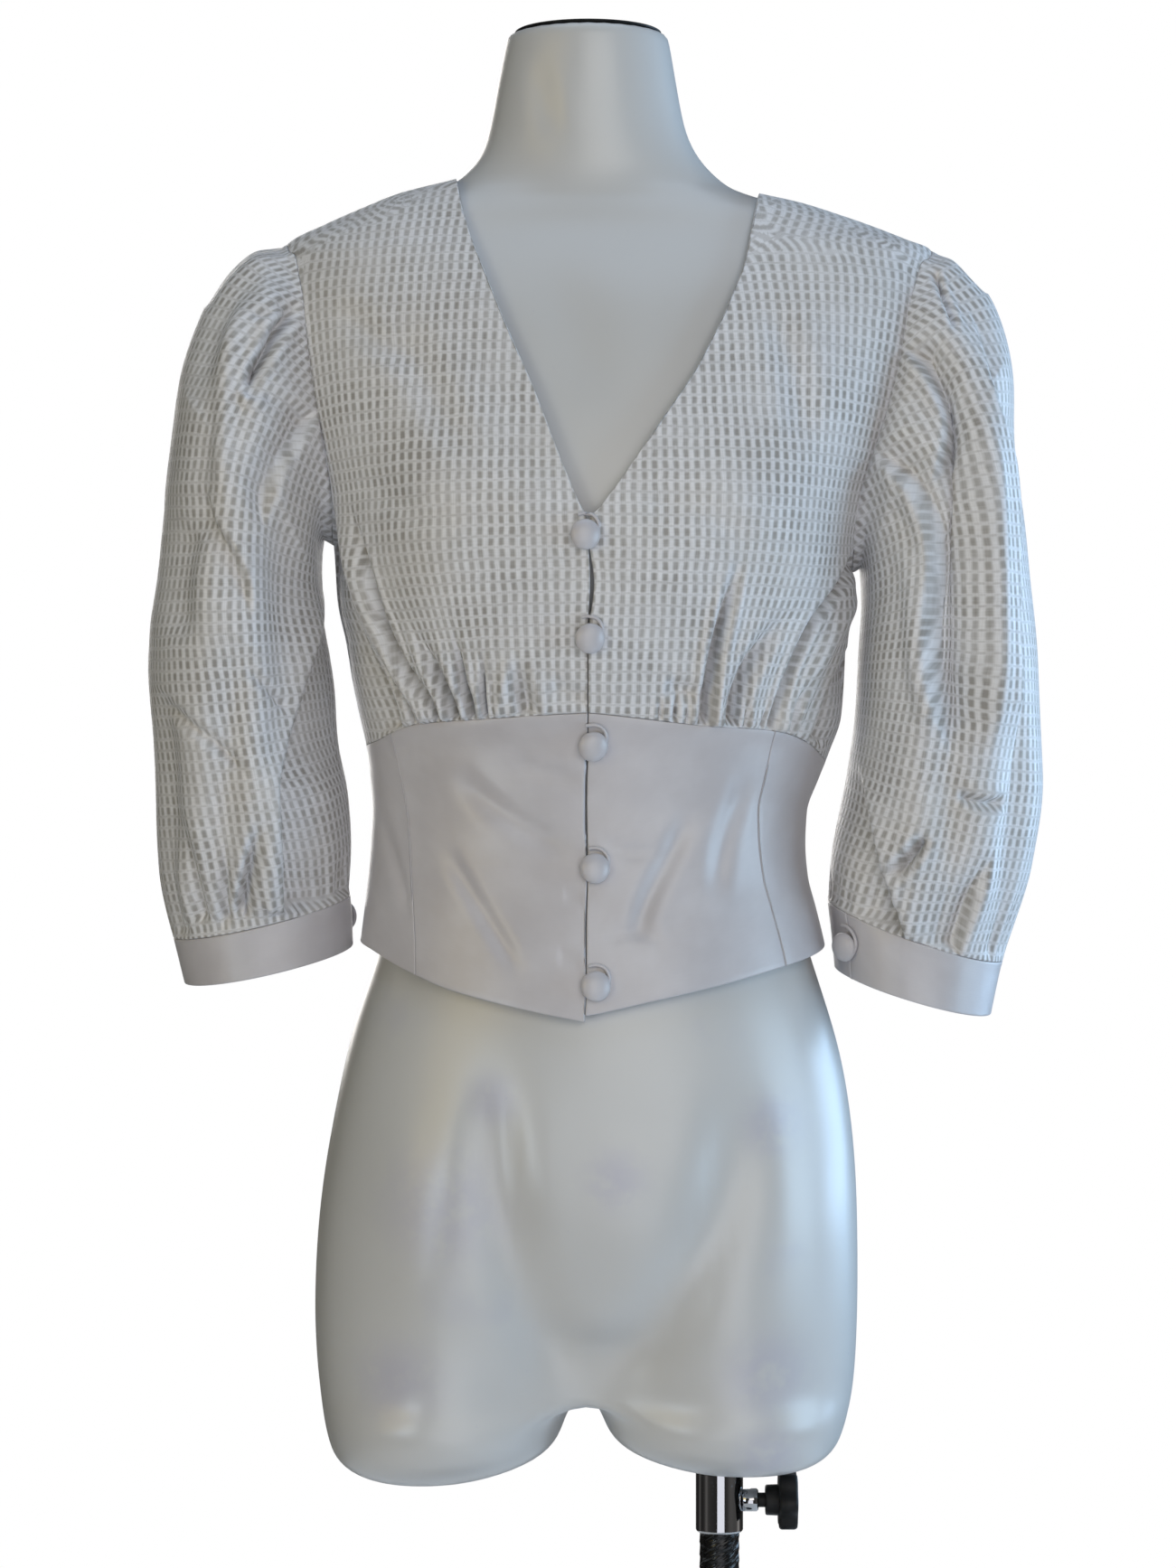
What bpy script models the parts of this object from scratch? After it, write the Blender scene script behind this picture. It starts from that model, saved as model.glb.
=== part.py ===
"""A checked blouse with a plain midriff band, on a limbless torso form and its stand.

Metres, +Z up. The wearer's front faces -Y, so +X is the viewer's right. Left and right in the
names are the viewer's. The cloth is made of thin walls cut at its real seams: one smooth surface
round the torso gives the fronts, the back and the midriff band, and rings carried down from each
armhole give the sleeves and cuffs.
"""

import math
from typing import NamedTuple

import bmesh
import bpy
import numpy as np
from mathutils import Matrix, Vector
from mathutils.bvhtree import BVHTree

# Driving sizes
CENTRE_X = -0.0047          # puts the middle of the widest reach, sleeve to sleeve, on the origin
CLOTH = 0.0012              # wall of every cloth piece
SEAM_GAP = 0.0003           # between two pieces that are sewn together
SEAT = 0.0003               # between pieces that rest on each other
RIDGE_DEPTH = 0.0001        # how near the shoulder seam's plane a point counts as on it

LEFT, RIGHT = -1, 1
FRONT, BACK = 1, -1
SIDE_NAMES = {LEFT: "left", RIGHT: "right"}

# How finely the cloth is divided
SIDE_ROWS = 5               # rows of cloth from the midriff seam to the underarm
ARMHOLE_ROWS = 16           # rows from the underarm to the shoulder
SLEEVE_RINGS = 14
CUFF_RINGS = 1
BAND_ROWS = 5
GATHER_START, GATHER_END, GATHER_COLUMNS = 0.31, 0.74, 15
FRONT_COLUMNS = np.concatenate([
    np.linspace(0.0, GATHER_START, 5)[:-1],
    np.linspace(GATHER_START, GATHER_END, GATHER_COLUMNS + 1),
    np.linspace(GATHER_END, 1.0, 4)[1:],
])
BACK_NECK_ROW = 16          # the row at which the centre back ends in the neckline
BACK_COLUMNS = np.linspace(0.0, 1.0, 13)
PRINCESS_COLUMN = {LEFT: 4, RIGHT: 8}
PRINCESS_LEAN = {LEFT: math.radians(14), RIGHT: math.radians(-7)}
BAND_FOOT_Z = 0.91          # where the band's lean towards the centre is read


class Girth(NamedTuple):
    """A level section: its reach to each side, forward and back, and how square its corners are."""
    z: float
    left: float
    right: float
    front: float
    back: float
    power: float


BLOUSE = (
    Girth(0.8850, 0.158, 0.160, 0.1110, 0.1085, 2.15),
    Girth(0.9100, 0.147, 0.151, 0.1080, 0.1030, 2.15),
    Girth(0.9390, 0.1405, 0.1455, 0.1040, 0.0970, 2.15),
    Girth(0.9617, 0.1375, 0.1400, 0.1000, 0.0925, 2.15),
    Girth(0.9800, 0.1355, 0.1355, 0.0975, 0.0895, 2.15),
    Girth(1.0000, 0.1335, 0.1340, 0.0955, 0.0870, 2.15),
    Girth(1.0200, 0.1325, 0.1350, 0.0950, 0.0865, 2.15),
    Girth(1.0400, 0.1340, 0.1420, 0.0965, 0.0875, 2.15),
    Girth(1.0577, 0.1360, 0.1490, 0.0990, 0.0895, 2.15),
    Girth(1.0780, 0.1405, 0.1560, 0.1045, 0.0925, 2.2),
    Girth(1.1010, 0.1453, 0.1580, 0.1110, 0.0960, 2.2),
    Girth(1.1246, 0.1492, 0.1590, 0.1160, 0.0990, 2.2),
    Girth(1.1500, 0.1545, 0.1600, 0.1195, 0.1015, 2.2),
    Girth(1.1800, 0.1565, 0.1640, 0.1205, 0.1035, 2.25),
    Girth(1.2100, 0.1600, 0.1715, 0.1185, 0.1045, 2.3),
    Girth(1.2400, 0.1680, 0.1830, 0.1140, 0.1040, 2.35),
    Girth(1.2700, 0.1760, 0.1950, 0.1070, 0.1025, 2.4),
    Girth(1.3000, 0.1830, 0.2050, 0.0985, 0.0985, 2.4),
    Girth(1.3250, 0.1880, 0.2110, 0.0895, 0.0925, 2.4),
    Girth(1.3450, 0.1900, 0.2140, 0.0800, 0.0865, 2.35),
    Girth(1.3600, 0.1895, 0.2145, 0.0720, 0.0800, 2.3),
    Girth(1.3670, 0.1875, 0.2110, 0.0680, 0.0775, 2.2),
    Girth(1.3708, 0.1850, 0.2010, 0.0660, 0.0760, 2.15),
    Girth(1.3815, 0.1640, 0.1730, 0.0610, 0.0715, 2.1),
    Girth(1.3870, 0.1515, 0.1570, 0.0585, 0.0695, 2.1),
    Girth(1.3930, 0.1365, 0.1380, 0.0565, 0.0675, 2.05),
    Girth(1.4005, 0.1180, 0.1050, 0.0545, 0.0655, 2.0),
    Girth(1.4045, 0.1050, 0.0960, 0.0540, 0.0650, 2.0),
    Girth(1.4110, 0.0815, 0.0830, 0.0530, 0.0640, 2.0),
    Girth(1.4180, 0.0760, 0.0760, 0.0520, 0.0630, 2.0),
)

FORM = (
    Girth(0.6640, 0.1655, 0.1635, 0.1000, 0.1060, 2.3),
    Girth(0.6800, 0.1672, 0.1650, 0.1012, 0.1085, 2.3),
    Girth(0.7000, 0.1684, 0.1660, 0.1025, 0.1115, 2.3),
    Girth(0.7220, 0.1688, 0.1666, 0.1040, 0.1150, 2.3),
    Girth(0.7620, 0.1672, 0.1666, 0.1055, 0.1180, 2.25),
    Girth(0.8010, 0.1627, 0.1655, 0.1060, 0.1170, 2.2),
    Girth(0.8370, 0.1560, 0.1620, 0.1050, 0.1130, 2.2),
    Girth(0.8720, 0.1490, 0.1560, 0.1025, 0.1060, 2.15),
    Girth(0.9030, 0.1400, 0.1465, 0.0990, 0.0985, 2.15),
    Girth(0.9270, 0.1308, 0.1386, 0.0950, 0.0920, 2.1),
    Girth(0.9550, 0.1240, 0.1300, 0.0910, 0.0860, 2.1),
    Girth(0.9850, 0.1195, 0.1220, 0.0880, 0.0815, 2.1),
    Girth(1.0200, 0.1175, 0.1180, 0.0865, 0.0790, 2.1),
    Girth(1.0600, 0.1205, 0.1205, 0.0890, 0.0810, 2.1),
    Girth(1.1000, 0.1290, 0.1290, 0.0960, 0.0860, 2.15),
    Girth(1.1500, 0.1400, 0.1400, 0.1050, 0.0920, 2.2),
    Girth(1.1900, 0.1440, 0.1440, 0.1100, 0.0955, 2.2),
    Girth(1.2200, 0.1470, 0.1470, 0.1085, 0.0970, 2.25),
    Girth(1.2600, 0.1530, 0.1530, 0.1010, 0.0965, 2.3),
    Girth(1.3000, 0.1640, 0.1640, 0.0915, 0.0920, 2.3),
    Girth(1.3300, 0.1710, 0.1710, 0.0815, 0.0850, 2.3),
    Girth(1.3550, 0.1745, 0.1745, 0.0690, 0.0760, 2.25),
    Girth(1.3680, 0.1720, 0.1720, 0.0615, 0.0705, 2.15),
    Girth(1.3765, 0.1655, 0.1655, 0.0575, 0.0680, 2.1),
    Girth(1.3835, 0.1540, 0.1540, 0.0550, 0.0660, 2.05),
    Girth(1.3890, 0.1400, 0.1400, 0.0530, 0.0640, 2.0),
    Girth(1.3940, 0.1215, 0.1215, 0.0510, 0.0625, 2.0),
    Girth(1.3990, 0.1040, 0.1050, 0.0500, 0.0615, 2.0),
    Girth(1.4040, 0.0896, 0.0890, 0.0490, 0.0605, 2.0),
    Girth(1.4130, 0.0764, 0.0781, 0.0480, 0.0600, 2.0),
    Girth(1.4231, 0.0669, 0.0686, 0.0480, 0.0595, 2.0),
    Girth(1.4388, 0.0613, 0.0602, 0.0475, 0.0580, 2.0),
    Girth(1.4629, 0.0574, 0.0557, 0.0470, 0.0540, 2.0),
    Girth(1.4990, 0.0503, 0.0498, 0.0460, 0.0500, 2.0),
    Girth(1.5010, 0.0490, 0.0485, 0.0447, 0.0487, 2.0),
)


class EdgePoint(NamedTuple):
    """A point of an edge, as the viewer sees it from the front."""
    x: float
    z: float


NECKLINE = {
    LEFT: (EdgePoint(-0.0056, 1.2022), EdgePoint(-0.0164, 1.2290), EdgePoint(-0.0325, 1.2720),
           EdgePoint(-0.0486, 1.3096), EdgePoint(-0.0595, 1.3374), EdgePoint(-0.0709, 1.3672),
           EdgePoint(-0.0769, 1.3886), EdgePoint(-0.0795, 1.4020)),
    RIGHT: (EdgePoint(0.0051, 1.1968), EdgePoint(0.0212, 1.2183), EdgePoint(0.0427, 1.2505),
            EdgePoint(0.0642, 1.2827), EdgePoint(0.0803, 1.3149), EdgePoint(0.0940, 1.3490),
            EdgePoint(0.1006, 1.3737), EdgePoint(0.1025, 1.3900)),
}
NECK_POINT_Z = {LEFT: 1.4110, RIGHT: 1.4005}
SHOULDER_END_Z = {LEFT: 1.3708, RIGHT: 1.3670}
UNDERARM_Z = {LEFT: 1.1850, RIGHT: 1.1680}
BACK_NECK_Z = 1.3860


class BackNeckPoint(NamedTuple):
    """An angle from the shoulder towards the centre back, and the share of the way down there."""
    angle: float
    share: float


BACK_NECKLINE = (BackNeckPoint(90, 1.0), BackNeckPoint(66, 0.96), BackNeckPoint(42, 0.70),
                 BackNeckPoint(20, 0.30), BackNeckPoint(0, 0.0))
V_POINT_Z = 1.1950
CHEST = np.array([0.0, 0.0, 1.2])   # a point inside the torso, which every panel faces away from


class ArmholePoint(NamedTuple):
    """Share of the armhole's height, and how far its front or back edge is from the side seam."""
    height: float
    depth: float


ARMHOLE = (ArmholePoint(0.015, 0.011), ArmholePoint(0.07, 0.025), ArmholePoint(0.17, 0.038),
           ArmholePoint(0.30, 0.045), ArmholePoint(0.46, 0.047), ArmholePoint(0.62, 0.047),
           ArmholePoint(0.78, 0.044), ArmholePoint(0.89, 0.035), ArmholePoint(0.96, 0.021))
BACK_ARMHOLE_WIDER = 1.08


class SeamPoint(NamedTuple):
    """An angle from the side seam towards the centre, and the seam's height there."""
    angle: float
    z: float


MIDRIFF_SEAM = {
    (LEFT, FRONT): (SeamPoint(0, 1.0600), SeamPoint(20, 1.0630), SeamPoint(45, 1.0730),
                    SeamPoint(65, 1.0755), SeamPoint(90, 1.0790)),
    (RIGHT, FRONT): (SeamPoint(0, 1.0495), SeamPoint(15, 1.0540), SeamPoint(30, 1.0625),
                     SeamPoint(45, 1.0690), SeamPoint(65, 1.0715), SeamPoint(90, 1.0790)),
    (LEFT, BACK): (SeamPoint(0, 1.0600), SeamPoint(45, 1.0590), SeamPoint(90, 1.0580)),
    (RIGHT, BACK): (SeamPoint(0, 1.0495), SeamPoint(45, 1.0560), SeamPoint(90, 1.0580)),
}
HEM = {
    (LEFT, FRONT): (SeamPoint(0, 0.9410), SeamPoint(20, 0.9370), SeamPoint(40, 0.9265),
                    SeamPoint(57, 0.9150), SeamPoint(72, 0.9065), SeamPoint(90, 0.8965)),
    (RIGHT, FRONT): (SeamPoint(0, 0.9385), SeamPoint(20, 0.9335), SeamPoint(42, 0.9260),
                     SeamPoint(62, 0.9165), SeamPoint(78, 0.9080), SeamPoint(90, 0.9005)),
    (LEFT, BACK): (SeamPoint(0, 0.9410), SeamPoint(45, 0.9370), SeamPoint(90, 0.9350)),
    (RIGHT, BACK): (SeamPoint(0, 0.9385), SeamPoint(45, 0.9360), SeamPoint(90, 0.9350)),
}


class FrontEdge(NamedTuple):
    """Where the two fronts end at the centre; they part a little between the buttons."""
    z: float
    left: float
    right: float


FRONT_EDGES = (
    FrontEdge(0.8900, -0.0030, -0.0026),
    FrontEdge(0.9175, -0.0012, -0.0008),
    FrontEdge(0.9500, -0.0016, -0.0008),
    FrontEdge(0.9866, -0.0004, 0.0000),
    FrontEdge(1.0280, -0.0046, -0.0006),
    FrontEdge(1.0635, -0.0002, 0.0002),
    FrontEdge(1.1232, -0.0002, 0.0002),
    FrontEdge(1.1550, 0.0012, 0.0036),
    FrontEdge(1.1829, -0.0002, 0.0002),
    FrontEdge(1.1950, -0.0012, 0.0012),
)


class Gather(NamedTuple):
    """A gather at the midriff seam: its place along the seam, its reach up and its depth."""
    place: float
    reach: float
    depth: float


def gather_place(column):
    """The place along the seam of a column in the gathered stretch."""
    return GATHER_START + (GATHER_END - GATHER_START) * column / GATHER_COLUMNS


GATHERS = {
    (LEFT, FRONT): (Gather(gather_place(1), 0.110, 0.0060), Gather(gather_place(3), 0.070, 0.0046),
                    Gather(gather_place(5), 0.125, 0.0060), Gather(gather_place(7), 0.060, 0.0050),
                    Gather(gather_place(9), 0.085, 0.0046), Gather(gather_place(11), 0.055, 0.0050),
                    Gather(gather_place(13), 0.045, 0.0040)),
    (RIGHT, FRONT): (Gather(gather_place(0), 0.120, 0.0052), Gather(gather_place(2), 0.100, 0.0056),
                     Gather(gather_place(4), 0.060, 0.0046), Gather(gather_place(6), 0.115, 0.0060),
                     Gather(gather_place(8), 0.060, 0.0046), Gather(gather_place(10), 0.095, 0.0060),
                     Gather(gather_place(12), 0.050, 0.0040)),
    (LEFT, BACK): (Gather(0.42, 0.090, 0.0060), Gather(0.58, 0.120, 0.0060),
                   Gather(0.75, 0.080, 0.0060), Gather(0.92, 0.110, 0.0050)),
    (RIGHT, BACK): (Gather(0.42, 0.110, 0.0060), Gather(0.58, 0.080, 0.0060),
                    Gather(0.75, 0.120, 0.0060), Gather(0.92, 0.070, 0.0050)),
}
GATHER_START_HEIGHT = 0.016   # above the seam, where a gather reaches its depth
GATHER_WIDTH = {FRONT: (GATHER_END - GATHER_START) / GATHER_COLUMNS, BACK: 1 / 12}


class Ring(NamedTuple):
    """A ring of a sleeve: its outer and inner points, its reach forward and back, its front drop."""
    share: float
    outer_x: float
    outer_z: float
    inner_x: float
    inner_z: float
    front: float
    back: float
    drop: float


SLEEVE = {
    LEFT: (
        Ring(0.00, -0.1850, 1.3708, -0.1560, 1.1850, 0.047, 0.051, 0.000),
        Ring(0.06, -0.2030, 1.3700, -0.1625, 1.1885, 0.061, 0.064, 0.000),
        Ring(0.14, -0.2220, 1.3560, -0.1655, 1.1790, 0.073, 0.075, 0.000),
        Ring(0.24, -0.2385, 1.3240, -0.1650, 1.1620, 0.082, 0.083, 0.000),
        Ring(0.36, -0.2530, 1.2780, -0.1625, 1.1420, 0.087, 0.087, 0.000),
        Ring(0.48, -0.2600, 1.2200, -0.1590, 1.1180, 0.087, 0.088, 0.000),
        Ring(0.60, -0.2662, 1.1600, -0.1555, 1.0930, 0.085, 0.087, 0.001),
        Ring(0.72, -0.2702, 1.1000, -0.1528, 1.0640, 0.082, 0.085, 0.002),
        Ring(0.84, -0.2665, 1.0350, -0.1483, 1.0300, 0.078, 0.080, 0.003),
        Ring(0.93, -0.2640, 0.9850, -0.1470, 0.9960, 0.067, 0.077, 0.005),
        Ring(1.00, -0.2560, 0.9430, -0.1480, 0.9680, 0.049, 0.062, 0.006),
    ),
    RIGHT: (
        Ring(0.00, 0.2110, 1.3670, 0.1620, 1.1680, 0.047, 0.051, 0.000),
        Ring(0.06, 0.2230, 1.3655, 0.1685, 1.1715, 0.060, 0.063, 0.000),
        Ring(0.14, 0.2375, 1.3530, 0.1710, 1.1615, 0.072, 0.074, 0.000),
        Ring(0.24, 0.2515, 1.3300, 0.1715, 1.1450, 0.081, 0.082, 0.000),
        Ring(0.36, 0.2625, 1.2900, 0.1705, 1.1260, 0.086, 0.086, 0.000),
        Ring(0.48, 0.2680, 1.2350, 0.1685, 1.1030, 0.087, 0.088, 0.001),
        Ring(0.60, 0.2750, 1.1780, 0.1655, 1.0790, 0.086, 0.087, 0.002),
        Ring(0.72, 0.2790, 1.1120, 0.1618, 1.0550, 0.083, 0.085, 0.004),
        Ring(0.84, 0.2797, 1.0440, 0.1572, 1.0250, 0.078, 0.080, 0.005),
        Ring(0.93, 0.2735, 0.9880, 0.1525, 0.9950, 0.070, 0.072, 0.006),
        Ring(1.00, 0.2560, 0.9290, 0.1490, 0.9650, 0.053, 0.055, 0.007),
    ),
}
CUFF_EDGE = {
    LEFT: Ring(1.00, -0.2490, 0.9150, -0.1465, 0.9370, 0.048, 0.061, 0.006),
    RIGHT: Ring(1.00, 0.2490, 0.8960, 0.1530, 0.9235, 0.052, 0.054, 0.006),
}
ARMHOLE_FADE = 0.34         # the share of the sleeve over which the armhole's own shape fades out


class SleeveFold(NamedTuple):
    """A trough that runs down a sleeve: its turns round the sleeve and its ends down its length."""
    turn_start: float
    turn_end: float
    start: float
    end: float
    width: float
    depth: float


SLEEVE_FOLDS = {
    LEFT: (
        SleeveFold(30, 45, 0.00, 0.34, 13, 0.007), SleeveFold(-25, -35, 0.00, 0.30, 13, 0.007),
        SleeveFold(5, 10, 0.00, 0.22, 11, 0.005), SleeveFold(75, 60, 0.10, 0.50, 14, 0.006),
        SleeveFold(130, 125, 0.25, 0.98, 20, 0.012), SleeveFold(95, 70, 0.60, 1.00, 13, 0.008),
        SleeveFold(40, 30, 0.72, 1.00, 12, 0.007), SleeveFold(-40, -30, 0.62, 1.00, 13, 0.008),
        SleeveFold(-95, -80, 0.55, 1.00, 14, 0.008), SleeveFold(-140, -130, 0.25, 0.95, 20, 0.010),
    ),
    RIGHT: (
        SleeveFold(28, 42, 0.00, 0.32, 13, 0.007), SleeveFold(-28, -40, 0.00, 0.32, 13, 0.007),
        SleeveFold(0, 5, 0.00, 0.20, 11, 0.005), SleeveFold(80, 70, 0.05, 0.75, 17, 0.011),
        SleeveFold(125, 110, 0.15, 0.70, 16, 0.010), SleeveFold(100, 85, 0.70, 1.00, 13, 0.008),
        SleeveFold(50, 45, 0.74, 1.00, 12, 0.007), SleeveFold(-35, -40, 0.65, 1.00, 13, 0.008),
        SleeveFold(-85, -80, 0.50, 1.00, 14, 0.008), SleeveFold(-135, -125, 0.20, 0.95, 20, 0.010),
    ),
}


class Bust(NamedTuple):
    """A soft fullness of the chest, equal on both sides."""
    fullness: float
    angle: float
    angle_spread: float
    z: float
    z_spread: float


FORM_BUST = Bust(0.0070, 56, 20, 1.200, 0.050)
BLOUSE_BUST = Bust(0.0090, 56, 22, 1.198, 0.056)

# The form's lower end
FORM_SIDES = 28
CROTCH_X = -0.0025
CROTCH_FOLD = 0.046         # how deep the fold between the thighs is at the foot of the torso
CROTCH_FOLD_SPREAD = 17     # degrees
CROTCH_FOLD_TOP = 0.800
BRIDGE_POINTS = 5           # points along the crotch, from back to front


class Stub(NamedTuple):
    """A level ring of a thigh stub."""
    z: float
    outer: float
    inner: float
    front: float
    back: float


STUBS = {
    RIGHT: (Stub(0.6510, 0.1612, 0.0072, 0.0890, 0.0950), Stub(0.6380, 0.1578, 0.0112, 0.0855, 0.0915),
            Stub(0.6280, 0.1530, 0.0220, 0.0790, 0.0845), Stub(0.6200, 0.1430, 0.0440, 0.0650, 0.0700),
            Stub(0.6145, 0.1260, 0.0680, 0.0400, 0.0430)),
    LEFT: (Stub(0.6490, -0.1640, -0.0130, 0.0890, 0.0950), Stub(0.6350, -0.1612, -0.0165, 0.0855, 0.0915),
           Stub(0.6240, -0.1575, -0.0270, 0.0790, 0.0845), Stub(0.6150, -0.1480, -0.0490, 0.0650, 0.0700),
           Stub(0.6088, -0.1300, -0.0740, 0.0400, 0.0430)),
}
STUB_FLOOR = {RIGHT: 0.6128, LEFT: 0.6072}
STUB_POWER = 2.25
STUB_SPREAD = math.radians(125)   # how far round each stub the torso's own edge is carried

# Stand
POLE_X = 0.0814
POLE_R = 0.0125
POLE_TOP = 0.760
COLLAR_R = 0.01465
COLLAR_BOTTOM, COLLAR_TOP = 0.5745, 0.790
SOCKET_TOP = 0.800
RUNNING_GAP = 0.0003
BOSS_R, BOSS_END = 0.007, 0.0240
CLAMP_Z = 0.5935
SCREW_R = 0.0045
KNOB_HUB_R, KNOB_HUB_START, KNOB_HEAD_START, KNOB_END = 0.0093, 0.0285, 0.0366, 0.0482
KNOB_R, KNOB_LOBES, KNOB_LOBE_DEPTH = 0.0175, 6, 0.0013
BASE_R, BASE_THICK = 0.200, 0.009
HUB_R, HUB_TOP = 0.0200, 0.052
NECK_CAP_R, NECK_CAP_DEPTH, NECK_CAP_THICK = 0.0455, 0.0420, 0.0015
NECK_MIDDLE_Y = 0.002

# Buttons and loops
BUTTON_R, BUTTON_HEAD = 0.0090, 0.0052
SHANK_R, SHANK_LENGTH = 0.0025, 0.0029
LOOP_R = 0.0011


class ButtonPlace(NamedTuple):
    x: float
    z: float


FRONT_BUTTONS = (ButtonPlace(-0.0024, 1.1829), ButtonPlace(-0.0003, 1.1232), ButtonPlace(0.0022, 1.0600),
                 ButtonPlace(0.0032, 0.9866), ButtonPlace(0.0038, 0.9175))


class LoopPoint(NamedTuple):
    """A point of a loop's path, from the button's middle: to the right and up."""
    across: float
    up: float


LOOP_PATH = (LoopPoint(-0.0035, 0.0118), LoopPoint(0.0010, 0.0124), LoopPoint(0.0058, 0.0108),
             LoopPoint(0.0084, 0.0066), LoopPoint(0.0080, 0.0016), LoopPoint(0.0052, -0.0030),
             LoopPoint(0.0010, -0.0052), LoopPoint(-0.0035, -0.0056))
CUFF_OPENING = {LEFT: 19, RIGHT: 13}      # the ring point at which a cuff's ends meet


class Smooth:
    """A smooth curve through the rows of a table, read at any value of its first column."""

    def __init__(self, rows):
        table = np.array(rows, dtype=float)
        self.at = table[:, 0]
        self.values = table[:, 1:]
        rates = np.diff(self.values, axis=0) / np.diff(self.at)[:, None]
        ahead, behind = rates[1:], rates[:-1]
        same_way = ahead * behind > 0
        total = np.where(same_way, ahead + behind, 1.0)
        inner = np.where(same_way, 2 * ahead * behind / total, 0.0)
        self.slopes = np.vstack([rates[:1], inner, rates[-1:]])

    def __call__(self, value):
        value = np.clip(np.asarray(value, dtype=float), self.at[0], self.at[-1])
        i = np.clip(np.searchsorted(self.at, value) - 1, 0, len(self.at) - 2)
        step = (self.at[i + 1] - self.at[i])[..., None]
        t = (value - self.at[i])[..., None] / step
        low, high = self.values[i], self.values[i + 1]
        rise = self.slopes[i] * step
        run = self.slopes[i + 1] * step
        curve = (low * (2 * t**3 - 3 * t**2 + 1) + rise * (t**3 - 2 * t**2 + t)
                 + high * (3 * t**2 - 2 * t**3) + run * (t**3 - t**2))
        return np.moveaxis(curve, -1, 0)


def fade(t):
    """Falls smoothly from 1 at t = 0 to 0 at t = 1."""
    t = np.clip(t, 0.0, 1.0)
    return 1 - t * t * (3 - 2 * t)


def signed_power(value, power):
    return np.sign(value) * np.abs(value) ** power


class Body:
    """A rounded surface given by level sections. Angle 0 is the viewer's right, 90 the front."""

    def __init__(self, rows, bust):
        self.girth = Smooth(rows)
        self.bust = bust

    def point(self, angle, z):
        """The surface's points at angles in radians and heights."""
        left, right, front, back, power = self.girth(z)
        c, s = np.cos(angle), np.sin(angle)
        x = signed_power(c, 2 / power) * np.where(c >= 0, right, left)
        y = -signed_power(s, 2 / power) * np.where(s >= 0, front, back)
        bust = self.bust
        from_side = np.degrees(np.arcsin(np.clip(s, -1, 1)))
        full = np.exp(-((from_side - bust.angle) / bust.angle_spread) ** 2
                      - ((z - bust.z) / bust.z_spread) ** 2)
        y = y - bust.fullness * full
        return np.stack([x, y, z + 0 * x], axis=-1)

    def angle_at_x(self, x, z, side):
        """The angle from the side seam at which the front stands x from the centre."""
        left, right, _, _, power = self.girth(z)
        across = side * np.asarray(x)
        reach = np.where((across >= 0) == (side == RIGHT), right, left)
        return np.arccos(np.clip(signed_power(across / reach, power / 2), -1, 1))

    def angle_at_depth(self, depth, z, face):
        """The angle from the side seam at which the surface stands depth in front or behind."""
        _, _, front, back, power = self.girth(z)
        reach = front if face == FRONT else back
        return np.arcsin(np.clip((np.asarray(depth) / reach) ** (power / 2), 0, 1))


TORSO = Body(BLOUSE, BLOUSE_BUST)
FORM_BODY = Body(FORM, FORM_BUST)


def true_angle(side, face, angle):
    """Turns an angle from the side seam into the surface's own angle."""
    around = angle if side == RIGHT else math.pi - angle
    return around * face


def spline(points, count=160):
    """A smooth curve through points, with even knots."""
    points = np.asarray(points, dtype=float)
    knots = np.concatenate([[0], np.cumsum(np.linalg.norm(np.diff(points, axis=0), axis=1))])
    if len(points) == 2:
        curve = np.linspace(0, 1, count)[:, None]
        return points[0] * (1 - curve) + points[1] * curve
    tangents = np.gradient(points, knots, axis=0)
    at = np.linspace(0, knots[-1], count)
    i = np.clip(np.searchsorted(knots, at) - 1, 0, len(points) - 2)
    step = (knots[i + 1] - knots[i])[:, None]
    t = (at - knots[i])[:, None] / step
    return (points[i] * (2 * t**3 - 3 * t**2 + 1) + tangents[i] * step * (t**3 - 2 * t**2 + t)
            + points[i + 1] * (3 * t**2 - 2 * t**3) + tangents[i + 1] * step * (t**3 - t**2))


def even(curve, measured, shares):
    """The curve's points at shares of the length of the measured line, which runs beside it."""
    run = np.concatenate([[0], np.cumsum(np.linalg.norm(np.diff(measured, axis=0), axis=1))])
    at = np.asarray(shares) * run[-1]
    return np.stack([np.interp(at, run, curve[:, k]) for k in range(curve.shape[1])], axis=-1)


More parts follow.
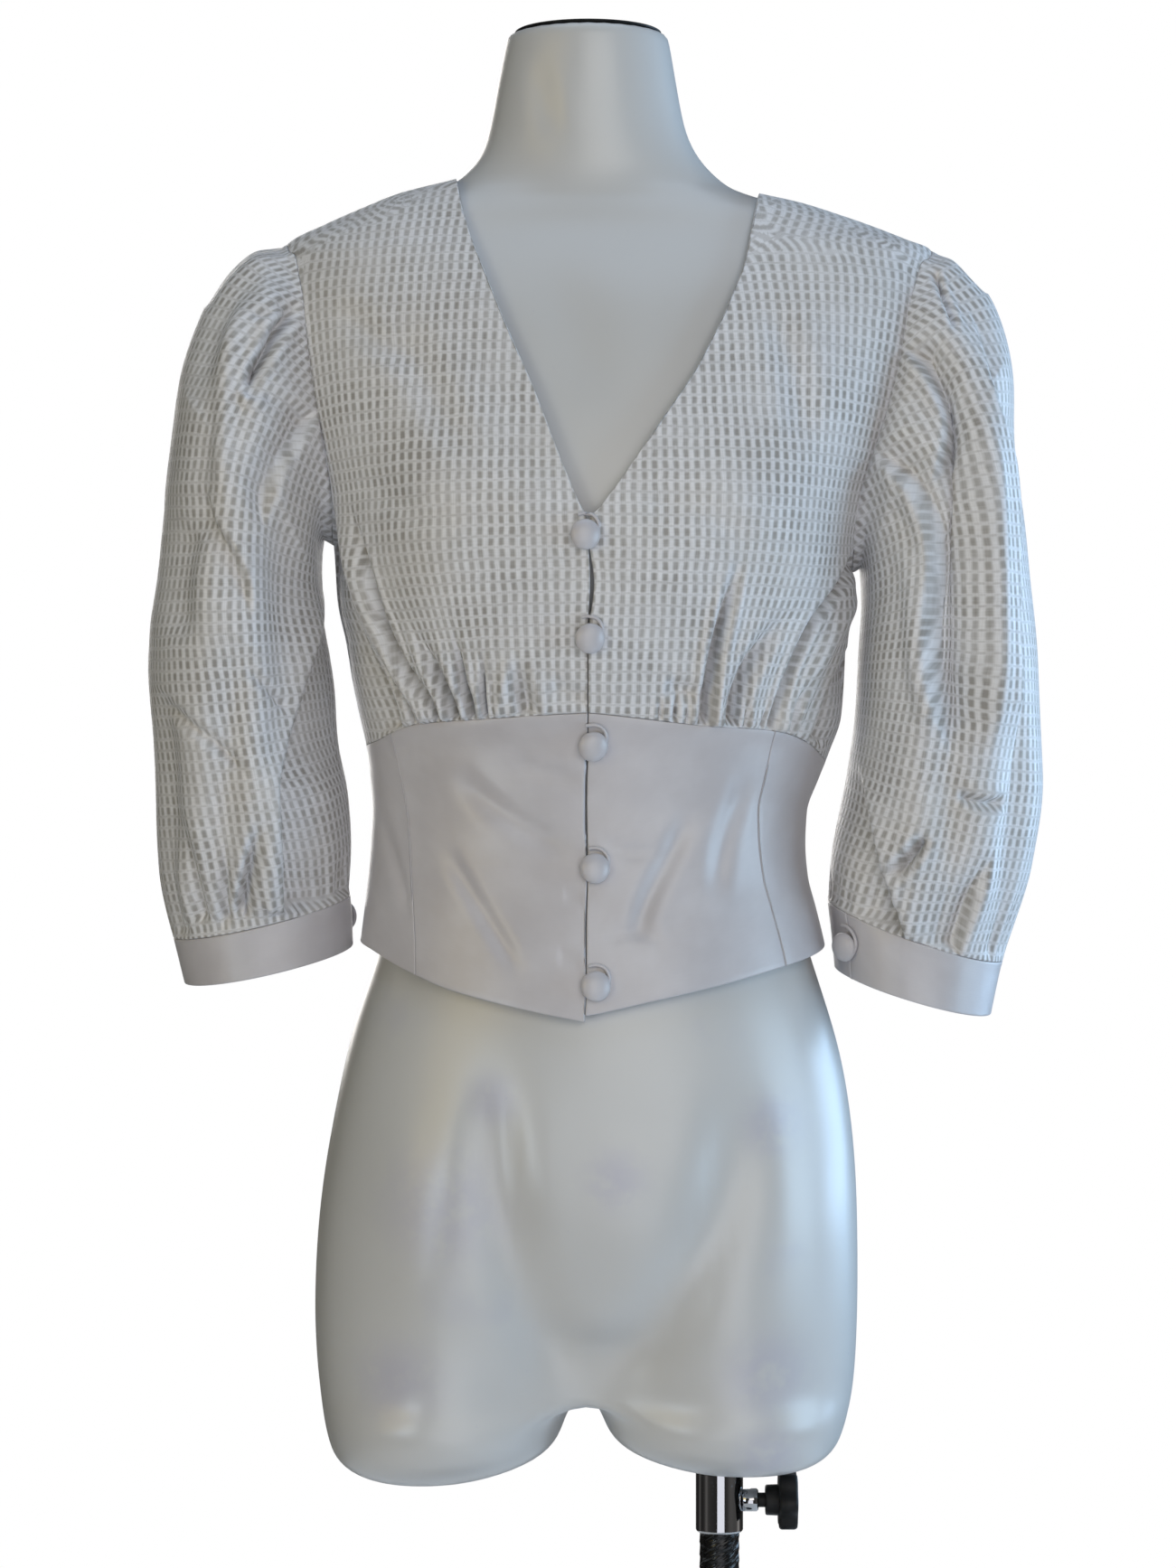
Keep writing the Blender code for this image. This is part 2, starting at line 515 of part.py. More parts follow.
class Quarter:
    """A quarter of the bodice, from a side seam to the centre, as a lattice on the torso."""

    def __init__(self, side, face):
        self.side, self.face = side, face
        self.columns = FRONT_COLUMNS if face == FRONT else BACK_COLUMNS
        self.seam = Smooth(MIDRIFF_SEAM[side, face])
        self.hem = Smooth(HEM[side, face])

    def surface(self, angle, z):
        return TORSO.point(true_angle(self.side, self.face, np.asarray(angle)), np.asarray(z))

    def cut(self, route, shares):
        """Route points of angle and height, evenly spread along the cloth."""
        curve = spline(route)
        return even(curve, self.surface(curve[:, 0], curve[:, 1]), shares)

    def edge_angle(self, z):
        """The angle of the centre edge at height z."""
        if self.face == BACK:
            return math.pi / 2 + 0 * np.asarray(z)
        left, right = Smooth(FRONT_EDGES)(z)
        return TORSO.angle_at_x(left if self.side == LEFT else right, z, self.side)

    def outer(self):
        low, high = UNDERARM_Z[self.side], SHOULDER_END_Z[self.side]
        seam_z = float(self.seam(0.0)[0])
        down = self.cut([(0, seam_z), (0, low)], np.linspace(0, 1, SIDE_ROWS + 1))
        wider = 1.0 if self.face == FRONT else BACK_ARMHOLE_WIDER
        route = [(0.0, low)]
        for p in ARMHOLE:
            z = low + (high - low) * p.height
            route.append((float(TORSO.angle_at_depth(p.depth * wider, z, self.face)), z))
        route.append((0.0, high))
        arm = self.cut(route, np.linspace(0, 1, ARMHOLE_ROWS + 1))
        return np.vstack([down[:-1], arm])

    def inner(self):
        """The centre line, and the neckline above it up to the shoulder."""
        seam_z, neck_z = float(self.seam(90.0)[0]), NECK_POINT_Z[self.side]
        if self.face == FRONT:
            corner, corner_row = V_POINT_Z, SIDE_ROWS
            route = [(float(self.edge_angle(corner)), corner)]
            for p in NECKLINE[self.side]:
                route.append((float(TORSO.angle_at_x(p.x, p.z, self.side)), p.z))
            route.append((0.0, neck_z))
        else:
            corner, corner_row = BACK_NECK_Z, BACK_NECK_ROW
            route = [(math.radians(p.angle), neck_z + (corner - neck_z) * p.share) for p in BACK_NECKLINE]
        z = np.linspace(seam_z, corner, corner_row + 1)
        edge = np.stack([self.edge_angle(z), z], axis=-1)
        rows = SIDE_ROWS + ARMHOLE_ROWS - corner_row
        return np.vstack([edge[:-1], self.cut(route, np.linspace(0, 1, rows + 1))])

    def bottom(self):
        angle = np.linspace(0, float(self.edge_angle(self.seam(90.0)[0])), 160)
        curve = np.stack([angle, self.seam(np.degrees(np.minimum(angle, math.pi / 2)))[0]], axis=-1)
        return even(curve, self.surface(curve[:, 0], curve[:, 1]), self.columns)

    def top(self):
        z = np.linspace(SHOULDER_END_Z[self.side], NECK_POINT_Z[self.side], 160)
        curve = np.stack([0 * z, z], axis=-1)
        return even(curve, self.surface(curve[:, 0], curve[:, 1]), self.columns)

    def lattice(self):
        """Rows from the midriff seam up, columns from the side to the centre."""
        outer, inner, bottom, top = self.outer(), self.inner(), self.bottom(), self.top()
        rows = np.linspace(0, 1, len(outer))[:, None, None]
        u = self.columns[None, :, None]
        flat = ((1 - rows) * bottom[None] + rows * top[None]
                + (1 - u) * outer[:, None] + u * inner[:, None]
                - (1 - rows) * (1 - u) * bottom[0] - (1 - rows) * u * bottom[-1]
                - rows * (1 - u) * top[0] - rows * u * top[-1])
        points = self.surface(flat[..., 0], flat[..., 1])
        return self.gathered(points, flat)

    def gathered(self, points, flat):
        """Presses the gathers into the cloth above the midriff seam."""
        normals = outward(points, CHEST)
        height = flat[..., 1] - flat[:1, :, 1]
        width = GATHER_WIDTH[self.face]
        depth = np.zeros(height.shape)
        for g in GATHERS[self.side, self.face]:
            near = np.clip(1 - np.abs(self.columns - g.place) / width, 0, 1)
            rise = np.clip(height / GATHER_START_HEIGHT, 0, 1)
            depth += g.depth * near[None, :] * rise * fade(height / g.reach)
        return points - normals * depth[..., None]

    def band(self):
        """The midriff band below this quarter, rows from the seam down."""
        top = self.bottom()
        lean = np.zeros(len(top))
        if self.face == FRONT:
            knee = PRINCESS_COLUMN[self.side]
            edge = float(self.edge_angle(BAND_FOOT_Z)) - top[-1, 0]
            lean = np.interp(self.columns, [0, self.columns[knee], 1], [0, PRINCESS_LEAN[self.side], edge])
        low_angle = top[:, 0] + lean
        low_z = self.hem(np.degrees(np.minimum(low_angle, math.pi / 2)))[0]
        share = np.linspace(0, 1, BAND_ROWS + 1)[:, None]
        z = top[None, :, 1] * (1 - share) + low_z[None, :] * share
        angle = top[None, :, 0] * (1 - share) + low_angle[None, :] * share
        if self.face == FRONT:
            angle[:, -1] = self.edge_angle(z[:, -1])
        return self.surface(angle, z)


def outward(points, centres, closed=False):
    """Unit normals of a lattice, pointing away from the centres."""
    down = np.gradient(points, axis=0)
    if closed:
        across = np.roll(points, -1, axis=1) - np.roll(points, 1, axis=1)
    else:
        across = np.gradient(points, axis=1)
    normals = np.cross(down, across)
    normals /= np.linalg.norm(normals, axis=-1, keepdims=True) + 1e-12
    sign = np.sign(np.mean(np.sum(normals * (points - centres), axis=-1)))
    return normals * sign


class Ringed:
    """A sleeve and its cuff: rings carried from the armhole down to the wrist edge."""

    def __init__(self, side, armhole):
        self.side = side
        self.armhole = armhole
        self.rails = Smooth(SLEEVE[side])
        self.turns = np.linspace(0, 2 * math.pi, len(armhole), endpoint=False)

    def ring(self, row, turns):
        """A ring through its outer, front, inner and back points."""
        outer_x, outer_z, inner_x, inner_z, front, back, drop = row
        c, s = np.cos(turns), np.sin(turns)
        x = (outer_x + inner_x) / 2 + c * (outer_x - inner_x) / 2
        y = -s * np.where(s >= 0, front, back)
        z = (outer_z + inner_z) / 2 + c * (outer_z - inner_z) / 2 - s * drop
        return np.stack([x, y, z], axis=-1)

    def centres(self, shares):
        rows = self.rails(shares)
        return np.stack([(rows[0] + rows[2]) / 2, 0 * shares, (rows[1] + rows[3]) / 2], axis=-1)

    def sleeve(self):
        """Rings from the armhole to the cuff seam, with the folds pressed in."""
        shares = np.linspace(0, 1, SLEEVE_RINGS + 1)
        start = self.ring(self.rails(0.0), self.turns)
        points = []
        for share in shares:
            keep = fade(share / ARMHOLE_FADE)
            points.append(self.ring(self.rails(share), self.turns) + keep * (self.armhole - start))
        points = np.array(points)
        centres = self.centres(shares)[:, None]
        return points - outward(points, centres, closed=True) * self.folds(shares)[..., None], centres

    def folds(self, shares):
        depth = np.zeros((len(shares), len(self.turns)))
        degrees = np.degrees(self.turns)
        for f in SLEEVE_FOLDS[self.side]:
            along = (shares - f.start) / (f.end - f.start)
            inside = (along > 0) & (along < 1)
            middle = f.turn_start + (f.turn_end - f.turn_start) * np.clip(along, 0, 1)
            strength = np.where(inside, np.sin(math.pi * np.clip(along, 0, 1)) ** 0.6, 0)
            off = (degrees[None, :] - middle[:, None] + 180) % 360 - 180
            depth += f.depth * strength[:, None] * np.exp(-((off / f.width) ** 2))
        return depth

    def wrist(self, turns, share):
        """The cuff's surface: share 0 at the sleeve, 1 at its free edge."""
        top = self.ring(self.rails(1.0), turns)
        low = self.ring(np.array(CUFF_EDGE[self.side][1:]), turns)
        return top * (1 - share) + low * share

    def cuff(self):
        """The cuff as a strip whose two ends meet at its button."""
        first = CUFF_OPENING[self.side]
        turns = np.roll(self.turns, -first)
        opening = SEAM_GAP / abs(self.rails(1.0)[4])
        turns = np.append(turns, turns[0] - opening)
        shares = np.linspace(0, 1, CUFF_RINGS + 1)
        return np.array([self.wrist(turns, share) for share in shares])


class Panel:
    """A piece of cloth: the middle surface of its wall, welded from one or more lattices."""

    def __init__(self, name, lattices, centres, closed=False, satin=False):
        self.name, self.satin = name, satin
        self.points, self.normals, self.faces = [], [], []
        self.found = {}
        for lattice in lattices:
            self.add(lattice, outward(lattice, centres, closed), closed)
        self.points, self.normals = np.array(self.points), np.array(self.normals)

    def add(self, lattice, normals, closed):
        """Adds a lattice's points and its triangles, turned to face outward."""
        rows, columns = lattice.shape[:2]
        index = [[self.weld(lattice[r, c], normals[r, c]) for c in range(columns)] for r in range(rows)]
        middle = lattice[rows // 2], lattice[rows // 2 - 1]
        facing = np.cross(middle[0][1] - middle[0][0], middle[1][0] - middle[0][0])
        down = np.sign(np.dot(facing, normals[rows // 2, 0])) > 0
        for r in range(rows - 1):
            for c in range(columns if closed else columns - 1):
                n = (c + 1) % columns
                a, b, d, e = index[r][c], index[r][n], index[r + 1][n], index[r + 1][c]
                self.faces += [(a, e, d), (a, d, b)] if down else [(a, b, d), (a, d, e)]

    def weld(self, point, normal):
        """The number of the piece's point at this place."""
        key = place_key(point)
        if key not in self.found:
            self.found[key] = len(self.points)
            self.points.append(point)
            self.normals.append(normal)
        return self.found[key]

    def rim(self):
        """The directed edges with cloth on their left only."""
        edges = {(face[i], face[(i + 1) % 3]) for face in self.faces for i in range(3)}
        return [(a, b) for a, b in edges if (b, a) not in edges]

    def pull_back(self):
        """Draws the edges in by half of the seam gap."""
        inward = {}
        for a, b in sorted(self.rim()):
            along = self.points[b] - self.points[a]
            for end in (a, b):
                step = np.cross(self.normals[end], along)
                inward.setdefault(end, []).append(step / np.linalg.norm(step))
        for end, steps in inward.items():
            total = np.sum(steps, axis=0)
            agree = float(np.dot(steps[0], steps[-1]))
            self.points[end] = self.points[end] + total / (1 + max(agree, 0)) * SEAM_GAP / 2

    def build(self):
        """The closed wall, half of the cloth on each side of its middle."""
        offset = self.normals * CLOTH / 2
        points = np.concatenate([self.points + offset, self.points - offset])
        skin = len(self.points)
        faces = list(self.faces)
        faces += [(skin + a, skin + d, skin + b) for a, b, d in self.faces]
        for a, b in self.rim():
            faces += [(b, a, skin + a), (b, skin + a, skin + b)]
        CLOTH_FACES.append((points, faces))
        return solid(self.name, points, faces, "satin" if self.satin else "check")


def place_key(point):
    return tuple(np.round(np.asarray(point) * 20000).astype(int))


def match_normals(panels):
    """Pieces that meet at a seam share its normals, so that their walls meet squarely."""
    ends = [(panel, end) for panel in panels for end in sorted({a for a, _ in panel.rim()})]
    points = np.array([panel.points[end] for panel, end in ends])
    normals = np.array([panel.normals[end] for panel, end in ends])
    ridge = np.abs(points[:, 1]) < RIDGE_DEPTH
    ridge &= points[:, 2] > min(SHOULDER_END_Z.values()) - RIDGE_DEPTH
    normals[ridge, 1] = 0.0
    for (panel, end), point in zip(ends, points):
        met = np.linalg.norm(points - point, axis=1) < 1.5 * SEAM_GAP
        total = normals[met].sum(axis=0)
        panel.normals[end] = total / np.linalg.norm(total)


class Finish(NamedTuple):
    colour: tuple
    roughness: float
    metallic: float


FINISHES = {
    "check": Finish((0.80, 0.79, 0.80), 0.62, 0.0),
    "satin": Finish((0.76, 0.74, 0.78), 0.45, 0.0),
    "form_shell": Finish((0.78, 0.79, 0.78), 0.38, 0.0),
    "chrome": Finish((0.75, 0.75, 0.77), 0.12, 1.0),
    "black_plastic": Finish((0.02, 0.02, 0.022), 0.45, 0.0),
    "black_tape": Finish((0.015, 0.015, 0.017), 0.35, 0.0),
    "base_metal": Finish((0.03, 0.03, 0.032), 0.40, 0.6),
}


def material(name):
    found = bpy.data.materials.get(name)
    if found:
        return found
    made = bpy.data.materials.new(name)
    made.use_nodes = True
    shader = made.node_tree.nodes["Principled BSDF"]
    finish = FINISHES[name]
    shader.inputs["Base Color"].default_value = (*finish.colour, 1.0)
    shader.inputs["Roughness"].default_value = finish.roughness
    shader.inputs["Metallic"].default_value = finish.metallic
    made.diffuse_color = (*finish.colour, 1.0)
    return made


def place(name, mesh, finish):
    """Puts a mesh into the model under the stand's centre."""
    made = bpy.data.objects.new(name, mesh)
    if finish:
        mesh.materials.append(material(finish))
    PARTS.objects.link(made)
    made.parent = CENTRE
    return made


def solid(name, points, faces, finish):
    """An object from points and faces, with its faces turned outward."""
    mesh = bpy.data.meshes.new(name)
    mesh.from_pydata([tuple(p) for p in points], [], faces)
    shape = bmesh.new()
    shape.from_mesh(mesh)
    bmesh.ops.recalc_face_normals(shape, faces=shape.faces)
    shape.to_mesh(mesh)
    shape.free()
    mesh.shade_smooth()
    return place(name, mesh, finish)


def turned(name, profile, sides, finish, closed=False):
    """A profile of radius and height, turned about Z."""
    mesh = bpy.data.meshes.new(name)
    edges = [(i, i + 1) for i in range(len(profile) - 1)]
    if closed:
        edges.append((len(profile) - 1, 0))
    mesh.from_pydata([(r, 0.0, z) for r, z in profile], edges, [])
    made = place(name, mesh, finish)
    screw = made.modifiers.new("Turn", "SCREW")
    screw.steps = screw.render_steps = sides
    screw.use_merge_vertices = True
    screw.merge_threshold = 0.00001
    return made


def cutter(name, radius, low, high, sides, lying=False):
    """A cylinder that cuts or joins, upright or lying along X from the pole's axis."""
    shape = bmesh.new()
    turn = Matrix.Rotation(math.pi / 2, 4, "Y") if lying else Matrix.Identity(4)
    reach = Vector(((low + high) / 2, 0, 0)) if lying else Vector((0, 0, (low + high) / 2))
    start = Vector((POLE_X, 0, CLAMP_Z if lying else 0))
    bmesh.ops.create_cone(shape, cap_ends=True, segments=sides, radius1=radius, radius2=radius,
                          depth=high - low, matrix=Matrix.Translation(start + reach) @ turn)
    mesh = bpy.data.meshes.new(name)
    shape.to_mesh(mesh)
    shape.free()
    made = bpy.data.objects.new(name, mesh)
    CUTTERS.objects.link(made)
    made.parent = CENTRE
    made.hide_render = True
    made.display_type = "WIRE"
    return made


def cut(target, tool, operation="DIFFERENCE"):
    change = target.modifiers.new(tool.name, "BOOLEAN")
    change.operation = operation
    change.object = tool


def build_cloth():
    """Fronts, back, band, sleeves and cuffs."""
    quarters = {(side, face): Quarter(side, face) for side in SIDE_NAMES for face in (FRONT, BACK)}
    lattices = {key: quarter.lattice() for key, quarter in quarters.items()}
    bands = {key: quarter.band() for key, quarter in quarters.items()}
    panels = []
    for side, name in SIDE_NAMES.items():
        panels.append(Panel("front_" + name, [lattices[side, FRONT]], CHEST))
        knee = PRINCESS_COLUMN[side]
        front = bands[side, FRONT]
        panels.append(Panel("band_side_" + name, [front[:, :knee + 1]], CHEST, satin=True))
        panels.append(Panel("band_front_" + name, [front[:, knee:]], CHEST, satin=True))
        arm_front = quarters[side, FRONT].outer()[SIDE_ROWS:]
        arm_back = quarters[side, BACK].outer()[SIDE_ROWS:]
        flat = np.vstack([arm_front[::-1], arm_back[1:-1]])
        face = np.array([FRONT] * len(arm_front) + [BACK] * (len(arm_back) - 2))
        armhole = TORSO.point(true_angle(side, face, flat[:, 0]), flat[:, 1])
        limb = Ringed(side, armhole)
        sleeve, centres = limb.sleeve()
        panels.append(Panel("sleeve_" + name, [sleeve], centres, closed=True))
        panels.append(Panel("cuff_" + name, [limb.cuff()], limb.centres(np.array([1.0]))[0], satin=True))
        LIMBS[side] = limb
    for name, quarter_lattices, satin in (("back", lattices, False), ("band_back", bands, True)):
        halves = [quarter_lattices[RIGHT, BACK], quarter_lattices[LEFT, BACK]]
        panels.append(Panel(name, halves, CHEST, satin=satin))
    match_normals(panels)
    for panel in panels:
        panel.pull_back()
        panel.build()


def fasten(name, loop_name, surface, cloth):
    """A covered button on its shank and the loop round it, on a surface of across and up."""
    def stand(across, up, height):
        step = 0.0005
        ahead = surface(across + step, up) - surface(across - step, up)
        above = surface(across, up + step) - surface(across, up - step)
        normal = np.cross(ahead, above)
        normal /= np.linalg.norm(normal)
        above_cloth = surface(across, up) + normal * CLOTH * 2
        on_cloth = np.array(cloth.find_nearest(Vector(above_cloth))[0])
        return on_cloth + normal * height, ahead, normal

    foot, ahead, normal = stand(0, 0, SEAT)
    head = [(BUTTON_R * math.sin(a), SHANK_LENGTH + BUTTON_HEAD * (0.15 + 0.85 * math.cos(a)))
            for a in np.radians([0, 32, 62, 90])]
    head[0] = (0.0, head[0][1])
    profile = head + [(BUTTON_R * 0.93, SHANK_LENGTH), (SHANK_R, SHANK_LENGTH), (SHANK_R, 0.0), (0.0, 0.0)]
    button = turned(name, profile, 12, "satin")
    out, across = Vector(normal).normalized(), Vector(ahead).normalized()
    up = out.cross(across)
    button.matrix_basis = Matrix.Translation(foot) @ Matrix((across, up, out)).transposed().to_4x4()

    path = spline([(p.across, p.up) for p in LOOP_PATH], count=9)
    line = [stand(a, u, SEAT + LOOP_R)[0] for a, u in path]
    curve = bpy.data.curves.new(loop_name, "CURVE")
    curve.dimensions = "3D"
    curve.bevel_depth = LOOP_R
    curve.bevel_resolution = 1
    curve.use_fill_caps = True
    run = curve.splines.new("POLY")
    run.points.add(len(line) - 1)
    for point, at in zip(run.points, line):
        point.co = (*at, 1.0)
    curve.materials.append(material("satin"))
    loop = bpy.data.objects.new(loop_name, curve)
    PARTS.objects.link(loop)
    loop.parent = CENTRE


def skin_of_cloth():
    """A search tree over every wall, so that what lies on the cloth is seated on it."""
    points, faces = [], []
    for some_points, some_faces in CLOTH_FACES:
        faces += [tuple(i + len(points) for i in face) for face in some_faces]
        points += [tuple(p) for p in some_points]
    return BVHTree.FromPolygons(points, faces)


def build_buttons():
    cloth = skin_of_cloth()
    for number, at in enumerate(FRONT_BUTTONS, start=1):
        def front(across, up, at=at):
            angle = TORSO.angle_at_x(at.x + across, at.z + up, RIGHT)
            return TORSO.point(angle, at.z + up)
        fasten(f"button_{number}", f"loop_{number}", front, cloth)
    for side, name in SIDE_NAMES.items():
        limb = LIMBS[side]
        middle = limb.turns[CUFF_OPENING[side]]
        edge = limb.wrist(middle, 0.5)
        centre = limb.centres(np.array([1.0]))[0]
        round_the_wrist = float(np.linalg.norm((edge - centre)[:2]))
        tall = float(np.linalg.norm(limb.wrist(middle, 1.0) - limb.wrist(middle, 0.0)))
        way = -side

        def cuff(across, up, limb=limb, middle=middle, radius=round_the_wrist, tall=tall, way=way):
            return limb.wrist(middle + way * across / radius, 0.5 - up / tall)
        fasten("cuff_button_" + name, "cuff_loop_" + name, cuff, cloth)


def build_form():
    """The torso form with its two thigh stubs, and the socket bored up the viewer's right one."""
    turns = np.linspace(0, 2 * math.pi, FORM_SIDES, endpoint=False)
    points, faces = [], []
    rings = []
    for row in FORM:
        ring = FORM_BODY.point(turns, row.z)
        from_front = np.degrees(np.abs((turns - math.pi / 2 + math.pi) % (2 * math.pi) - math.pi))
        from_back = 180 - from_front
        low = fade((row.z - FORM[0].z) / (CROTCH_FOLD_TOP - FORM[0].z))
        fold = CROTCH_FOLD * low
        ring[:, 1] += fold * np.exp(-((from_front / CROTCH_FOLD_SPREAD) ** 2))
        ring[:, 1] -= 0.6 * fold * np.exp(-((from_back / CROTCH_FOLD_SPREAD) ** 2))
        rings.append(list(range(len(points), len(points) + FORM_SIDES)))
        points.extend(ring)
    for low, high in zip(rings, rings[1:]):
        faces += band_of_faces(low, high)
    faces.append(tuple(rings[-1]))
    foot = rings[0]
    front, back = FORM_SIDES // 4, 3 * FORM_SIDES // 4
    bridge = []
    for k in range(1, BRIDGE_POINTS + 1):
        share = k / (BRIDGE_POINTS + 1)
        y = points[foot[back]][1] * (1 - share) + points[foot[front]][1] * share
        bridge.append(len(points))
        points.append((CROTCH_X, y, FORM[0].z))
    ways = {RIGHT: -1, LEFT: 1}
    for side, way in ways.items():
        outside = [foot[(front + way * i) % FORM_SIDES] for i in range(FORM_SIDES // 2 + 1)]
        ring = outside + bridge
        across = np.linspace(STUB_SPREAD, -STUB_SPREAD, len(outside))
        behind = np.linspace(-STUB_SPREAD, STUB_SPREAD - 2 * math.pi, BRIDGE_POINTS + 2)[1:-1]
        angles = np.concatenate([across, behind])
        for stub in STUBS[side]:
            c = signed_power(np.cos(angles), 2 / STUB_POWER)
            s = signed_power(np.sin(angles), 2 / STUB_POWER)
            x = (stub.outer + stub.inner) / 2 + c * (stub.outer - stub.inner) / 2
            y = -s * np.where(s >= 0, stub.front, stub.back)
            below = list(range(len(points), len(points) + len(ring)))
            points.extend(np.stack([x, y, stub.z + 0 * x], axis=-1))
            faces += band_of_faces(below, ring)
            ring = below
        middle = len(points)
        last = STUBS[side][-1]
        points.append(((last.outer + last.inner) / 2, 0.0, STUB_FLOOR[side]))
        faces += [(middle, ring[i], ring[(i + 1) % len(ring)]) for i in range(len(ring))]
    form = solid("form", points, faces, "form_shell")
    cut(form, cutter("form_socket", COLLAR_R + RUNNING_GAP, 0.55, SOCKET_TOP, 20))

    cap = bmesh.new()
    squash = Matrix.Diagonal((1.0, NECK_CAP_DEPTH / NECK_CAP_R, 1.0, 1.0))
    lift = FORM[-1].z + SEAT + NECK_CAP_THICK / 2
    bmesh.ops.create_cone(cap, cap_ends=True, segments=24, radius1=NECK_CAP_R, radius2=NECK_CAP_R,
                          depth=NECK_CAP_THICK, matrix=Matrix.Translation((0, NECK_MIDDLE_Y, lift)) @ squash)
    mesh = bpy.data.meshes.new("neck_cap")
    cap.to_mesh(mesh)
    cap.free()
    place("neck_cap", mesh, "black_plastic")


def band_of_faces(low, high):
    count = len(low)
    return [(low[i], low[(i + 1) % count], high[(i + 1) % count], high[i]) for i in range(count)]


def build_stand():
    """Base, pole, collar with its clamp boss, and the clamp's knob."""
    edge = 0.002
    base = turned("base_plate", [(0.0, BASE_THICK), (BASE_R - edge, BASE_THICK), (BASE_R, BASE_THICK - edge),
                                 (BASE_R, 0.0), (0.0, 0.0)], 40, "base_metal")
    base.location.x = -CENTRE_X
    bore = POLE_R + RUNNING_GAP
    foot = BASE_THICK + SEAT
    hub = turned("base_hub", [(bore, HUB_TOP), (HUB_R - edge, HUB_TOP), (HUB_R, HUB_TOP - edge),
                              (HUB_R, foot), (bore, foot)], 20, "base_metal", closed=True)
    hub.location.x = POLE_X
    pole = turned("pole", [(0.0, POLE_TOP), (POLE_R - edge, POLE_TOP), (POLE_R, POLE_TOP - edge),
                           (POLE_R, foot), (0.0, foot)], 20, "black_tape")
    pole.location.x = POLE_X
    collar = turned("collar", [(bore, COLLAR_TOP), (COLLAR_R, COLLAR_TOP),
                               (COLLAR_R, COLLAR_BOTTOM), (bore, COLLAR_BOTTOM)], 20, "chrome", closed=True)
    collar.location.x = POLE_X
    cut(collar, cutter("clamp_boss", BOSS_R, POLE_R + 0.0010, BOSS_END, 12, lying=True), "UNION")
    cut(collar, cutter("clamp_bore", SCREW_R + RUNNING_GAP, bore - 0.002, BOSS_END + 0.002, 12, lying=True))
    build_knob()


def build_knob():
    """The clamp's screw, hub and lobed head as one piece, turning about X."""
    tip = POLE_R + 2 * RUNNING_GAP
    knob = turned("clamp_knob", [(0.0, KNOB_HEAD_START + 0.004), (KNOB_HUB_R, KNOB_HEAD_START + 0.004),
                                 (KNOB_HUB_R, KNOB_HUB_START), (SCREW_R, KNOB_HUB_START),
                                 (SCREW_R, tip), (0.0, tip)], 12, "black_plastic")
    knob.rotation_euler = (0.0, math.pi / 2, 0.0)
    knob.location = (POLE_X, 0.0, CLAMP_Z)
    head = bmesh.new()
    count = 24
    levels = ((KNOB_HEAD_START, 0.94), (KNOB_HEAD_START + 0.0015, 1.0), (KNOB_END - 0.0015, 1.0), (KNOB_END, 0.92))
    rings = []
    for along, scale in levels:
        ring = []
        for k in range(count):
            turn = 2 * math.pi * k / count
            radius = (KNOB_R + KNOB_LOBE_DEPTH * math.cos(KNOB_LOBES * turn)) * scale
            ring.append(head.verts.new((POLE_X + along, radius * math.cos(turn),
                                        CLAMP_Z + radius * math.sin(turn))))
        rings.append(ring)
    for low, high in zip(rings, rings[1:]):
        for face in band_of_faces(low, high):
            head.faces.new(face)
    head.faces.new(rings[0])
    head.faces.new(rings[-1])
    bmesh.ops.recalc_face_normals(head, faces=head.faces)
    mesh = bpy.data.meshes.new("knob_head")
    head.to_mesh(mesh)
    head.free()
    tool = bpy.data.objects.new("knob_head", mesh)
    CUTTERS.objects.link(tool)
    tool.parent = CENTRE
    tool.hide_render = True
    tool.display_type = "WIRE"
    cut(knob, tool, "UNION")


for leftover in list(bpy.data.objects):
    bpy.data.objects.remove(leftover)
PARTS = bpy.data.collections.new("checked_blouse_on_form")
CUTTERS = bpy.data.collections.new("cutters")
for group in (PARTS, CUTTERS):
    bpy.context.scene.collection.children.link(group)
CENTRE = bpy.data.objects.new("centre", None)
CENTRE.location.x = CENTRE_X
PARTS.objects.link(CENTRE)
bpy.context.view_layer.update()
LIMBS = {}
CLOTH_FACES = []

build_cloth()
build_buttons()
build_form()
build_stand()
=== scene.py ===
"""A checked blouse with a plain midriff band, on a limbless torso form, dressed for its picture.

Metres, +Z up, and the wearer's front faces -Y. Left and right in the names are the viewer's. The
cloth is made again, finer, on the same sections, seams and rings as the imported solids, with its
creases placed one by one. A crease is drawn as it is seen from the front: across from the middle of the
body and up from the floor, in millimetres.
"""

from __future__ import annotations

import logging
import math
from dataclasses import dataclass, field
from enum import Enum
from typing import Any, Callable, NamedTuple, Sequence

import bmesh
import bpy
import numpy as np
from mathutils import Matrix, Vector
from mathutils.bvhtree import BVHTree

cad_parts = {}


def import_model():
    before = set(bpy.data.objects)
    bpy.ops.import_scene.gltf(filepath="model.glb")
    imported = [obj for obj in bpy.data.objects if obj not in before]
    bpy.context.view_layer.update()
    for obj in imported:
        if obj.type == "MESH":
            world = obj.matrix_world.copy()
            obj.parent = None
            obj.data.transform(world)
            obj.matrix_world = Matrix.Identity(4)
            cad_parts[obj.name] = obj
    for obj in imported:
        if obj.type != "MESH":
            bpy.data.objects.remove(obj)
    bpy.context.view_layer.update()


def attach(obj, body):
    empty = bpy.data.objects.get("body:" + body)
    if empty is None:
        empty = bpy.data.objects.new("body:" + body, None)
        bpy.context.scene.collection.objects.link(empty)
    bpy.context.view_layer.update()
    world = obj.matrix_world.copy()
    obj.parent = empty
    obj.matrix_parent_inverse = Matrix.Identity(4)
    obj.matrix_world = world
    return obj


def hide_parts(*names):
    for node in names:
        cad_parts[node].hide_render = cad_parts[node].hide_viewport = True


LOG = logging.getLogger("blouse")

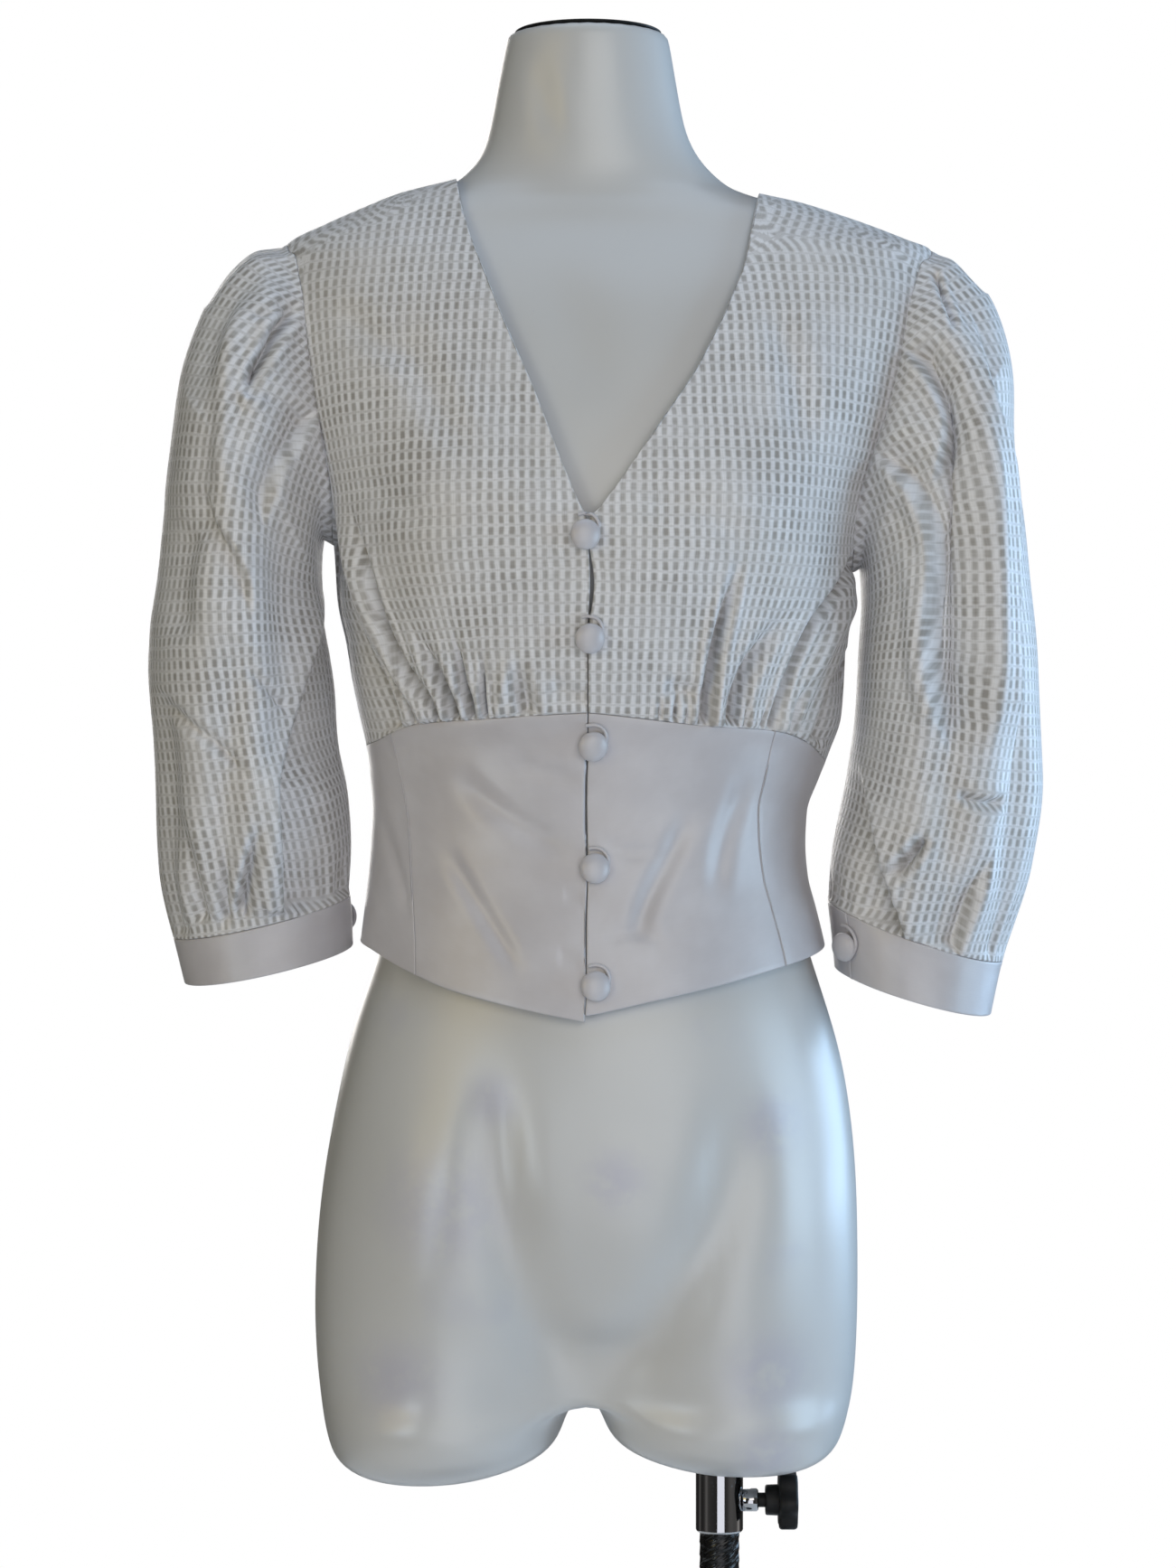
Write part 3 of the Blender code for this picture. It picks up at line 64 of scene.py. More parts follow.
CENTRE_X = -0.0047          # the body's middle, from the middle of the stand's base
CLOTH = 0.0012              # how thick the cloth is
SEAM_GAP = 0.0003           # between two pieces that are sewn together
SEAT = 0.0003               # between pieces that rest on each other
EYE_DISTANCE = 2.2          # the viewer's eye, from the body's middle
EYE_HEIGHT = 1.037
LEFT, RIGHT = -1, 1
FRONT, BACK = 1, -1
SIDE_NAMES = {LEFT: "left", RIGHT: "right"}

# How finely the cloth is divided: the solids' own rows, each in several finer ones
FINER = 8
SIDE_ROWS = 5 * FINER
ARMHOLE_ROWS = 16 * FINER
BACK_NECK_ROW = 16 * FINER
BAND_ROWS = 40
QUARTER_COLUMNS = 144
FRONT_COLUMNS = 256
EASING_ROUNDS = 90             # smooth the neckline's edge
SLEEVE_ROWS = 200
CUFF_ROWS, CUFF_COLUMNS = 24, 220
GATHER_START, GATHER_END, GATHER_COLUMNS = 0.31, 0.74, 15
PRINCESS_PLACE = {LEFT: GATHER_START, RIGHT: GATHER_START + (GATHER_END - GATHER_START) * 4 / GATHER_COLUMNS}
PRINCESS_LEAN = {LEFT: math.radians(14), RIGHT: math.radians(-7)}
BAND_FOOT_Z = 0.91


def rows(kind: Callable[..., Any], *values: tuple) -> tuple:
    """Makes a record of one kind from each row of values."""
    return tuple(kind(*row) for row in values)


class Girth(NamedTuple):
    """A level section: its reach to each side, forward and back, and how square its corners are."""
    z: float
    left: float
    right: float
    front: float
    back: float
    power: float


BLOUSE = rows(Girth,
    (0.885, 0.158, 0.16, 0.111, 0.1085, 2.15), (0.91, 0.147, 0.151, 0.108, 0.103, 2.15),
    (0.939, 0.1405, 0.1455, 0.104, 0.097, 2.15), (0.9617, 0.1375, 0.14, 0.1, 0.0925, 2.15),
    (0.98, 0.1355, 0.1355, 0.0975, 0.0895, 2.15), (1.0, 0.1335, 0.134, 0.0955, 0.087, 2.15),
    (1.02, 0.1325, 0.135, 0.095, 0.0865, 2.15), (1.04, 0.134, 0.142, 0.0965, 0.0875, 2.15),
    (1.0577, 0.136, 0.149, 0.099, 0.0895, 2.15), (1.078, 0.1405, 0.156, 0.1045, 0.0925, 2.2),
    (1.101, 0.1453, 0.158, 0.111, 0.096, 2.2), (1.1246, 0.1492, 0.159, 0.116, 0.099, 2.2),
    (1.15, 0.1545, 0.16, 0.1195, 0.1015, 2.2), (1.18, 0.1565, 0.164, 0.1205, 0.1035, 2.25),
    (1.21, 0.16, 0.1715, 0.1185, 0.1045, 2.3), (1.24, 0.168, 0.183, 0.114, 0.104, 2.35),
    (1.27, 0.176, 0.195, 0.107, 0.1025, 2.4), (1.3, 0.183, 0.205, 0.0985, 0.0985, 2.4),
    (1.325, 0.188, 0.211, 0.0895, 0.0925, 2.4), (1.345, 0.19, 0.214, 0.08, 0.0865, 2.35),
    (1.36, 0.1895, 0.2145, 0.072, 0.08, 2.3), (1.367, 0.1875, 0.211, 0.068, 0.0775, 2.2),
    (1.3708, 0.185, 0.201, 0.066, 0.076, 2.15), (1.3815, 0.164, 0.173, 0.061, 0.0715, 2.1),
    (1.387, 0.1515, 0.157, 0.0585, 0.0695, 2.1), (1.393, 0.1365, 0.138, 0.0565, 0.0675, 2.05),
    (1.4005, 0.118, 0.105, 0.0545, 0.0655, 2.0), (1.4045, 0.105, 0.096, 0.054, 0.065, 2.0),
    (1.411, 0.0815, 0.083, 0.053, 0.064, 2.0), (1.418, 0.076, 0.076, 0.052, 0.063, 2.0))

FORM = rows(Girth,
    (0.664, 0.1655, 0.1635, 0.1, 0.106, 2.3), (0.68, 0.1672, 0.165, 0.1012, 0.1085, 2.3),
    (0.7, 0.1684, 0.166, 0.1025, 0.1115, 2.3), (0.722, 0.1688, 0.1666, 0.104, 0.115, 2.3),
    (0.762, 0.1672, 0.1666, 0.1055, 0.118, 2.25), (0.801, 0.1627, 0.1655, 0.106, 0.117, 2.2),
    (0.837, 0.156, 0.162, 0.105, 0.113, 2.2), (0.872, 0.149, 0.156, 0.1025, 0.106, 2.15),
    (0.903, 0.14, 0.1465, 0.099, 0.0985, 2.15), (0.927, 0.1308, 0.1386, 0.095, 0.092, 2.1),
    (0.955, 0.124, 0.13, 0.091, 0.086, 2.1), (0.985, 0.1195, 0.122, 0.088, 0.0815, 2.1),
    (1.02, 0.1175, 0.118, 0.0865, 0.079, 2.1), (1.06, 0.1205, 0.1205, 0.089, 0.081, 2.1),
    (1.1, 0.129, 0.129, 0.096, 0.086, 2.15), (1.15, 0.14, 0.14, 0.105, 0.092, 2.2),
    (1.19, 0.144, 0.144, 0.11, 0.0955, 2.2), (1.22, 0.147, 0.147, 0.1085, 0.097, 2.25),
    (1.26, 0.153, 0.153, 0.101, 0.0965, 2.3), (1.3, 0.164, 0.164, 0.0915, 0.092, 2.3),
    (1.33, 0.171, 0.171, 0.0815, 0.085, 2.3), (1.355, 0.1745, 0.1745, 0.069, 0.076, 2.25),
    (1.368, 0.172, 0.172, 0.0615, 0.0705, 2.15), (1.3765, 0.1655, 0.1655, 0.0575, 0.068, 2.1),
    (1.3835, 0.154, 0.154, 0.055, 0.066, 2.05), (1.389, 0.14, 0.14, 0.053, 0.064, 2.0),
    (1.394, 0.1215, 0.1215, 0.051, 0.0625, 2.0), (1.399, 0.104, 0.105, 0.05, 0.0615, 2.0),
    (1.404, 0.0896, 0.089, 0.049, 0.0605, 2.0), (1.413, 0.0764, 0.0781, 0.048, 0.06, 2.0),
    (1.4231, 0.0669, 0.0686, 0.048, 0.0595, 2.0), (1.4388, 0.0613, 0.0602, 0.0475, 0.058, 2.0),
    (1.4629, 0.0574, 0.0557, 0.047, 0.054, 2.0), (1.499, 0.0503, 0.0498, 0.046, 0.05, 2.0),
    (1.501, 0.049, 0.0485, 0.0447, 0.0487, 2.0))


class EdgePoint(NamedTuple):
    """A point of an edge, as the viewer sees it from the front."""
    x: float
    z: float


NECKLINE = {
    LEFT: rows(EdgePoint,
        (-0.0056, 1.2022), (-0.0164, 1.229), (-0.0325, 1.272), (-0.0486, 1.3096), (-0.0595, 1.3374),
        (-0.0709, 1.3672), (-0.0769, 1.3886), (-0.0795, 1.402)),
    RIGHT: rows(EdgePoint,
        (0.0051, 1.1968), (0.0212, 1.2183), (0.0427, 1.2505), (0.0642, 1.2827), (0.0803, 1.3149),
        (0.094, 1.349), (0.099, 1.3737), (0.1025, 1.39)),
}
NECK_POINT_Z = {LEFT: 1.4110, RIGHT: 1.4005}
SHOULDER_END_Z = {LEFT: 1.3708, RIGHT: 1.3670}
UNDERARM_Z = {LEFT: 1.1850, RIGHT: 1.1680}
BACK_NECK_Z = 1.3860


class BackNeckPoint(NamedTuple):
    """An angle from the shoulder towards the centre back, and the share of the way down there."""
    angle: float
    share: float


BACK_NECKLINE = rows(BackNeckPoint,
    (90, 1.0), (66, 0.96), (42, 0.7), (20, 0.3), (0, 0.0))
V_POINT_Z = 1.1950
CHEST = np.array([0.0, 0.0, 1.2])   # a point inside the torso, which every panel faces away from


class ArmholePoint(NamedTuple):
    """Share of the armhole's height, and how far its front or back edge is from the side seam."""
    height: float
    depth: float


ARMHOLE = rows(ArmholePoint,
    (0.015, 0.011), (0.07, 0.025), (0.17, 0.038), (0.3, 0.045), (0.46, 0.047), (0.62, 0.047), (0.78, 0.044),
    (0.89, 0.035), (0.96, 0.021))
BACK_ARMHOLE_WIDER = 1.08


class SeamPoint(NamedTuple):
    """An angle from the side seam towards the centre, and the seam's height there."""
    angle: float
    z: float


MIDRIFF_SEAM = {
    (LEFT, FRONT): rows(SeamPoint,
        (0, 1.06), (20, 1.063), (45, 1.073), (65, 1.0755), (90, 1.079)),
    (RIGHT, FRONT): rows(SeamPoint,
        (0, 1.0495), (15, 1.054), (30, 1.0625), (45, 1.069), (65, 1.0715), (90, 1.079)),
    (LEFT, BACK): rows(SeamPoint,
        (0, 1.06), (45, 1.059), (90, 1.058)),
    (RIGHT, BACK): rows(SeamPoint,
        (0, 1.0495), (45, 1.056), (90, 1.058)),
}
HEM = {
    (LEFT, FRONT): rows(SeamPoint,
        (0, 0.941), (20, 0.937), (40, 0.9265), (57, 0.915), (72, 0.9065), (90, 0.8965)),
    (RIGHT, FRONT): rows(SeamPoint,
        (0, 0.9385), (20, 0.9335), (42, 0.926), (62, 0.9165), (78, 0.908), (90, 0.9005)),
    (LEFT, BACK): rows(SeamPoint,
        (0, 0.941), (45, 0.937), (90, 0.935)),
    (RIGHT, BACK): rows(SeamPoint,
        (0, 0.9385), (45, 0.936), (90, 0.935)),
}


class FrontEdge(NamedTuple):
    """Where the two fronts end at the centre; they part a little between the buttons."""
    z: float
    left: float
    right: float


FRONT_EDGES = rows(FrontEdge,
    (0.89, -0.003, -0.0026), (0.9175, -0.0012, -0.0008), (0.95, -0.0016, -0.0008), (0.9866, -0.0004, 0.0),
    (1.028, -0.0046, -0.0006), (1.0635, -0.0002, 0.0002), (1.1232, -0.0002, 0.0002),
    (1.155, 0.0012, 0.0036), (1.1829, -0.0002, 0.0002), (1.195, -0.0012, 0.0012))


class Ring(NamedTuple):
    """A ring of a sleeve: its outer and inner points, its reach forward and back, its front drop."""
    share: float
    outer_x: float
    outer_z: float
    inner_x: float
    inner_z: float
    front: float
    back: float
    drop: float


SLEEVE = {
    LEFT: rows(Ring,
        (0.0, -0.185, 1.3708, -0.156, 1.185, 0.047, 0.051, 0.0),
        (0.06, -0.203, 1.37, -0.1625, 1.1885, 0.061, 0.064, 0.0),
        (0.14, -0.222, 1.356, -0.1655, 1.179, 0.073, 0.075, 0.0),
        (0.24, -0.2385, 1.324, -0.165, 1.162, 0.082, 0.083, 0.0),
        (0.36, -0.253, 1.278, -0.1625, 1.142, 0.087, 0.087, 0.0),
        (0.48, -0.26, 1.22, -0.159, 1.118, 0.087, 0.088, 0.0),
        (0.6, -0.2662, 1.16, -0.1555, 1.093, 0.085, 0.087, 0.001),
        (0.72, -0.2702, 1.1, -0.1528, 1.064, 0.082, 0.085, 0.002),
        (0.84, -0.2665, 1.035, -0.1483, 1.03, 0.078, 0.08, 0.003),
        (0.93, -0.264, 0.985, -0.147, 0.996, 0.067, 0.077, 0.005),
        (1.0, -0.256, 0.943, -0.148, 0.968, 0.049, 0.062, 0.006)),
    RIGHT: rows(Ring,
        (0.0, 0.211, 1.367, 0.162, 1.168, 0.047, 0.051, 0.0),
        (0.06, 0.223, 1.3655, 0.1685, 1.1715, 0.06, 0.063, 0.0),
        (0.14, 0.2375, 1.353, 0.171, 1.1615, 0.072, 0.074, 0.0),
        (0.24, 0.2515, 1.33, 0.1715, 1.145, 0.081, 0.082, 0.0),
        (0.36, 0.2625, 1.29, 0.1705, 1.126, 0.086, 0.086, 0.0),
        (0.48, 0.268, 1.235, 0.1685, 1.103, 0.087, 0.088, 0.001),
        (0.6, 0.275, 1.178, 0.1655, 1.079, 0.086, 0.087, 0.002),
        (0.72, 0.279, 1.112, 0.1618, 1.055, 0.083, 0.085, 0.004),
        (0.84, 0.2797, 1.044, 0.1572, 1.025, 0.078, 0.08, 0.005),
        (0.93, 0.2735, 0.988, 0.1525, 0.995, 0.07, 0.072, 0.006),
        (1.0, 0.256, 0.929, 0.149, 0.965, 0.053, 0.055, 0.007)),
}
CUFF_EDGE = {
    LEFT: Ring(1.00, -0.2490, 0.9150, -0.1465, 0.9370, 0.048, 0.061, 0.006),
    RIGHT: Ring(1.00, 0.2490, 0.8960, 0.1530, 0.9235, 0.052, 0.054, 0.006),
}
ARMHOLE_FADE = 0.34         # the share of the sleeve over which the armhole's own shape fades out


class SleeveFold(NamedTuple):
    """A trough that runs down a sleeve: its turns round the sleeve and its ends down its length."""
    turn_start: float
    turn_end: float
    start: float
    end: float
    width: float
    depth: float


SLEEVE_FOLDS = {
    LEFT: rows(SleeveFold,
        (30, 45, 0.0, 0.34, 13, 0.007), (-25, -35, 0.0, 0.3, 13, 0.007), (5, 10, 0.0, 0.22, 11, 0.005),
        (75, 60, 0.1, 0.5, 14, 0.006), (130, 125, 0.25, 0.98, 20, 0.012), (95, 70, 0.6, 1.0, 13, 0.008),
        (40, 30, 0.72, 1.0, 12, 0.007), (-40, -30, 0.62, 1.0, 13, 0.008), (-95, -80, 0.55, 1.0, 14, 0.008),
        (-140, -130, 0.25, 0.95, 20, 0.01)),
    RIGHT: rows(SleeveFold,
        (28, 42, 0.0, 0.32, 13, 0.007), (-28, -40, 0.0, 0.32, 13, 0.007), (0, 5, 0.0, 0.2, 11, 0.005),
        (80, 70, 0.05, 0.75, 17, 0.011), (125, 110, 0.15, 0.7, 16, 0.01), (100, 85, 0.7, 1.0, 13, 0.008),
        (50, 45, 0.74, 1.0, 12, 0.007), (-35, -40, 0.65, 1.0, 13, 0.008), (-85, -80, 0.5, 1.0, 14, 0.008),
        (-135, -125, 0.2, 0.95, 20, 0.01)),
}


class Bust(NamedTuple):
    """A soft fullness of the chest, equal on both sides."""
    fullness: float
    angle: float
    angle_spread: float
    z: float
    z_spread: float


FORM_BUST = Bust(0.0070, 56, 20, 1.200, 0.050)
BLOUSE_BUST = Bust(0.0090, 56, 22, 1.198, 0.056)

# The form's lower end
FORM_SIDES = 28
CROTCH_X = -0.0025
CROTCH_FOLD = 0.046         # how deep the fold between the thighs is at the foot of the torso
CROTCH_FOLD_SPREAD = 17     # degrees
CROTCH_FOLD_TOP = 0.800
BRIDGE_POINTS = 5           # points along the crotch, from back to front


class Stub(NamedTuple):
    """A level ring of a thigh stub."""
    z: float
    outer: float
    inner: float
    front: float
    back: float


STUBS = {
    RIGHT: rows(Stub,
        (0.651, 0.1612, 0.0072, 0.089, 0.095), (0.638, 0.1578, 0.0112, 0.0855, 0.0915),
        (0.628, 0.153, 0.022, 0.079, 0.0845), (0.62, 0.143, 0.044, 0.065, 0.07),
        (0.6145, 0.126, 0.068, 0.04, 0.043)),
    LEFT: rows(Stub,
        (0.649, -0.164, -0.013, 0.089, 0.095), (0.635, -0.1612, -0.0165, 0.0855, 0.0915),
        (0.624, -0.1575, -0.027, 0.079, 0.0845), (0.615, -0.148, -0.049, 0.065, 0.07),
        (0.6088, -0.13, -0.074, 0.04, 0.043)),
}
STUB_FLOOR = {RIGHT: 0.6128, LEFT: 0.6072}
STUB_POWER = 2.25
STUB_SPREAD = math.radians(125)   # how far round each stub the torso's own edge is carried

# Stand
POLE_X = 0.0814
POLE_R = 0.0125
POLE_TOP = 0.760
COLLAR_R = 0.01465
COLLAR_BOTTOM, COLLAR_TOP = 0.5745, 0.790
SOCKET_TOP = 0.800
SOCKET_FOOT = 0.55              # below the form, where the socket's tool starts
RUNNING_GAP = 0.0003
BOSS_R, BOSS_END = 0.007, 0.0240
CLAMP_Z = 0.5935
SCREW_R = 0.0045
KNOB_HUB_R, KNOB_HUB_START, KNOB_HEAD_START, KNOB_END = 0.0093, 0.0285, 0.0366, 0.0482
KNOB_R, KNOB_LOBES, KNOB_LOBE_DEPTH = 0.0175, 6, 0.0013
BASE_R, BASE_THICK = 0.200, 0.009
HUB_R, HUB_TOP = 0.0200, 0.052
NECK_CAP_R, NECK_CAP_DEPTH, NECK_CAP_THICK = 0.0455, 0.0420, 0.0015
NECK_MIDDLE_Y = 0.002


class ButtonPlace(NamedTuple):
    """Where a front button's middle is, as the viewer sees it."""
    x: float
    z: float


FRONT_BUTTONS = rows(ButtonPlace,
    (-0.0024, 1.1829), (-0.0003, 1.1232), (0.0022, 1.06), (0.0032, 0.9866), (0.0038, 0.9175))


class LoopPoint(NamedTuple):
    """A point of a loop's path, from the button's middle: to the right and up."""
    across: float
    up: float


LOOP_PATH = rows(LoopPoint,
    (-0.0035, 0.0118), (0.001, 0.0124), (0.0058, 0.0108), (0.0084, 0.0066), (0.008, 0.0016),
    (0.0052, -0.003), (0.001, -0.0052), (-0.0035, -0.0056))
CUFF_OPENING = {LEFT: 19, RIGHT: 13}      # the ring point at which a cuff's ends meet
SOLID_TURNS = 32              # the points of a solid's ring


class Fold(Enum):
    """The ways in which a crease shapes the cloth."""
    TROUGH = "trough"
    RIDGE = "ridge"
    DROP_LEFT = "a fold's edge, with the lower cloth on the viewer's left"
    DROP_RIGHT = "a fold's edge, with the lower cloth on the viewer's right"


class Border(Enum):
    """The four borders of a stretch of cloth."""
    BOTTOM = "bottom"
    TOP = "top"
    OUTER = "outer"
    INNER = "inner"


class End(Enum):
    """How the cloth ends at a border."""
    SEAM = "sewn to the next piece"
    TURNED = "free, and turned under"


class Smooth:
    """A smooth curve through the rows of a table, read at any value of its first column."""

    def __init__(self, rows: Sequence[Sequence[float]]) -> None:
        """Works out the curve's slopes.

        Args:
            rows: The table, its first column rising.
        """
        table = np.array(rows, dtype=float)
        self.at = table[:, 0]
        self.values = table[:, 1:]
        rates = np.diff(self.values, axis=0) / np.diff(self.at)[:, None]
        ahead, behind = rates[1:], rates[:-1]
        same_way = ahead * behind > 0
        total = np.where(same_way, ahead + behind, 1.0)
        inner = np.where(same_way, 2 * ahead * behind / total, 0.0)
        self.slopes = np.vstack([rates[:1], inner, rates[-1:]])

    def __call__(self, value: Any) -> np.ndarray:
        """Reads the curve.

        Args:
            value: One place or an array of them.

        Returns:
            One array for each of the table's other columns.
        """
        value = np.clip(np.asarray(value, dtype=float), self.at[0], self.at[-1])
        i = np.clip(np.searchsorted(self.at, value) - 1, 0, len(self.at) - 2)
        step = (self.at[i + 1] - self.at[i])[..., None]
        t = (value - self.at[i])[..., None] / step
        low, high = self.values[i], self.values[i + 1]
        rise = self.slopes[i] * step
        run = self.slopes[i + 1] * step
        curve = (low * (2 * t**3 - 3 * t**2 + 1) + rise * (t**3 - 2 * t**2 + t)
                 + high * (3 * t**2 - 2 * t**3) + run * (t**3 - t**2))
        return np.moveaxis(curve, -1, 0)


def fade(t: Any) -> np.ndarray:
    """Falls smoothly from 1 at t = 0 to 0 at t = 1."""
    t = np.clip(t, 0.0, 1.0)
    return 1 - t * t * (3 - 2 * t)


def signed_power(value: Any, power: Any) -> np.ndarray:
    """Raises the size of a value to a power and keeps its sign."""
    return np.sign(value) * np.abs(value) ** power


def spline(points: Any, count: int = 160) -> np.ndarray:
    """Makes a smooth curve through points, with even knots.

    Args:
        points: The points that it passes through.
        count: How many points it gets.

    Returns:
        The curve's points.
    """
    points = np.asarray(points, dtype=float)
    knots = np.concatenate([[0], np.cumsum(np.linalg.norm(np.diff(points, axis=0), axis=1))])
    if len(points) == 2:
        curve = np.linspace(0, 1, count)[:, None]
        return points[0] * (1 - curve) + points[1] * curve
    tangents = np.gradient(points, knots, axis=0)
    at = np.linspace(0, knots[-1], count)
    i = np.clip(np.searchsorted(knots, at) - 1, 0, len(points) - 2)
    step = (knots[i + 1] - knots[i])[:, None]
    t = (at - knots[i])[:, None] / step
    return (points[i] * (2 * t**3 - 3 * t**2 + 1) + tangents[i] * step * (t**3 - 2 * t**2 + t)
            + points[i + 1] * (3 * t**2 - 2 * t**3) + tangents[i + 1] * step * (t**3 - t**2))


def even(curve: np.ndarray, measured: np.ndarray, shares: Any) -> np.ndarray:
    """Spreads points evenly along a curve.

    Args:
        curve: The curve's points.
        measured: The line beside it whose length counts.
        shares: The shares of that length at which points are wanted.

    Returns:
        The curve at those shares.
    """
    run = np.concatenate([[0], np.cumsum(np.linalg.norm(np.diff(measured, axis=0), axis=1))])
    at = np.asarray(shares) * run[-1]
    return np.stack([np.interp(at, run, curve[:, k]) for k in range(curve.shape[1])], axis=-1)


def run_along(points: np.ndarray, axis: int) -> np.ndarray:
    """Measures how far each point of a lattice lies along the cloth from the first line.

    Args:
        points: The lattice.
        axis: 0 to measure up the rows, 1 along the columns.

    Returns:
        The distances.
    """
    steps = np.linalg.norm(np.diff(points, axis=axis), axis=-1)
    start = np.zeros_like(np.take(steps, [0], axis=axis))
    return np.concatenate([start, np.cumsum(steps, axis=axis)], axis=axis)


def outward(points: np.ndarray, centres: np.ndarray, closed: bool = False) -> np.ndarray:
    """Works out a lattice's unit normals, pointing away from its centres.

    Args:
        points: The lattice.
        centres: Points inside, one for all or one a row.
        closed: Whether the last column meets the first.

    Returns:
        The normals.
    """
    down = np.gradient(points, axis=0)
    if closed:
        across = np.roll(points, -1, axis=1) - np.roll(points, 1, axis=1)
    else:
        across = np.gradient(points, axis=1)
    normals = np.cross(down, across)
    normals /= np.linalg.norm(normals, axis=-1, keepdims=True) + 1e-12
    return normals * np.sign(np.mean(np.sum(normals * (points - centres), axis=-1)))


def as_seen(points: np.ndarray, face: int) -> np.ndarray:
    """Puts points where the viewer sees them, or would from behind at the same distance.

    Args:
        points: Points of the body, before it is moved to its place on the stand.
        face: FRONT or BACK.

    Returns:
        Millimetres across from the middle and up from the floor.
    """
    nearness = EYE_DISTANCE / (EYE_DISTANCE + face * points[..., 1])
    across = points[..., 0] * nearness
    up = EYE_HEIGHT + (points[..., 2] - EYE_HEIGHT) * nearness
    return np.stack([across, up], axis=-1) * 1000


@dataclass(frozen=True)
class Crease:
    """A crease: its path from its top down, its width and depth, all in millimetres.

    Its ends are the shares of its length over which it fades at the top and at the foot, and its
    reach is how far the cloth beside a fold's edge takes to come back.
    """
    fold: Fold
    path: tuple[tuple[float, float], ...]
    width: float
    depth: float
    ends: tuple[float, float] = (0.28, 0.28)
    reach: float = 30.0

    def press(self, seen: np.ndarray) -> np.ndarray:
        """Finds how far the crease moves the cloth.

        Args:
            seen: The cloth's points as the viewer sees them.

        Returns:
            The move outward of each point, in metres.
        """
        line = spline(self.path, 56)
        margin = 3.2 * max(self.width, self.reach if self.fold in (Fold.DROP_LEFT, Fold.DROP_RIGHT) else 0)
        near = np.all((seen > line.min(axis=0) - margin) & (seen < line.max(axis=0) + margin), axis=-1)
        moved = np.zeros(seen.shape[:-1])
        if not near.any():
            return moved
        points = seen[near]
        tangents = np.gradient(line, axis=0)
        step = np.linalg.norm(tangents, axis=1)
        tangents = tangents / step[:, None]
        gaps = points[:, None, :] - line[None]
        nearest = np.argmin(np.sum(gaps**2, axis=-1), axis=1)
        gap = gaps[np.arange(len(points)), nearest]
        tangent = tangents[nearest]
        along = np.sum(gap * tangent, axis=1)
        to_right = tangent[:, 0] * gap[:, 1] - tangent[:, 1] * gap[:, 0]
        share = np.clip((nearest + along / step[nearest]) / (len(line) - 1), 0, 1)
        beyond = (nearest == 0) & (along < 0) | (nearest == len(line) - 1) & (along > 0)
        past = np.where(beyond, np.abs(along), 0)
        fading = np.exp(-((past / (END_FADE * self.width)) ** 2))
        moved[near] = self.profile(to_right) * self.strength(share) * fading
        return moved / 1000

    def strength(self, share: np.ndarray) -> np.ndarray:
        """Gives the crease's strength at shares of its length."""
        top = 1 - fade(share / max(self.ends[0], 1e-3))
        return top * (1 - fade((1 - share) / max(self.ends[1], 1e-3)))

    def profile(self, to_right: np.ndarray) -> np.ndarray:
        """Gives the move, in millimetres, at distances to the right of the path.

        Args:
            to_right: The distances, negative on the left.

        Returns:
            The moves, at full strength.
        """
        across = to_right / self.width
        if self.fold is Fold.TROUGH:
            return -self.depth * (1 - 0.9 * across**2) * np.exp(-0.8 * across**2)
        if self.fold is Fold.RIDGE:
            return self.depth * np.exp(-(across**2))
        low = to_right if self.fold is Fold.DROP_RIGHT else -to_right
        under = -(1 - np.exp(-((low / self.width) ** 2))) * np.exp(-((low / self.reach) ** 2))
        lip = 0.22 * np.exp(-((low / (0.7 * self.width)) ** 2))
        above = 0.22 * np.exp(-((low / (3.0 * self.width)) ** 2))
        return self.depth * np.where(low > 0, under + lip, above)


@dataclass(frozen=True)
class Ripple:
    """The cloth's slight unevenness: a few long waves across each other."""
    seed: int
    depth: float = 0.0005

    def press(self, seen: np.ndarray) -> np.ndarray:
        """Finds the unevenness.

        Args:
            seen: The cloth's points as the viewer sees them.

        Returns:
            The move outward of each point, in metres.
        """
        waves = np.random.default_rng(self.seed)
        total = np.zeros(seen.shape[:-1])
        for _ in range(6):
            turn, phase = waves.uniform(0, 2 * math.pi, 2)
            length = waves.uniform(38, 110)
            total += np.sin((seen[..., 0] * math.cos(turn) + 0.6 * seen[..., 1] * math.sin(turn))
                            * 2 * math.pi / length + phase)
        return total * self.depth / 2


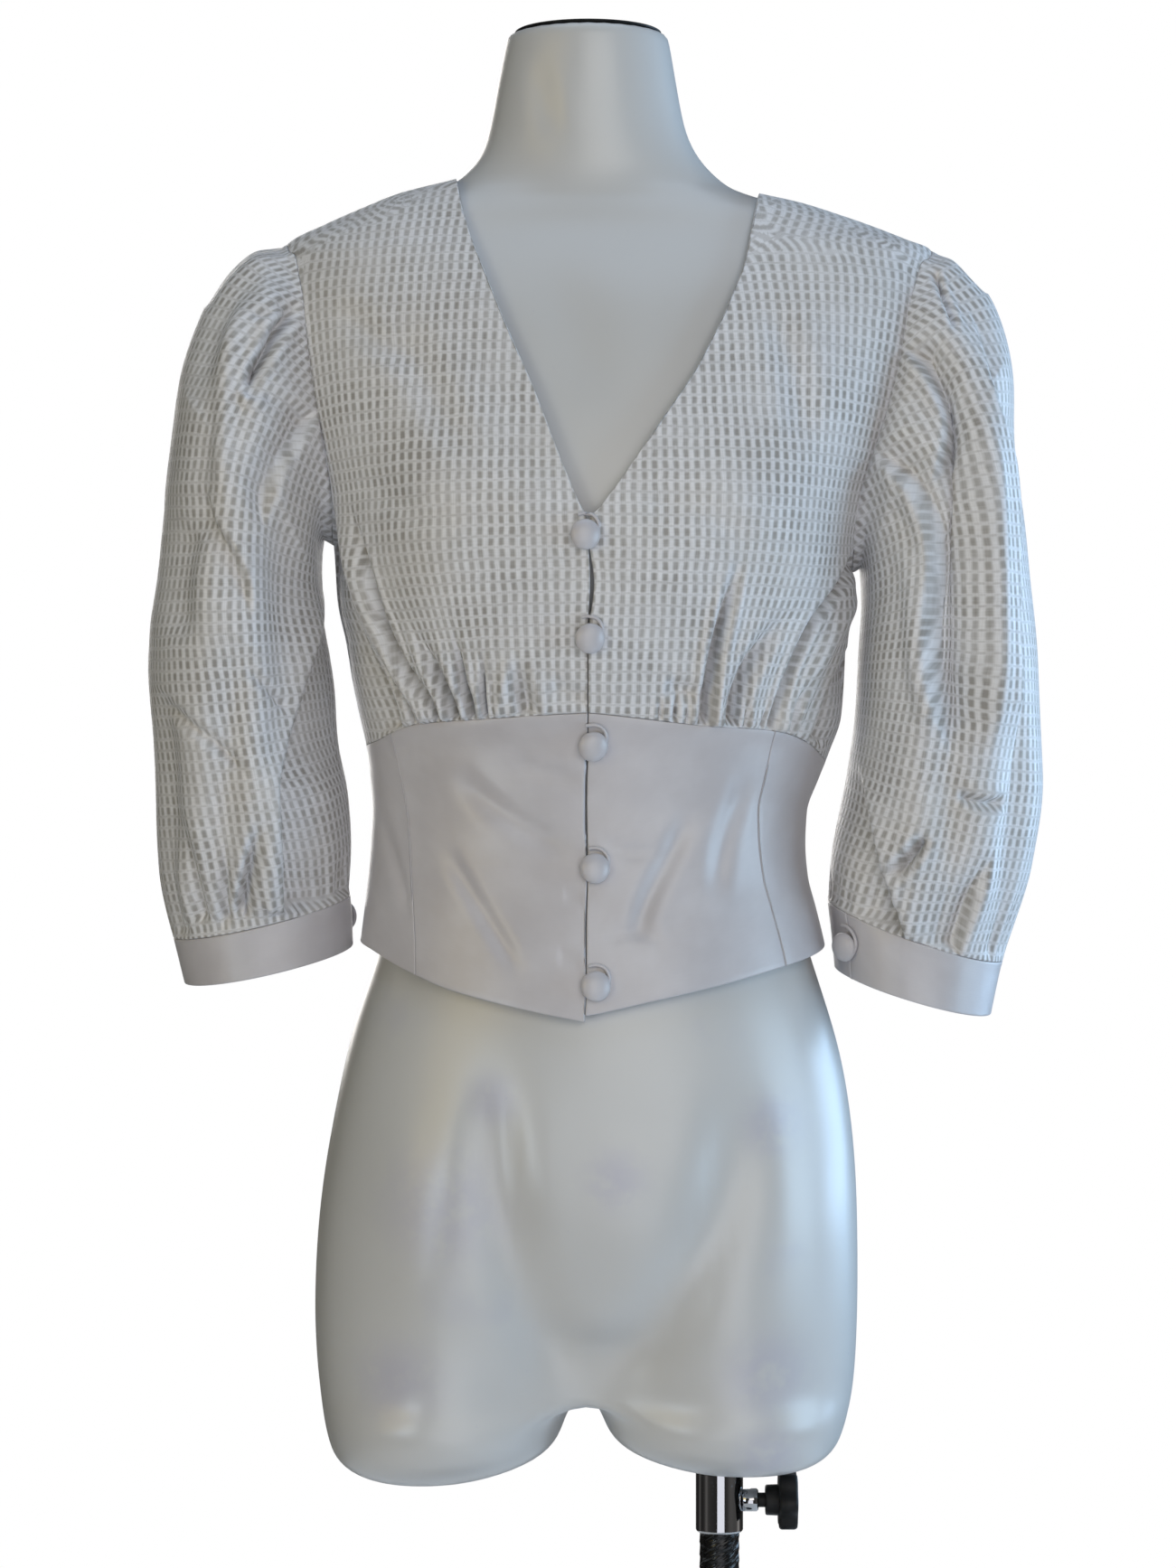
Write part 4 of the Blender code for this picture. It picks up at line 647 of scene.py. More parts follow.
@dataclass(frozen=True)
class Body:
    """A rounded surface given by level sections. Angle 0 is the viewer's right, 90 the front."""
    girth: Smooth
    bust: Bust

    def point(self, angle: Any, z: Any) -> np.ndarray:
        """Finds points of the surface.

        Args:
            angle: Angles in radians.
            z: Heights.

        Returns:
            The points.
        """
        left, right, front, back, power = self.girth(z)
        c, s = np.cos(angle), np.sin(angle)
        x = signed_power(c, 2 / power) * np.where(c >= 0, right, left)
        y = -signed_power(s, 2 / power) * np.where(s >= 0, front, back)
        from_side = np.degrees(np.arcsin(np.clip(s, -1, 1)))
        full = np.exp(-((from_side - self.bust.angle) / self.bust.angle_spread) ** 2
                      - ((z - self.bust.z) / self.bust.z_spread) ** 2)
        y = y - self.bust.fullness * full
        return np.stack([x, y, z + 0 * x], axis=-1)

    def angle_at_x(self, x: Any, z: Any, side: int) -> np.ndarray:
        """Finds the angle from the side seam at which the front stands x from the centre.

        Args:
            x: The distance to the right of the centre.
            z: The height.
            side: LEFT or RIGHT, the quarter that it belongs to.

        Returns:
            The angle.
        """
        left, right, _, _, power = self.girth(z)
        across = side * np.asarray(x)
        reach = np.where((across >= 0) == (side == RIGHT), right, left)
        return np.arccos(np.clip(signed_power(across / reach, power / 2), -1, 1))

    def angle_at_depth(self, depth: Any, z: Any, face: int) -> np.ndarray:
        """Finds the angle from the side seam at which the surface stands a depth in front or behind.

        Args:
            depth: The distance from the side seam's plane.
            z: The height.
            face: FRONT or BACK.

        Returns:
            The angle.
        """
        _, _, front, back, power = self.girth(z)
        reach = front if face == FRONT else back
        return np.arcsin(np.clip((np.asarray(depth) / reach) ** (power / 2), 0, 1))


TORSO = Body(Smooth(BLOUSE), BLOUSE_BUST)


def true_angle(side: int, face: Any, angle: Any) -> Any:
    """Turns an angle from the side seam into the surface's own angle."""
    around = angle if side == RIGHT else math.pi - angle
    return around * face


@dataclass
class Quarter:
    """A quarter of the bodice, from a side seam to the centre, as a lattice on the torso."""
    side: int
    face: int
    columns: np.ndarray = field(default_factory=lambda: np.linspace(0, 1, QUARTER_COLUMNS + 1))

    def __post_init__(self) -> None:
        """Reads the seams at the foot."""
        self.seam = Smooth(MIDRIFF_SEAM[self.side, self.face])
        self.hem = Smooth(HEM[self.side, self.face])

    def surface(self, angle: Any, z: Any) -> np.ndarray:
        """Finds points of the torso at angles from this quarter's side seam."""
        return TORSO.point(true_angle(self.side, self.face, np.asarray(angle)), np.asarray(z))

    def route(self, corners: Sequence[tuple[float, float]], shares: np.ndarray) -> np.ndarray:
        """Spreads points of angle and height evenly along the cloth."""
        curve = spline(corners)
        return even(curve, self.surface(curve[:, 0], curve[:, 1]), shares)

    def edge_angle(self, z: Any) -> Any:
        """Finds the angle of the centre edge.

        Args:
            z: The height.

        Returns:
            The angle from the side seam.
        """
        if self.face == BACK:
            return math.pi / 2 + 0 * np.asarray(z)
        left, right = Smooth(FRONT_EDGES)(z)
        return TORSO.angle_at_x(left if self.side == LEFT else right, z, self.side)

    def outer(self) -> np.ndarray:
        """Follows the side seam up and the armhole round to the shoulder.

        Returns:
            Angles and heights, one for each row.
        """
        low, high = UNDERARM_Z[self.side], SHOULDER_END_Z[self.side]
        seam_z = float(self.seam(0.0)[0])
        down = self.route([(0, seam_z), (0, low)], np.linspace(0, 1, SIDE_ROWS + 1))
        wider = 1.0 if self.face == FRONT else BACK_ARMHOLE_WIDER
        corners = [(0.0, low)]
        for p in ARMHOLE:
            z = low + (high - low) * p.height
            corners.append((float(TORSO.angle_at_depth(p.depth * wider, z, self.face)), z))
        corners.append((0.0, high))
        return np.vstack([down[:-1], self.route(corners, np.linspace(0, 1, ARMHOLE_ROWS + 1))])

    def inner(self) -> np.ndarray:
        """Follows the centre up and the neckline to the shoulder.

        Returns:
            Angles and heights, one for each row.
        """
        seam_z, neck_z = float(self.seam(90.0)[0]), NECK_POINT_Z[self.side]
        if self.face == FRONT:
            corner, corner_row = V_POINT_Z, SIDE_ROWS
            corners = [(float(self.edge_angle(corner)), corner)]
            for p in NECKLINE[self.side]:
                corners.append((float(TORSO.angle_at_x(p.x, p.z, self.side)), p.z))
            corners.append((0.0, neck_z))
        else:
            corner, corner_row = BACK_NECK_Z, BACK_NECK_ROW
            corners = [(math.radians(p.angle), neck_z + (corner - neck_z) * p.share) for p in BACK_NECKLINE]
        z = np.linspace(seam_z, corner, corner_row + 1)
        edge = np.stack([self.edge_angle(z), z], axis=-1)
        rows = SIDE_ROWS + ARMHOLE_ROWS - corner_row
        shares = np.linspace(0, 1, rows + 1)
        line = self.route(corners, np.linspace(0, 1, 4 * rows + 1) if self.face == FRONT else shares)
        if self.face == FRONT:
            ends = self.surface(line[:, 0], line[:, 1])[[0, -1], 0]
            known = [(corner, ends[0])] + [(p.z, p.x) for p in NECKLINE[self.side]] + [(neck_z, ends[1])]
            x = np.interp(line[:, 1], [z_known for z_known, _ in known], [x_known for _, x_known in known])
            for _ in range(EASING_ROUNDS):
                x[1:-1] = (x[:-2] + 2 * x[1:-1] + x[2:]) / 4
            line[1:-1, 0] = TORSO.angle_at_x(x[1:-1], line[1:-1, 1], self.side)
            line = even(line, self.surface(line[:, 0], line[:, 1]), shares)
        return np.vstack([edge[:-1], line])

    def bottom(self, columns: np.ndarray) -> np.ndarray:
        """Follows the midriff seam from the side to the centre.

        Args:
            columns: The shares of its length.

        Returns:
            Angles and heights.
        """
        angle = np.linspace(0, float(self.edge_angle(self.seam(90.0)[0])), 160)
        curve = np.stack([angle, self.seam(np.degrees(np.minimum(angle, math.pi / 2)))[0]], axis=-1)
        return even(curve, self.surface(curve[:, 0], curve[:, 1]), columns)

    def top(self) -> np.ndarray:
        """Follows the shoulder seam from the armhole to the neck."""
        z = np.linspace(SHOULDER_END_Z[self.side], NECK_POINT_Z[self.side], 160)
        curve = np.stack([0 * z, z], axis=-1)
        return even(curve, self.surface(curve[:, 0], curve[:, 1]), self.columns)

    def lattice(self) -> np.ndarray:
        """Fills the quarter with points, rows from the midriff seam up, columns from the side.

        Returns:
            The points.
        """
        outer, inner, bottom, top = self.outer(), self.inner(), self.bottom(self.columns), self.top()
        rows = np.linspace(0, 1, len(outer))[:, None, None]
        u = self.columns[None, :, None]
        flat = ((1 - rows) * bottom[None] + rows * top[None]
                + (1 - u) * outer[:, None] + u * inner[:, None]
                - (1 - rows) * (1 - u) * bottom[0] - (1 - rows) * u * bottom[-1]
                - rows * (1 - u) * top[0] - rows * u * top[-1])
        return self.surface(flat[..., 0], flat[..., 1])

    def band(self, columns: np.ndarray) -> np.ndarray:
        """Fills the midriff band below this quarter.

        Args:
            columns: The shares of the seam that the piece takes.

        Returns:
            Points, rows from the hem up.
        """
        top = self.bottom(columns)
        lean = np.zeros(len(columns))
        if self.face == FRONT:
            knee = PRINCESS_PLACE[self.side]
            edge = float(self.edge_angle(BAND_FOOT_Z) - self.bottom(np.array([1.0]))[-1, 0])
            lean = np.interp(columns, [0, knee, 1], [0, PRINCESS_LEAN[self.side], edge])
        low_angle = top[:, 0] + lean
        low_z = self.hem(np.degrees(np.minimum(low_angle, math.pi / 2)))[0]
        share = np.linspace(1, 0, BAND_ROWS + 1)[:, None]
        z = top[None, :, 1] * (1 - share) + low_z[None, :] * share
        angle = top[None, :, 0] * (1 - share) + low_angle[None, :] * share
        if self.face == FRONT and columns[-1] == 1:
            angle[:, -1] = self.edge_angle(z[:, -1])
        return self.surface(angle, z)


@dataclass
class Limb:
    """A sleeve and its cuff: rings carried from the armhole down to the wrist edge."""
    side: int

    def __post_init__(self) -> None:
        """Finds the armhole that the sleeve is sewn into."""
        front = Quarter(self.side, FRONT).outer()[SIDE_ROWS:]
        back = Quarter(self.side, BACK).outer()[SIDE_ROWS:]
        flat = np.vstack([front[::-1], back[1:-1]])
        face = np.array([FRONT] * len(front) + [BACK] * (len(back) - 2))
        armhole = TORSO.point(true_angle(self.side, face, flat[:, 0]), flat[:, 1])
        self.armhole = np.roll(armhole, len(armhole) // 2, axis=0)
        self.rails = Smooth(SLEEVE[self.side])
        self.turns = np.linspace(-math.pi, math.pi, len(self.armhole), endpoint=False)

    def ring(self, row: Any, turns: np.ndarray) -> np.ndarray:
        """Draws a ring through its outer, front, inner and back points.

        Args:
            row: The ring's sizes.
            turns: The angles round it, from its outer point to the front.

        Returns:
            The ring's points.
        """
        outer_x, outer_z, inner_x, inner_z, front, back, drop = row
        c, s = np.cos(turns), np.sin(turns)
        x = (outer_x + inner_x) / 2 + c * (outer_x - inner_x) / 2
        y = -s * np.where(s >= 0, front, back)
        z = (outer_z + inner_z) / 2 + c * (outer_z - inner_z) / 2 - s * drop
        return np.stack([x, y, z], axis=-1)

    def centres(self, shares: np.ndarray) -> np.ndarray:
        """Finds the middles of the rings at shares of the sleeve's length."""
        rows = self.rails(shares)
        return np.stack([(rows[0] + rows[2]) / 2, 0 * shares, (rows[1] + rows[3]) / 2], axis=-1)

    def sleeve(self, shares: np.ndarray) -> np.ndarray:
        """Carries rings from the armhole to the cuff seam.

        Args:
            shares: The shares of the sleeve's length.

        Returns:
            The rings.
        """
        start = self.ring(self.rails(0.0), self.turns)
        rings = [self.ring(self.rails(share), self.turns)
                 + fade(share / ARMHOLE_FADE) * (self.armhole - start)
                 for share in shares]
        return np.array(rings)

    def back_folds(self, shares: np.ndarray) -> np.ndarray:
        """Works out how deep the folds lie on the side that the viewer doesn't see.

        Args:
            shares: The shares of the sleeve's length.

        Returns:
            Depths, a row for each ring.
        """
        depth = np.zeros((len(shares), len(self.turns)))
        degrees = np.degrees(self.turns)
        for f in SLEEVE_FOLDS[self.side]:
            along = (shares - f.start) / (f.end - f.start)
            middle = f.turn_start + (f.turn_end - f.turn_start) * np.clip(along, 0, 1)
            strength = np.sin(math.pi * np.clip(along, 0, 1)) ** 0.6
            off = (degrees[None, :] - middle[:, None] + 180) % 360 - 180
            depth += f.depth * strength[:, None] * np.exp(-((off / f.width) ** 2))
        return depth

    def cuff_gathers(self, shares: np.ndarray) -> np.ndarray:
        """Works out the small gathers where the sleeve is drawn into its cuff.

        Args:
            shares: The shares of the sleeve's length.

        Returns:
            Depths, a row for each ring.
        """
        draw = np.random.default_rng(40 + self.side)
        height = (1 - shares) * 0.42
        depth = np.zeros((len(shares), len(self.turns)))
        degrees = np.degrees(self.turns)
        count = 27
        for number in range(count):
            middle = 360 * (number + draw.uniform(-0.3, 0.3)) / count
            reach = draw.uniform(0.020, 0.048)
            off = (degrees - middle + 180) % 360 - 180
            across = np.exp(-((off / draw.uniform(3.0, 4.6)) ** 2))
            rise = np.clip(height / 0.004, 0, 1) * fade(height / reach)
            depth += draw.uniform(0.0012, 0.0030) * rise[:, None] * across[None, :]
        return depth

    def wrist(self, turns: Any, share: Any) -> np.ndarray:
        """Finds the cuff's surface: share 0 at the sleeve, 1 at its free edge."""
        top = self.ring(self.rails(1.0), turns)
        return top * (1 - share) + self.ring(np.array(CUFF_EDGE[self.side][1:]), turns) * share

    def cuff(self) -> np.ndarray:
        """Makes the cuff as a strip whose two ends meet at its button.

        Returns:
            Points, rows from the free edge up.
        """
        start = 2 * math.pi * CUFF_OPENING[self.side] / SOLID_TURNS
        opening = SEAM_GAP / abs(self.rails(1.0)[4])
        turns = np.linspace(start, start + 2 * math.pi - opening, CUFF_COLUMNS + 1)
        return np.array([self.wrist(turns, share) for share in np.linspace(1, 0, CUFF_ROWS + 1)])


class Edge(NamedTuple):
    """A border of a stretch of cloth, how it ends there, and the part of the border that it takes."""
    border: Border
    end: End
    start: int = 0
    stop: int | None = None
    free: float = 0.007         # how far from a seam the cloth is free to fold


@dataclass
class Stretch:
    """A stretch of cloth: a lattice on the middle of the cloth, and the flat cut that it came from."""
    points: np.ndarray
    cut: np.ndarray
    edges: tuple[Edge, ...]
    centres: np.ndarray
    closed: bool = False

    def normals(self) -> np.ndarray:
        """Works out the normals."""
        return outward(self.points, self.centres, self.closed)

    def mask(self) -> np.ndarray:
        """Works out how free the cloth is to move: 0 along its seams, and 1 away from them."""
        free = np.ones(self.points.shape[:2])
        for edge in self.edges:
            if edge.end is not End.SEAM:
                continue
            run = run_along(self.points, 0 if edge.border in (Border.BOTTOM, Border.TOP) else 1)
            if edge.border in (Border.TOP, Border.INNER):
                run = np.take(run, [-1], axis=0 if edge.border is Border.TOP else 1) - run
            free *= 1 - fade(run / edge.free)
        return free

    def line(self, values: np.ndarray, edge: Edge, depth: int) -> np.ndarray:
        """Takes the line of a lattice that lies a number of lines in from a border.

        Args:
            values: The lattice.
            edge: The border.
            depth: How many lines in.

        Returns:
            The line.
        """
        lines = {Border.BOTTOM: lambda: values[depth], Border.TOP: lambda: values[-1 - depth],
                 Border.OUTER: lambda: values[:, depth], Border.INNER: lambda: values[:, -1 - depth]}
        return lines[edge.border]()[edge.start:edge.stop]


class Cloth:
    """A piece of cloth as one skin, with its edges rolled under."""
    ROLL_SEAM = (45, 90)
    ROLL_TURNED = (45, 90, 135, 180)
    UNDER_LINES = (2, 5, 8)
    DIVE = 0.0016

    def __init__(self, name: str) -> None:
        """Starts an empty piece.

        Args:
            name: The piece's name.
        """
        self.name = name
        self.points: list[np.ndarray] = []
        self.faces: list[np.ndarray] = []
        self.cuts: list[np.ndarray] = []
        self.count = 0
        self.area = 0.0

    def place(self, points: np.ndarray) -> np.ndarray:
        """Adds points.

        Args:
            points: The points, in any arrangement.

        Returns:
            Their numbers, in the same arrangement.
        """
        shape = points.shape[:-1]
        size = int(np.prod(shape))
        self.points.append(points.reshape(size, 3))
        self.count += size
        return np.arange(self.count - size, self.count).reshape(shape)

    def fill(self, index: np.ndarray, cut: np.ndarray, flip: bool) -> None:
        """Adds the faces between the lines of a lattice of points.

        Args:
            index: The points' numbers.
            cut: The flat cut at each of them.
            flip: Whether the faces are turned over.
        """
        corners = [(slice(None, -1), slice(None, -1)), (slice(None, -1), slice(1, None)),
                   (slice(1, None), slice(1, None)), (slice(1, None), slice(None, -1))]
        if flip:
            corners.reverse()
        self.faces.append(np.stack([index[c] for c in corners], axis=-1).reshape(-1, 4))
        self.cuts.append(np.stack([cut[c] for c in corners], axis=-2).reshape(-1, 4, 2))

    def add(self, stretch: Stretch) -> np.ndarray:
        """Adds a stretch of cloth and its rolled edges.

        Args:
            stretch: The stretch.

        Returns:
            The numbers of its points.
        """
        half = CLOTH / 2
        normals = stretch.normals()
        skin = stretch.points + normals * half
        middles = {}
        for edge in stretch.edges:
            middle, out = self.roll_middle(stretch, edge, normals, half)
            middles[edge] = middle, out
        for edge, (middle, out) in middles.items():
            target = middle + stretch.line(normals, edge, 0) * half
            stretch.line(skin, edge, 0)[...] = target
        index = self.place(skin)
        closed = (lambda a: np.concatenate([a, a[:, :1]], axis=1)) if stretch.closed else (lambda a: a)
        face = np.cross(skin[1, 1] - skin[0, 0], skin[1, 0] - skin[0, 1])
        flip = float(np.dot(face, normals[0, 0])) < 0
        self.fill(closed(index), stretch.cut, flip)
        self.area += self.measure(closed(stretch.points))
        for edge, (middle, out) in middles.items():
            self.roll(stretch, edge, normals, middle, out, index, flip)
        return index

    @staticmethod
    def measure(points: np.ndarray) -> float:
        """Measures a lattice's area."""
        a, b = points[1:, 1:] - points[:-1, :-1], points[1:, :-1] - points[:-1, 1:]
        return float(np.linalg.norm(np.cross(a, b), axis=-1).sum() / 2)

    @staticmethod
    def roll_middle(stretch: Stretch, edge: Edge, normals: np.ndarray,
                    half: float) -> tuple[np.ndarray, np.ndarray]:
        """Finds the middle of the roll along an edge and the way that leads out of the cloth.

        Args:
            stretch: The stretch of cloth.
            edge: The edge.
            normals: The stretch's normals.
            half: The roll's radius.

        Returns:
            The middles and the outward ways.
        """
        rim, normal = stretch.line(stretch.points, edge, 0), stretch.line(normals, edge, 0)
        out = rim - stretch.line(stretch.points, edge, 1)
        out = out - normal * np.sum(out * normal, axis=-1, keepdims=True)
        out = out / (np.linalg.norm(out, axis=-1, keepdims=True) + 1e-12)
        pulled = half + (SEAM_GAP / 2 if edge.end is End.SEAM else 0)
        return rim - out * pulled, out

    def roll(self, stretch: Stretch, edge: Edge, normals: np.ndarray, middle: np.ndarray, out: np.ndarray,
             index: np.ndarray, flip: bool) -> None:
        """Rolls the cloth under along an edge.

        Args:
            stretch: The stretch of cloth.
            edge: The edge.
            normals: The stretch's normals.
            middle: The roll's middles.
            out: The ways out of the cloth.
            index: The numbers of the stretch's points.
            flip: Whether the stretch's faces are turned over.
        """
        half = CLOTH / 2
        normal = stretch.line(normals, edge, 0)
        turned = edge.end is End.TURNED
        lines = [middle + half * (math.cos(a) * normal + math.sin(a) * out)
                 for a in np.radians(self.ROLL_TURNED if turned else self.ROLL_SEAM)]
        if turned:
            for depth in self.UNDER_LINES:
                under = stretch.line(stretch.points, edge, depth) - stretch.line(normals, edge, depth) * half
                lines.append(under)
        else:
            lines.append(middle + out * half - normal * self.DIVE)
        first_cut, next_cut = stretch.line(stretch.cut, edge, 0), stretch.line(stretch.cut, edge, 1)
        ahead = first_cut - next_cut
        ahead = ahead / (np.linalg.norm(ahead, axis=-1, keepdims=True) + 1e-12)
        run = np.cumsum([half * 0.8] * len(lines))
        cuts = np.array([first_cut] + [first_cut + ahead * r for r in run])
        rows = [stretch.line(index, edge, 0)] + [self.place(line) for line in lines]
        strip = np.array(rows)
        if stretch.closed and edge.border in (Border.BOTTOM, Border.TOP):
            strip = np.concatenate([strip, strip[:, :1]], axis=1)
            if cuts.shape[1] < strip.shape[1]:
                cuts = np.concatenate([cuts, cuts[:, -1:]], axis=1)
        same = edge.border in (Border.TOP, Border.OUTER)
        self.fill(strip, cuts[:, :strip.shape[1]], flip if same else not flip)

    def build(self, weld: float = 0.0) -> bpy.types.Object:
        """Makes the piece's object.

        Args:
            weld: Points nearer than this become one, or 0 for none.

        Returns:
            The object.
        """
        points = np.concatenate(self.points) + np.array([CENTRE_X, 0.0, 0.0])
        faces = np.concatenate(self.faces)
        mesh = bpy.data.meshes.new(self.name)
        mesh.from_pydata(points.tolist(), [], faces.tolist())
        layer = mesh.uv_layers.new(name="cut")
        layer.data.foreach_set("uv", np.concatenate(self.cuts).astype(np.float32).ravel())
        if weld:
            shape = bmesh.new()
            shape.from_mesh(mesh)
            near = [v for v in shape.verts if abs(v.co.x - CENTRE_X) < weld]
            bmesh.ops.remove_doubles(shape, verts=near, dist=weld)
            shape.to_mesh(mesh)
            shape.free()
        mesh.shade_smooth()
        made = new_object(self.name, mesh)
        return made


def flatten(points: np.ndarray, start: np.ndarray, grain: np.ndarray, rounds: int = 700) -> np.ndarray:
    """Lays a lattice flat with its lengths kept, as the cutter would have laid the cloth.

    Args:
        points: The lattice.
        start: A first guess at the flat points.
        grain: The points that lie on the straight grain, at 0 across.
        rounds: How long each of the three passes lets it settle.

    Returns:
        The flat points.
    """
    flat = start
    for step in (8, 4, 2):
        rows = np.unique(np.append(np.arange(0, points.shape[0], step), points.shape[0] - 1))
        columns = np.unique(np.append(np.arange(0, points.shape[1], step), points.shape[1] - 1))
        pick = np.ix_(rows, columns)
        flat = enlarge(settle(points[pick], flat[pick], grain[pick], rounds), rows, columns, points.shape)
    return flat


def enlarge(flat: np.ndarray, rows: np.ndarray, columns: np.ndarray, shape: tuple[int, ...]) -> np.ndarray:
    """Reads a coarse lattice at every line of the fine one.

    Args:
        flat: The coarse lattice.
        rows: The fine rows that it has.
        columns: The fine columns that it has.
        shape: The fine lattice's shape.

    Returns:
        The fine lattice.
    """
    tall = np.array([[np.interp(np.arange(shape[0]), rows, flat[:, c, k]) for c in range(len(columns))]
                     for k in range(2)])
    return np.array([[np.interp(np.arange(shape[1]), columns, tall[k, :, r]) for k in range(2)]
                     for r in range(shape[0])]).transpose(0, 2, 1)


def settle(points: np.ndarray, spot: np.ndarray, grain: np.ndarray, rounds: int) -> np.ndarray:
    """Moves flat points until their distances match those on the body.

    Args:
        points: The lattice on the body.
        spot: The flat points to start from.
        grain: The points that stay at 0 across.
        rounds: How many times they move.

    Returns:
        The flat points.
    """
    spot = spot.copy()
    whole = slice(None)
    pairs = [((slice(None, -1), whole), (slice(1, None), whole)),
             ((whole, slice(None, -1)), (whole, slice(1, None))),
             ((slice(None, -1), slice(None, -1)), (slice(1, None), slice(1, None))),
             ((slice(None, -1), slice(1, None)), (slice(1, None), slice(None, -1)))]
    lengths = [np.linalg.norm(points[b] - points[a], axis=-1) for a, b in pairs]
    for _ in range(rounds):
        move, weight = np.zeros_like(spot), np.zeros(spot.shape[:2])
        for (a, b), length in zip(pairs, lengths):
            way = spot[b] - spot[a]
            now = np.linalg.norm(way, axis=-1) + 1e-12
            push = way * ((now - length) / now * 0.5)[..., None]
            move[a] += push
            move[b] -= push
            weight[a] += 1
            weight[b] += 1
        spot += move / weight[..., None]
        spot[grain, 0] = 0.0
    return spot


END_FADE = 1.6                  # how many widths a crease takes to fade past its ends
TROUGH, RIDGE, DROP_LEFT, DROP_RIGHT = Fold
SEWN = (0.6, 0.0)               # the ends of a gather, which fades out above and is deep at its seam
LEFT_SLEEVE_CREASES = rows(Crease,
    (TROUGH, ((-179, 1337), (-190, 1321), (-200, 1304), (-207, 1292), (-211, 1282)), 5.0, 13.0, (0.3, 0.2)),
    (RIDGE, ((-215, 1285), (-213, 1276), (-205, 1273), (-197, 1278)), 2.8, 4.0),
    (RIDGE, ((-209, 1348), (-220, 1321), (-224, 1296), (-227, 1260), (-228, 1226), (-222, 1201)), 7.3, 5.0),
    (DROP_LEFT, ((-165, 1268), (-178, 1246), (-186, 1234), (-193, 1218), (-197, 1192)), 2.8, 11.0,
     (0.1, 0.35), 19),
    (DROP_LEFT, ((-239, 1228), (-230, 1202), (-218, 1184), (-209, 1164), (-205, 1136)), 3.4, 7.0,
     (0.28, 0.28), 22),
    (DROP_RIGHT, ((-167, 1187), (-164, 1164), (-171, 1108), (-177, 1075), (-182, 1058), (-190, 1034),
     (-190, 1019), (-190, 991), (-190, 957)), 2.8, 15.0, (0.35, 0.0), 34),
    (TROUGH, ((-268, 1092), (-250, 1076), (-226, 1055), (-207, 1040)), 4.5, 4.0),
    (TROUGH, ((-214, 1110), (-190, 1092), (-174, 1079)), 4.5, 3.5),
    (TROUGH, ((-201, 1016), (-207, 994), (-214, 957)), 5.0, 11.0, SEWN),
    (RIDGE, ((-194, 1010), (-196, 985), (-197, 960)), 5.0, 5.0, SEWN),
    (TROUGH, ((-249, 1209), (-253, 1164), (-251, 1120)), 11.2, 6.0),
    (TROUGH, ((-258, 1030), (-249, 991), (-240, 952)), 6.2, 6.0, SEWN),
    (TROUGH, ((-227, 1002), (-226, 977), (-224, 952)), 3.9, 5.0, SEWN),
    (TROUGH, ((-184, 1338), (-196, 1330), (-210, 1327)), 3.4, 3.0))
RIGHT_SLEEVE_CREASES = rows(Crease,
    (DROP_RIGHT, ((196, 1307), (210, 1284), (217, 1265), (214, 1246), (204, 1224)), 2.2, 13.0, (0.1, 0.3),
     17),
    (DROP_RIGHT, ((176, 1243), (195, 1221), (202, 1205), (206, 1180), (205, 1142), (210, 1097),
     (224, 1047)), 2.8, 17.0, (0.1, 0.3), 25),
    (TROUGH, ((215, 1285), (225, 1243), (228, 1187), (232, 1131), (233, 1075), (230, 1041)), 17.9, 17.0),
    (RIDGE, ((238, 1293), (249, 1254), (253, 1209), (256, 1153), (253, 1086), (246, 1041)), 5.0, 6.0),
    (DROP_RIGHT, ((229, 1355), (244, 1319), (252, 1278), (261, 1246), (266, 1192), (266, 1129), (265, 1049),
     (261, 1008)), 2.2, 8.0, (0.28, 0.28), 12), (TROUGH, ((210, 1005), (197, 989), (187, 978)), 5.0, 14.0),
    (TROUGH, ((229, 1030), (252, 1024), (263, 1027)), 4.5, 10.0),
    (DROP_LEFT, ((258, 998), (246, 970), (229, 928)), 2.8, 12.0, SEWN, 16),
    (DROP_LEFT, ((166, 1059), (176, 1017), (185, 982), (201, 934)), 2.8, 17.0, SEWN, 17),
    (RIDGE, ((187, 1209), (197, 1160), (202, 1113), (214, 1065)), 6.7, 5.0),
    (TROUGH, ((213, 1357), (223, 1338), (230, 1318)), 3.4, 6.0, (0.1, 0.3)))
